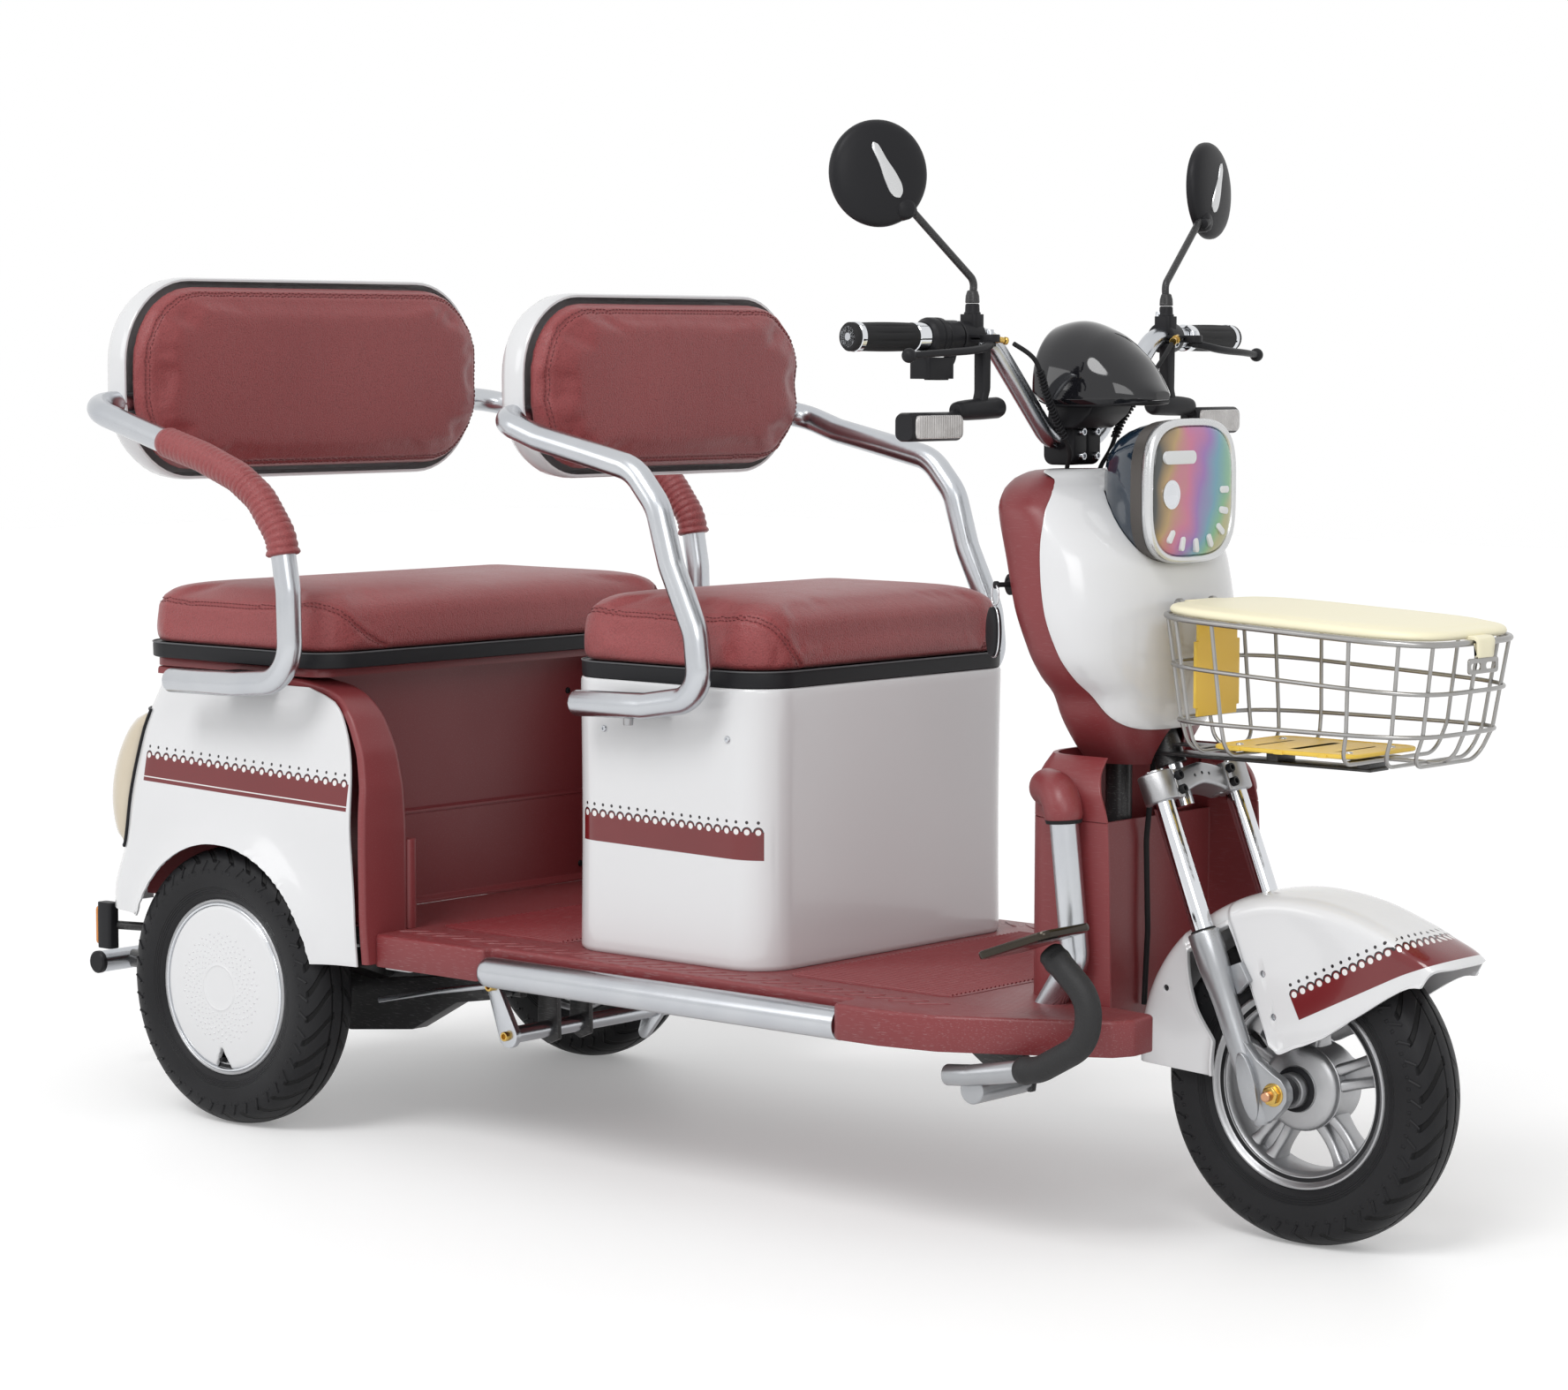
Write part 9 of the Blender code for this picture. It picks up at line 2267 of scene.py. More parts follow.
def makeTyre(name, x, y, node, body):
    sizes = {"lugs": 44, "lugRadius": 0.0016}
    half = [(0.029, 0.1043), (0.0293, 0.112), (0.0302, 0.1165), (0.0338, 0.1205), (0.0372, 0.1275), (0.0398, 0.1365),
            (0.0413, 0.146), (0.0418, 0.1535),
            (0.0412, 0.16), (0.0398, 0.166), (0.0374, 0.1714), (0.034, 0.1756), (0.029, 0.1794), (0.023, 0.1822),
            (0.0165, 0.1841), (0.0112, 0.1851),
            (0.01, 0.1852), (0.0092, 0.1836), (0.008, 0.1836), (0.0072, 0.1855), (0.0035, 0.18585), (0.0, 0.186)]
    outer = half + [(-a, r) for a, r in reversed(half[:-1])]
    inner = [(-0.0255, 0.1043), (-0.0262, 0.125), (-0.032, 0.145), (-0.03, 0.164), (-0.018, 0.174), (0.0, 0.1765),
             (0.018, 0.174), (0.03, 0.164),
             (0.032, 0.145), (0.0262, 0.125), (0.0255, 0.1043)]
    makePiece(name, wheelRing(outer + inner, x, y, 1, 160), name, body, node, angle=60)
    steps, ribs = sizes["lugs"], []
    for i in range(steps):  # raised shoulder lugs between the curved grooves
        for side in (1, -1):
            turn = 2 * math.pi * (i + (0.5 if side > 0 else 0)) / steps
            path = []
            for t in spread(0, 1, 5):
                a, r = along(((0, 0.0388), (1, 0.0417)), t), along(((0, 0.1688), (1, 0.157)), t)
                g = turn + 0.05 * t
                path.append((x + (r + 0.0006) * math.cos(g), y + side * (a + 0.0002),
                             wheelZ + (r + 0.0006) * math.sin(g)))
            ribs.append(path)
    tubes(name + "Lugs", ribs, sizes["lugRadius"], name, body, 6)


for name, x, y in (("frontTyre", 1.472, 0.0), ("tyreRight", 0.0, -0.335), ("tyreLeft", 0.0, 0.335)):
    looks[name] = makeTyreRubber(name, Vector((x, y, wheelZ)))
makeTyre("frontTyre", 1.472, 0.0, "front_tyre", "front_wheel")
makeTyre("tyreRight", 0.0, -0.335, "rear_tyre_right", "rear_wheel_right")
makeTyre("tyreLeft", 0.0, 0.335, "rear_tyre_left", "rear_wheel_left")
print("tyres made")


def rimBarrel(low):
    outer = [(0.029, 0.1168), (0.0302, 0.1178), (0.0322, 0.118), (0.0338, 0.1168), (0.0343, 0.1148), (0.0332, 0.113),
             (0.031, 0.1112), (0.0292, 0.1092)]
    inside = [(0.028, 0.106), (0.0262, 0.1022), (0.0232, low + 0.0018), (0.019, low), (0.0, low - 0.0004)]
    well = [(0.0288, 0.103), (0.025, 0.103), (0.0215, 0.1008), (0.0, 0.1006)]
    face = outer + inside + [(-a, r) for a, r in reversed(inside[:-1])] + [(-a, r) for a, r in reversed(outer)]
    back = [(-a, r) for a, r in well] + [(a, r) for a, r in reversed(well[:-1])]
    return face + back


def makeFrontRim():
    sizes = {"spokes": 5, "low": 0.098}
    x = 1.472
    barrel = wheelRing(rimBarrel(sizes["low"]), x, 0.0, 1, 144)
    hub = [(-0.0668, 0.0075), (-0.0668, 0.0108), (-0.0655, 0.012), (-0.053, 0.0125), (-0.0525, 0.019),
           (-0.0505, 0.0205), (-0.04, 0.0205),
           (-0.0385, 0.0195), (-0.038, 0.0255), (-0.0365, 0.027), (-0.0345, 0.0275), (-0.033, 0.0345), (-0.0315, 0.043),
           (-0.029, 0.0482),
           (-0.0255, 0.05), (-0.0225, 0.0505), (-0.0218, 0.0496), (-0.0195, 0.0496), (-0.0188, 0.0505),
           (0.0188, 0.0505), (0.0255, 0.05),
           (0.029, 0.0482), (0.0315, 0.043), (0.033, 0.0345), (0.0345, 0.0275), (0.038, 0.0255), (0.0385, 0.0195),
           (0.0505, 0.0205),
           (0.0525, 0.019), (0.053, 0.0125), (0.0655, 0.012), (0.0668, 0.0108), (0.0668, 0.0075)]
    hubShape = wheelRing(hub, x, 0.0, 1, 96)
    spokes = []
    for i in range(sizes["spokes"]):
        turn = 2 * math.pi * (i + 0.25) / sizes["spokes"]
        out, side = Vector((math.cos(turn), 0, math.sin(turn))), Vector((-math.sin(turn), 0, math.cos(turn)))
        for lean in (-1, 1):
            loops = []
            for t in spread(0, 1, 12):
                r = 0.045 + (0.101 - 0.045) * t
                wide = 0.0078 - 0.001 * math.sin(math.pi * t) + 0.003 * max(0, t - 0.8) / 0.2
                deep = 0.02 - 0.007 * math.sin(math.pi * min(1, t)) ** 0.8 + 0.001 * t
                away = 0.009 + 0.0045 * t
                centre = Vector((x, 0, wheelZ)) + out * r + side * (lean * away)
                loops.append([centre + side * a + Vector((0, b, 0)) for a, b in oval(wide, deep, 3.4, 28)])
            spokes.append(loft(loops))
        web = []
        for r in (0.046, 0.07, 0.1006):
            centre = Vector((x, 0, wheelZ)) + out * r
            web.append([centre + side * a + Vector((0, b, 0)) for a,
                        b in ((-0.012, -0.006), (0.012, -0.006), (0.012, 0.006), (-0.012, 0.006))])
        spokes.append(loft(web))
    makePiece("frontRim", merge(barrel, hubShape, *spokes), "castMetal", "front_wheel", "front_rim",
              angle=38)
    seal = [(0.0355, 0.0255), (0.0355, 0.0268), (0.0392, 0.0262), (0.0398, 0.021), (0.0392, 0.02)]
    collar = wheelRing([(0.053, 0.0126), (0.053, 0.0158), (0.06, 0.0158), (0.0612, 0.0146), (0.0612, 0.0118)], x, 0.0,
                       -1, 60)
    makePiece("hubSeals", merge(wheelRing(seal, x, 0.0, -1, 72), collar, wheelRing(seal, x, 0.0, 1, 60)), "blackTrim",
              "front_wheel", (),
              angle=40)
    valve = unit(Vector((math.cos(2.6), 0, math.sin(2.6))))
    foot = Vector((x, 0, wheelZ)) + valve * 0.0975
    makePiece("valveStem", merge(sweep([foot, foot - valve * 0.01, foot - valve * 0.018 + Vector((0, -0.004, 0))],
                                       [0.0042, 0.0034, 0.003], 20),
                                 sweep([foot - valve * 0.017 + Vector((0, -0.004, 0)),
                                        foot - valve * 0.026 + Vector((0, -0.008, 0))], 0.0032, 20, 0.0006)),
              "softBlack", "front_wheel", ())


makeFrontRim()


def makeRearWheel(side, name):
    sizes = {"coverFace": 0.0343, "dome": 0.007}
    y, body = side * 0.335, "rear_wheel_" + name
    barrel = wheelRing(rimBarrel(0.101), 0.0, y, side, 120)
    disc = wheelRing([(-0.003, 0.03), (-0.003, 0.07), (-0.0045, 0.085), (-0.003, 0.1015), (0.003, 0.1015),
                      (0.001, 0.085), (0.003, 0.07),
                      (0.003, 0.03)], 0.0, y, side, 96)
    hub = wheelRing([(-0.038, 0.0092), (-0.038, 0.0285), (-0.0365, 0.03), (0.0015, 0.03), (0.003, 0.0285),
                     (0.003, 0.0092)], 0.0, y, side, 72)
    makePiece("rearRim_" + name, merge(barrel, disc, hub), "castMetal", body, "rear_rim_" + name,
              angle=38)
    face, dome = sizes["coverFace"], sizes["dome"]
    notch = 2 * math.pi * 0.75
    steps = 180
    rows = []
    for r in (0.0004, 0.01, 0.02, 0.0272, 0.0285, 0.0293, 0.03, 0.0307, 0.0315, 0.034, 0.044, 0.054, 0.064, 0.074,
              0.082, 0.09, 0.0965, 0.101,
              0.1045, 0.1066, 0.108, 0.1088, 0.109):
        lift = face + dome * (1 - (r / 0.109) ** 2.6)
        lift += 0.0009 * math.exp(-((r - 0.03) / 0.0011) ** 2)
        lift -= 0.0022 * max(0, (r - 0.104) / 0.005) ** 2
        rows.append((lift, r))
    rows += [(face - 0.0036, 0.109), (face - 0.0042, 0.1084), (face - 0.0042, 0.0004)]
    c = Vector((0.0, y, wheelZ))
    loops = []
    for a, r in rows:
        loop = []
        for i in range(steps):
            t = 2 * math.pi * i / steps
            gap = abs((t - notch + math.pi) % (2 * math.pi) - math.pi)
            reach = r
            if gap < 0.14 and r > 0.08:
                reach = min(r, 0.08 + (gap / 0.14) ** 1.5 * 0.029)
            loop.append(c + Vector((reach * math.cos(t), side * a, reach * math.sin(t))))
        loops.append(loop)
    makePiece("wheelCover_" + name, loft(loops), "whitePanel", body, "wheel_cover_" + name, angle=50)
    dots = []
    for arm in range(26):  # small embossed dots curving out from the middle ring
        for k in range(9):
            r = 0.0365 + 0.0045 * k
            t = 2 * math.pi * arm / 26 + 0.11 * k
            size = 0.001 + 0.00008 * k
            lift = face + dome * (1 - (r / 0.109) ** 2.6)
            spot = c + Vector((r * math.cos(t), side * (lift - 0.0004), r * math.sin(t)))
            dots.append(lathe([(0, size), (side * 0.001, size * 0.8), (side * 0.0013, size * 0.3)], spot, (0, 1, 0), 8))
    makePiece("coverDots_" + name, merge(*dots), "whitePanel", body, (), angle=60)
    ring = wheelRing([(face - 0.003, 0.1092), (face - 0.001, 0.1093), (face + 0.0006, 0.11), (face + 0.0009, 0.1112),
                      (face + 0.0003, 0.1124),
                      (face - 0.0012, 0.113), (face - 0.004, 0.113)], 0.0, y, side, 144)
    makePiece("coverRing_" + name, ring, "chromeTube", body, (), angle=50)
    valve = c + Vector((0, side * (face - 0.004), -0.0985))
    makePiece("coverValve_" + name, lathe([(0, 0), (0, 0.0034), (0.009, 0.003), (0.01, 0.0022), (0.01, 0)], valve,
                                          (0, side, 0.2), 20),
              "softBlack", body, ())


for side, name in ((-1, "right"), (1, "left")):
    makeRearWheel(side, name)
print("rims and covers made")


# Rear axle, springs and brake


def makeRearAxle():
    stub = lathe([(-0.361, 0), (-0.361, 0.0072), (-0.3595, 0.0085), (0.3595, 0.0085), (0.361, 0.0072), (0.361, 0)],
                 (0, 0, wheelZ), (0, 1, 0), 36)
    tube = lathe([(-0.285, 0), (-0.285, 0.0205), (-0.2835, 0.022), (-0.15, 0.022), (-0.147, 0.026), (-0.1, 0.026),
                  (-0.098, 0.022), (0.15, 0.022),
                  (0.153, 0.026), (0.17, 0.026), (0.172, 0.022), (0.2835, 0.022), (0.285, 0.0205), (0.285, 0)],
                 (0, 0, wheelZ), (0, 1, 0), 48)
    arms = []
    outline = [(-0.056, 0.2317), (-0.056, 0.15), (0.0, 0.126), (0.07, 0.114), (0.19, 0.128), (0.273, 0.173),
               (0.332, 0.183), (0.352, 0.188),
               (0.356, 0.206), (0.34, 0.218), (0.26, 0.207), (0.12, 0.188), (0.06, 0.196), (0.0, 0.2317)]
    soft = [(p.x, p.y) for p in fillet([(a, b, 0) for a, b in outline], 0.012, 20)]
    for side in (1, -1):
        a, b = sorted((side * 0.1775, side * 0.2045))
        arms.append(slab(soft, a, b, "y"))
    makePiece("axleBeam", merge(stub, tube, *arms), "framePaint", "rear_swing", "rear_axle", angle=34,
              bevel=0.0012)
    motor = [(-0.07, 0.03), (-0.07, 0.058), (-0.066, 0.064), (-0.06, 0.0668), (-0.04, 0.068)]
    for k in range(12):  # cooling fins round the motor
        y = -0.036 + 0.0105 * k
        motor += [(y, 0.068), (y + 0.0004, 0.0645), (y + 0.0044, 0.0645), (y + 0.0048, 0.068)]
    motor += [(0.1, 0.068), (0.112, 0.066), (0.118, 0.06), (0.12, 0.052), (0.12, 0.03)]
    makePiece("axleMotor", lathe(motor, (0, 0, wheelZ), (0, 1, 0), 72), "caseGrey", "rear_swing", (),
              angle=30)
    bolts = []
    for k in range(6):
        t = 2 * math.pi * k / 6
        bolts += [((0.05 * math.cos(t), -0.0702, wheelZ + 0.05 * math.sin(t)), (0, -1, 0)),
                  ((0.046 * math.cos(t), 0.1195, wheelZ + 0.046 * math.sin(t)), (0, 1, 0))]
    fasteners("motorBolts", bolts, 0.0055, "satinSteel", "rear_swing", socketStamp)


makeRearAxle()


def makeShocks():
    sizes = {"low": 0.232, "high": 0.4, "spring": 0.0205, "wire": 0.0052, "turns": 6}
    for side, name in ((-1, "right"), (1, "left")):
        x, y, low, high = -0.03, side * 0.19, sizes["low"], sizes["high"]
        rows = [(low, 0), (low, 0.014), (low + 0.001, 0.015), (low + 0.018, 0.015), (low + 0.02, 0.024),
                (low + 0.0215, 0.0258), (low + 0.024, 0.0258),
                (low + 0.025, 0.0245), (low + 0.0255, 0.012), (low + 0.085, 0.012), (low + 0.0855, 0.007),
                (high - 0.03, 0.007), (high - 0.0295, 0.0235),
                (high - 0.028, 0.0258), (high - 0.024, 0.0258), (high - 0.022, 0.024), (high - 0.02, 0.014),
                (high - 0.001, 0.014), (high, 0.013), (high, 0)]
        damper = makePiece("damper_" + name, lathe(rows, (x, y, 0), (0, 0, 1), 48), "framePaint", None, angle=34)
        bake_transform(damper)
        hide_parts("shock_" + name)
        path = []
        start, end, n = low + 0.031, high - 0.036, sizes["turns"] * 28
        for k in range(n + 1):
            t = 2 * math.pi * sizes["turns"] * k / n
            path.append((x + sizes["spring"] * math.cos(t), y + sizes["spring"] * math.sin(t),
                         start + (end - start) * k / n))
        coil = tubes("coilSpring_" + name, [path], sizes["wire"], "satinSteel", "chassis", 12)
        coil.parent = None
        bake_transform(coil)


makeShocks()


def makeBrake():
    sizes = {"rod": 0.004}
    shaft = lathe([(-0.232, 0), (-0.232, 0.0098), (-0.2308, 0.011), (0.0788, 0.011), (0.08, 0.0098), (0.08, 0)],
                  (0.4, 0, 0.148), (0, 1, 0), 36)
    parts = [shaft]

    def arm(a, b, low, high, ra, rb):
        a, b = Vector((a[0], 0, a[1])), Vector((b[0], 0, b[1]))
        run = (b - a).normalized()
        side = Vector((-run.z, 0, run.x))
        outline = [a + (side * math.cos(t) - run * math.sin(t)) * ra for t in spread(0, math.pi, 12)]
        outline += [b + (-side * math.cos(t) + run * math.sin(t)) * rb for t in spread(0, math.pi, 12)]
        return loft([[(p.x, y, p.z) for p in outline] for y in (low, high)])

    parts.append(arm((0.4, 0.148), (0.372, 0.21), -0.238, -0.229, 0.016, 0.01))
    parts.append(arm((0.4, 0.148), (0.382, 0.115), 0.04, 0.047, 0.016, 0.009))
    makePiece("brakeShaft", merge(*parts), "satinSteel", "brake_shaft", "brake_shaft", bevel=0.0008)
    rod = fillet([(0.372, -0.226, 0.21), (0.26, -0.226, 0.19), (0.15, -0.226, 0.166)], 0.05, 6)
    tubes("brakeRod", [rod], sizes["rod"], "satinSteel", "brake_shaft", 16)
    fasteners("brakePins", [((0.372, -0.2382, 0.21), (0, -1, 0)), ((0.4, -0.2382, 0.148), (0, -1, 0))], 0.0062, "brass",
              "brake_shaft",
              socketStamp)


makeBrake()


def makePedal():
    sizes = {"tilt": -20, "pad": (1.249, 1.353, -0.358, -0.266), "low": 0.3655, "high": 0.3755, "arm": 0.0165}
    pivot = Vector((1.213, -0.312, 0.19))
    hub = lathe([(-0.004, 0), (-0.004, 0.015), (-0.0025, 0.0165), (0.091, 0.0165), (0.0925, 0.015), (0.0925, 0)],
                pivot + Vector((0, 0.004, 0)), (0, 1, 0), 44)
    makePiece("pedalHub", hub, "legSilver", "brake_pedal", "brake_pedal", bevel=0.0006)
    lever = fillet([(1.178, -0.312, 0.204), (1.213, -0.312, 0.2075), (1.29, -0.312, 0.222)], 0.05, 8)
    makePiece("pedalLever", sweep(lever, 0.0125, 32, 0.002), "legSilver", "brake_pedal", ())
    path = fillet([(1.28, -0.312, 0.2205), (1.311, -0.312, 0.226), (1.375, -0.312, 0.262), (1.379, -0.312, 0.313),
                   (1.322, -0.312, 0.362)], 0.045, 4)
    fine = []
    for a, b in zip(path, path[1:]):
        n = max(1, int((b - a).length / 0.0035))
        fine += [a.lerp(b, k / n) for k in range(n)]
    fine.append(path[-1])
    length, run, radii = sum((b - a).length for a, b in zip(fine, fine[1:])), 0.0, []
    for i, p in enumerate(fine):
        run += (p - fine[i - 1]).length if i else 0
        end = min(run, length - run)
        r = sizes["arm"]
        r -= 0.003 * max(0, 1 - end / 0.003)
        r += 0.0013 * math.exp(-((run - 0.012) / 0.004) ** 2) + 0.0013 * math.exp(-((length - run - 0.016) /
                                                                                    0.004) ** 2)
        radii.append(r - 0.0013)
    makePiece("pedalSleeve", sweep(fine, radii, 40), "pedalSleeve", "brake_pedal", (), angle=60)
    low, high, left, right = sizes["pad"]
    centre, turn = Vector((1.301, -0.312, 0.371)), math.radians(sizes["tilt"])

    def tilt(p):
        d = Vector(p) - centre
        return centre + Vector((d.x * math.cos(turn) + d.z * math.sin(turn), d.y,
                                -d.x * math.sin(turn) + d.z * math.cos(turn)))

    loops = []
    base, top = sizes["low"], sizes["high"]
    for k, z in ((0.9, base), (0.985, base + 0.0012), (1.0, base + 0.004), (1.0, top - 0.0025), (0.985, top - 0.0006),
                 (0.955, top),
                 (0.9, top - 0.001), (0.7, top - 0.003), (0.45, top - 0.0042), (0.2, top - 0.0047),
                 (0.02, top - 0.0048)):
        outline = rounded(low, high, left, right, 0.013, 8)
        loops.append([tilt((1.301 + (x - 1.301) * k, -0.312 + (y + 0.312) * k, z)) for x, y in outline])
    makePiece("pedalPad", loft(loops), "pedalBronze", "brake_pedal", (), angle=40)
    lines = []
    for y in spread(-0.345, -0.279, 7):
        lines.append([tilt((x, y, sizes["high"] - 0.003 - 0.0012 * math.sin(math.pi * (x - low) / (high - low))))
                      for x in spread(1.262, 1.34, 8)])
    tubes("pedalRibs", lines, 0.0011, "pedalBronze", "brake_pedal", 8)


makePedal()
print("axle, springs and brake made")


# Basket of bent wire with its plates and lid


basket = {"rear": 1.3046, "front": 1.6827, "rimZ": 0.7191, "slope": -0.0476, "rim": 0.0036, "wire": 0.00235,
          "columns": 14, "power": 4.26}


def basketRing(scale, z, shift, steps):
    middle, half = (basket["rear"] + basket["front"]) / 2, (basket["front"] - basket["rear"]) / 2
    ring = []
    for i in range(steps):
        t = 2 * math.pi * i / steps
        a = math.copysign(abs(math.cos(t)) ** (2 / basket["power"]), math.cos(t))
        b = math.copysign(abs(math.sin(t)) ** (2 / basket["power"]), math.sin(t))
        x = middle + shift + a * half * scale
        wide = 0.115 + 0.007 * (a + 1) / 2
        ring.append(Vector((x, b * wide * scale, z + basket["slope"] * (x - middle) * (z > 0.65))))
    return ring


def makeBasket():
    rim = basketRing(1.0, basket["rimZ"], 0.0, 192)
    lines = {"basketRim": ([rim + [rim[0]]], basket["rim"]), "basketHoops": ([], basket["wire"] * 1.08),
             "basketWires": ([], basket["wire"])}
    for scale, z, shift in ((0.963, 0.6636, 0.001), (0.918, 0.607, 0.0)):
        loop = basketRing(scale, z, shift, 160)
        lines["basketHoops"][0].append(loop + [loop[0]])
    n = basket["columns"]
    columns = [basketRing(scale, z, shift, n) for scale, z, shift in ((0.994, 0.7185, 0.0), (0.908, 0.608, 0.0),
                                                                      (0.84, 0.5712, -0.004))]
    for i in range(n // 2):  # each wire runs down one side, under the floor and up the other
        if i == 0:
            near, far = [c[0] for c in columns], [c[n // 2] for c in columns]
        else:
            near, far = [c[i] for c in columns], [c[n - i] for c in columns]
        path = fillet([*near, *reversed(far)], 0.034, 8)
        lines["basketWires"][0].append(path)
    for name, (paths, radius) in lines.items():
        tubes(name, paths, radius, "basketSteel", "chassis", 14)
    settle(bpy.data.objects["basketWires"], "chassis", "basket_frame")
    frontX, frontZ = basket["front"] + 0.0022, basket["rimZ"] + basket["slope"] * 0.189
    outline = rounded(-0.032, 0.032, frontZ - 0.0345, frontZ - 0.017, 0.0045, 6)
    latch = makePiece("latchPlate", loft([[(x, y, z) for y, z in outline] for x in (frontX + 0.0012, frontX + 0.0036)]),
                      "basketSteel", None)
    slots = []
    for a, b in ((-0.0265, -0.0055), (0.0055, 0.0265)):
        slots.append(loft([[(x, y, z) for y, z in rounded(a, b, frontZ - 0.03, frontZ - 0.0225, 0.0034, 5)]
                           for x in (frontX - 0.01, frontX + 0.02)]))
    cutWith(latch, slots)
    bevelled(latch, 0.0005, 40)
    settle(latch, "chassis", ())
    rearZ = basket["rimZ"] - basket["slope"] * 0.189
    hinge = rearZ + 0.01
    knuckles = []
    for y in (-0.034, 0.034):
        knuckles.append(lathe([(-0.0036, 0), (-0.0036, 0.005), (-0.0028, 0.0056), (0.0028, 0.0056), (0.0036, 0.005),
                               (0.0036, 0)],
                              (1.301, y, hinge), (0, 1, 0), 30))
        knuckles.append(loft([[(x, y + d, z) for x, z in ((1.2972, rearZ), (1.305, rearZ), (1.3045, hinge),
                                                          (1.2975, hinge))] for d in (-0.003, 0.003)]))
    knuckles.append(sweep([(1.301, -0.042, hinge), (1.301, 0.042, hinge)], 0.0026, 24, 0.0006))
    makePiece("lidHinge", merge(*knuckles), "basketSteel", "chassis", (), angle=40)
    floor = rounded(1.372, 1.566, -0.076, 0.076, 0.022, 10)
    low, high = 0.57545, 0.57925
    plate = loft([[(1.469 + (x - 1.469) * k, y * k, z) for x, y in floor] for k, z in
                  ((0.985, low), (1.0, low + 0.0008), (1.0, high), (0.985, high + 0.001), (0.955, high + 0.0012),
                   (0.945, high + 0.0002), (0.6, high))])
    tabs = [block((x - 0.006, -0.079, low), (x + 0.006, 0.079, high)) for x in (1.41, 1.469, 1.528)]
    makePiece("basketFloor", merge(plate, *tabs), "yellowSheet", "chassis", "basket_floor_plate",
              angle=40, bevel=0.0004)
    x0, lowZ, highZ = 1.3288, 0.6069, 0.715
    back = [(-0.045, lowZ + 0.01), (-0.04, lowZ + 0.01), (-0.04, lowZ), (-0.018, lowZ), (0.018, lowZ), (0.04, lowZ),
            (0.04, lowZ + 0.01), (0.045, lowZ + 0.01),
            (0.045, highZ - 0.02), (0.04, highZ - 0.02), (0.04, highZ), (-0.04, highZ), (-0.04, highZ - 0.02),
            (-0.045, highZ - 0.02)]
    makePiece("basketBack", loft([[(x, y, z) for y, z in back] for x in (x0, x0 + 0.0012, x0 + 0.0028, x0 + 0.004)]),
              "yellowSheet",
              "chassis", "basket_back_plate", bevel=0.0008)
    makePiece("basketBracket", merge(block((1.28, -0.016, 0.568), (1.56, 0.016, 0.5705)),
                                     block((1.372, -0.052, 0.569), (1.384, 0.052, 0.5706)),
                                     block((1.54, -0.052, 0.569), (1.552, 0.052, 0.5706))), "framePaint", "chassis", (),
              bevel=0.0005)
    fasteners("basketScrews", [((x, y, high), (0, 0, 1)) for x in (1.395, 1.543) for y in (-0.045, 0.045)], 0.0045,
              "satinSteel", "chassis")


makeBasket()


def makeLid():
    low = basket["rimZ"] + 0.0031
    middle = (basket["rear"] + basket["front"]) / 2

    def loop(z, scale):
        return [(p.x, p.y, z + basket["slope"] * (p.x - middle)) for p in basketRing(scale, 0.0, 0.0, 120)]

    levels = [(0.0, 0.955), (0.0006, 0.968), (0.0026, 0.978), (0.005, 0.98), (0.0072, 0.976), (0.0092, 0.966),
              (0.0104, 0.95), (0.0112, 0.925),
              (0.0118, 0.89), (0.0128, 0.87), (0.0134, 0.85), (0.0138, 0.7), (0.014, 0.45), (0.0141, 0.15)]
    frontZ = low + basket["slope"] * (basket["front"] - middle)
    x0 = basket["front"]
    outline = [(x0 - 0.03, 0.0), (x0 + 0.004, 0.0), (x0 + 0.0062, -0.001), (x0 + 0.0072, -0.003), (x0 + 0.0072, -0.017),
               (x0 + 0.0052, -0.019),
               (x0 + 0.0038, -0.019), (x0 + 0.0038, -0.004), (x0 + 0.003, -0.0026)]
    top = [(x0 - 0.03, 0.005), (x0 + 0.0046, 0.0044), (x0 + 0.0082, 0.002), (x0 + 0.0096, -0.002),
           (x0 + 0.0092, -0.0185), (x0 + 0.0078, -0.02)]
    profile = [(x, frontZ + z) for x, z in top] + [(x, frontZ + z) for x, z in reversed(outline)]
    loops = []
    for y, k in ((-0.0185, 0.92), (-0.0172, 1.0), (-0.009, 1.0), (0.0, 1.0), (0.009, 1.0), (0.0172, 1.0),
                 (0.0185, 0.92)):
        loops.append([(x0 + (x - x0) * k, y if z > frontZ - 0.01 else y * 0.9, frontZ + (z - frontZ) * k) for x,
                      z in profile])
    rearZ = low + basket["slope"] * (basket["rear"] - middle)
    knuckle = [(1.303, rearZ + 0.002), (1.325, rearZ + 0.004), (1.325, rearZ + 0.011), (1.305, rearZ + 0.0105),
               (1.303, rearZ + 0.0085)]
    makePiece("basketLid", merge(loft([loop(low + z, k) for z, k in levels]), loft(loops),
                                 slab(knuckle, -0.028, 0.028, "y")), "paleLid",
              "basket_lid", "basket_lid", angle=36, bevel=0.0008)


makeLid()
print("basket made")


# Key, reflectors and small tabs


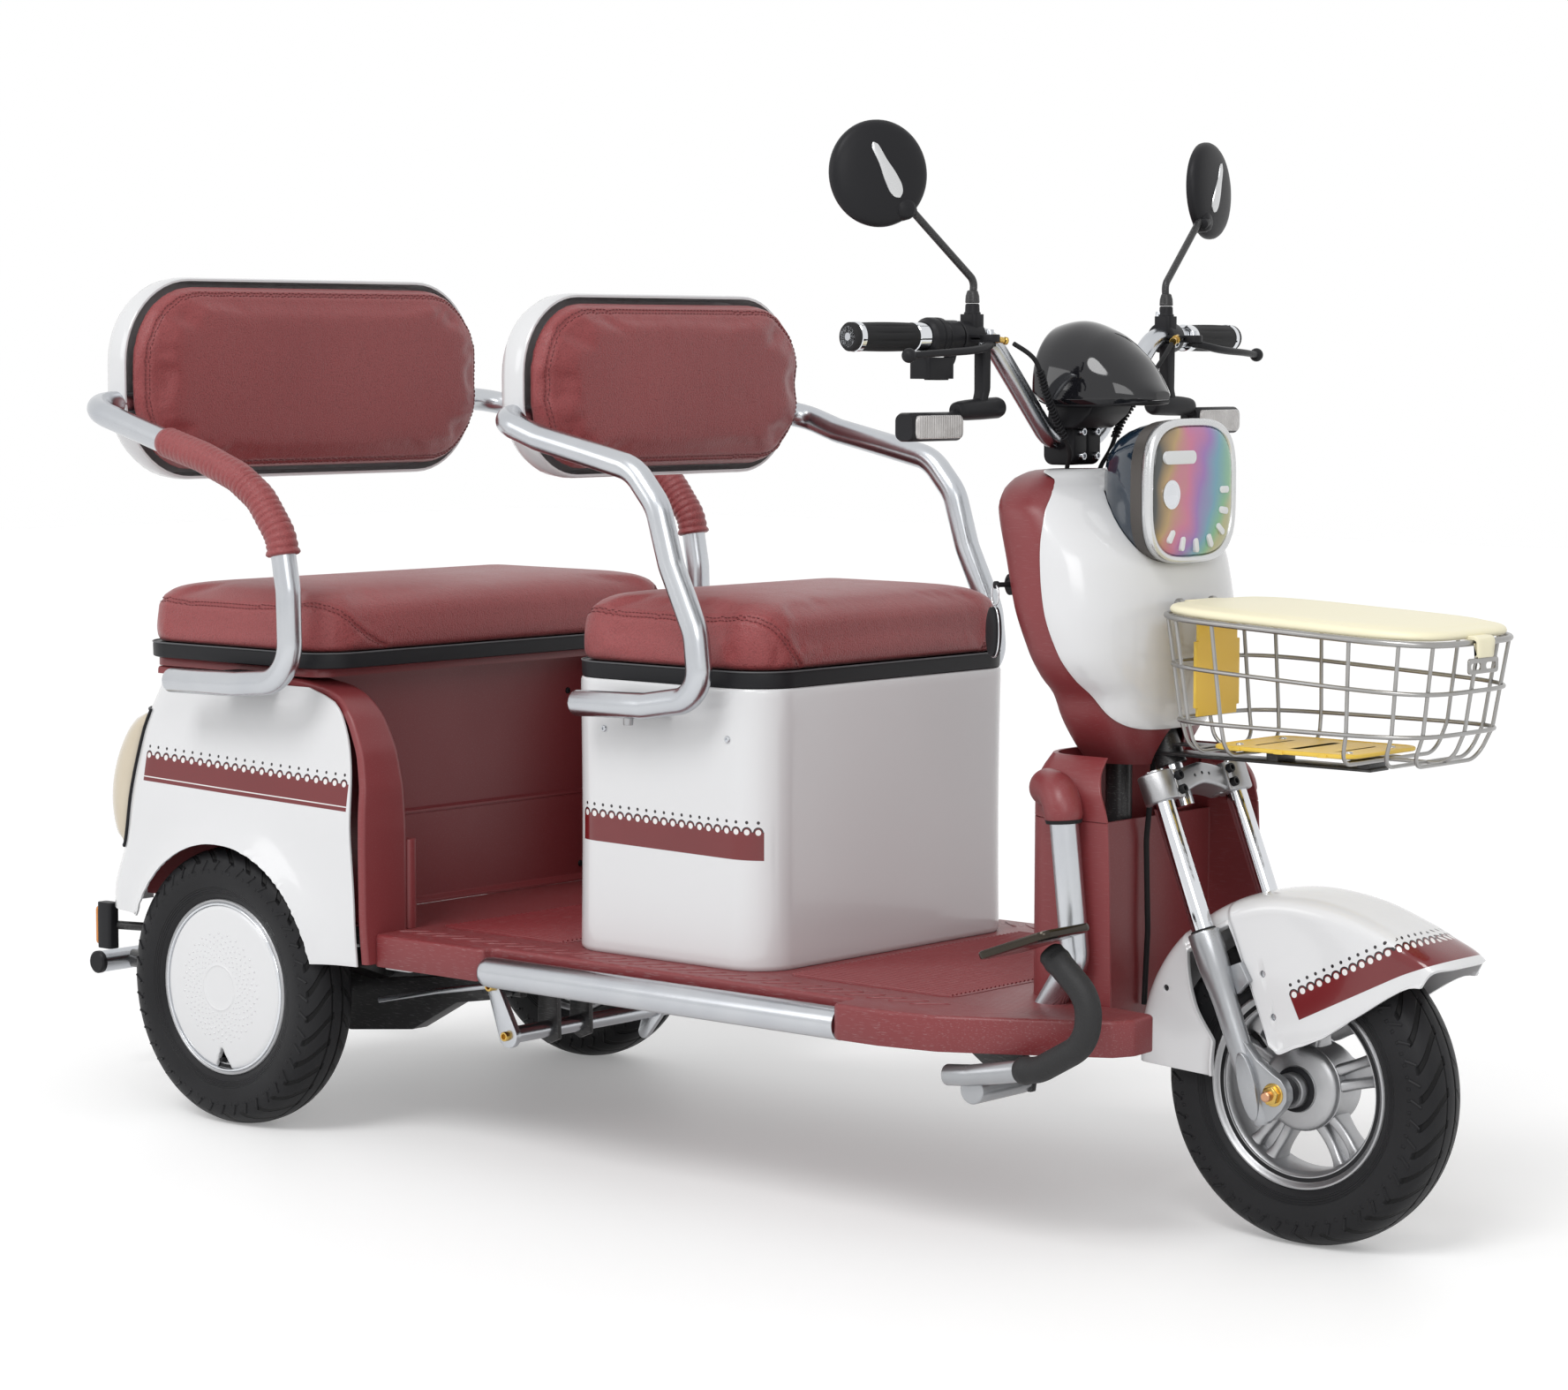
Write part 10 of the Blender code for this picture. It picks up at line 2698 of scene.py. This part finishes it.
def makeKey():
    lock = Vector((1.1366, -0.1456, 0.758))
    out = unit(Vector((-0.4202, -0.9074, 0)))
    across = unit(Vector((-out.y, out.x, 0)))
    face = lathe([(-0.004, 0), (-0.004, 0.0125), (0.0006, 0.0125), (0.0016, 0.011), (0.0016, 0.008), (0.0006, 0.0072),
                  (0.0006, 0)], lock, out, 44)
    makePiece("lockFace", face, "blackTrim", "chassis", ())
    blade = lathe([(0.0, 0), (0.0, 0.003), (0.015, 0.003), (0.0158, 0.0045), (0.02, 0.0045), (0.0206, 0.0038),
                   (0.0206, 0)], lock, out, 32)
    fob = lock + out * 0.021 + Vector((0, 0, -0.055))
    shape = []
    for t in spread(0, 2 * math.pi, 73)[:-1]:
        narrow = 1 - 0.16 * math.cos(t + math.pi)
        shape.append((0.0135 * math.copysign(abs(math.sin(t)) ** 0.85, math.sin(t)) * (0.96 + 0.04 * narrow),
                      -0.03 * math.cos(t)))
    loops = [[fob + across * a * k + Vector((0, 0, b * k)) + out * d for a, b in shape]
             for d, k in ((-0.0046, 0.86), (-0.005, 0.8), (-0.0046, 0.88), (-0.0036, 0.97), (0.0036, 0.97),
                          (0.0046, 0.88), (0.005, 0.8), (0.0051, 0.4))]
    makePiece("keyFob", merge(blade, loft(loops[1:])), "blackTrim", "ignition_key", "ignition_key",
              angle=50)
    edge = [fob + across * a * 0.99 + Vector((0, 0, b * 0.99)) for a, b in shape]
    ring = [lock + out * 0.0195 + Vector((0, 0, -0.012)) + across * (0.0085 * math.cos(t)) +
            Vector((0, 0, 0.0125 * math.sin(t))) for t in spread(0, 2 * math.pi, 33)]
    tubes("keyEdge", [edge + [edge[0]], ring], 0.0011, "chromeTube", "ignition_key", 10)


makeKey()


def makeSmallParts():
    for side, name in ((-1, "right"), (1, "left")):
        low, high = sorted((side * 0.32, side * 0.338))
        mount = rounded(-0.296, -0.268, low, high, 0.005, 5)
        makePiece("reflectorMount_" + name, loft([[(x, y, z) for x, y in mount] for z in (0.204, 0.268)]), "blackTrim",
                  "chassis", (),
                  bevel=0.0012)
        face = rounded(0.208, 0.262, low + 0.0015, high - 0.0015, 0.006, 5)
        makePiece("reflector_" + name, loft([[(x, a, z) for z, a in face] for x in (-0.2955, -0.2985, -0.2995)]),
                  "amberGlass", "chassis", (),
                  bevel=0.0006)
        a, b = sorted((side * 0.262, side * 0.316))
        tab = rounded(0.252, 0.3, a, b, 0.006, 5)
        makePiece("floorTab_" + name, loft([[(x, y, z) for x, y in tab] for z in (0.229, 0.233)]), "whitePanel",
                  "chassis", (),
                  bevel=0.0008)
        tubes("archStay_" + name, [[(-0.205, side * 0.3, 0.236), (-0.262, side * 0.318, 0.236),
                                    (-0.275, side * 0.322, 0.236)]], 0.006,
              "framePaint", "chassis", 14)
    route = fillet([(1.24, 0.006, 0.575), (1.236, 0.006, 0.52), (1.226, 0.01, 0.45), (1.228, 0.012, 0.34),
                    (1.224, 0.012, 0.25)], 0.1, 5)
    tubes("wireLoom", [route], 0.0034, "softBlack", "chassis", 14)


makeSmallParts()
print("key and small parts made")


# Studio: pale floor, white surroundings and plain soft light


def makeStudio():
    light = {"sky": 0.6, "sun": 1.25, "sunSize": 24, "front": 26, "side": 12}
    floorMaterial, tree, shader, place = startMaterial("paleFloor")
    shader.inputs["Roughness"].default_value = 0.55
    speck = noise(tree, place, 40.0, 2.0)
    feed(tree, shader.inputs["Base Color"], tint(tree, speck, (0.8, 0.8, 0.8), (0.83, 0.83, 0.83)))
    seen = add(tree, "ShaderNodeLightPath")
    shown = either(tree, either(tree, seen.outputs["Is Camera Ray"], seen.outputs["Is Glossy Ray"]),
                   seen.outputs["Is Transmission Ray"])
    shader.inputs["Emission Color"].default_value = (1, 1, 1, 1)
    feed(tree, shader.inputs["Emission Strength"], calc(tree, "MULTIPLY", shown, 0.24))
    mesh = bpy.data.meshes.new("studioFloor")
    mesh.from_pydata([(-14, -14, 0), (14, -14, 0), (14, 14, 0), (-14, 14, 0)], [], [(0, 1, 2, 3)])
    mesh.materials.append(floorMaterial)
    floor = bpy.data.objects.new("studioFloor", mesh)
    scene.collection.objects.link(floor)
    world = bpy.data.worlds.new("softRoom")
    world.use_nodes = True
    scene.world = world
    nodes = world.node_tree
    background = nodes.nodes["Background"]
    path = add(nodes, "ShaderNodeLightPath")
    shown = either(nodes, either(nodes, path.outputs["Is Camera Ray"], path.outputs["Is Glossy Ray"]),
                   path.outputs["Is Transmission Ray"])
    background.inputs["Color"].default_value = (1, 1, 1, 1)
    lift = calc(nodes, "MULTIPLY_ADD", shown, 1.0 - light["sky"], light["sky"])
    feed(nodes, background.inputs["Strength"], lift)
    sunData = bpy.data.lights.new("softSun", "SUN")
    sunData.energy = light["sun"]
    sunData.angle = math.radians(light["sunSize"])
    sun = bpy.data.objects.new("softSun", sunData)
    sun.rotation_euler = (math.radians(38), math.radians(-14), math.radians(28))
    scene.collection.objects.link(sun)
    for name, place, power, size in (("frontPanel", (3.2, -2.6, 2.4), light["front"], 1.6),
                                     ("sidePanelLight", (-1.6, -3.0, 2.0), light["side"], 1.4)):
        data = bpy.data.lights.new(name, "AREA")
        data.energy = power
        data.size = size
        lamp = bpy.data.objects.new(name, data)
        lamp.location = place
        aim = Vector((0, 0, 0.55)) - Vector(place)
        lamp.rotation_euler = aim.to_track_quat("-Z", "Y").to_euler()
        scene.collection.objects.link(lamp)
    scene.view_settings.view_transform = "Standard"


makeStudio()
for stamp in (stitchStamp, screwStamp, socketStamp):
    bpy.data.objects.remove(stamp, do_unlink=True)

carried = {"frame_paint": "framePaint", "red_plastic": "redMoulding", "white_plastic": "whitePanel",
           "lamp_cream": "creamLamp",
           "black_plastic": "blackTrim", "clear_lens": "clearLens", "steel_wire": "satinSteel",
           "yellow_plate": "yellowSheet",
           "pale_yellow": "paleLid", "red_leather": "redLeather", "battery_case": "caseGrey",
           "cast_aluminium": "castMetal",
           "chrome_tube": "chromeTube", "tyre_rubber": "softBlack", "soft_rubber": "softBlack"}
for entry in frame["record"]["subparts"]:  # CAD nodes that stay get a finish too
    node = cad[entry["node"]]
    for i in range(max(1, len(node.data.materials))):
        if i < len(node.data.materials):
            node.data.materials[i] = looks[carried[entry["material_slot"]]]
        else:
            node.data.materials.append(looks[carried[entry["material_slot"]]])

print("scene ready")
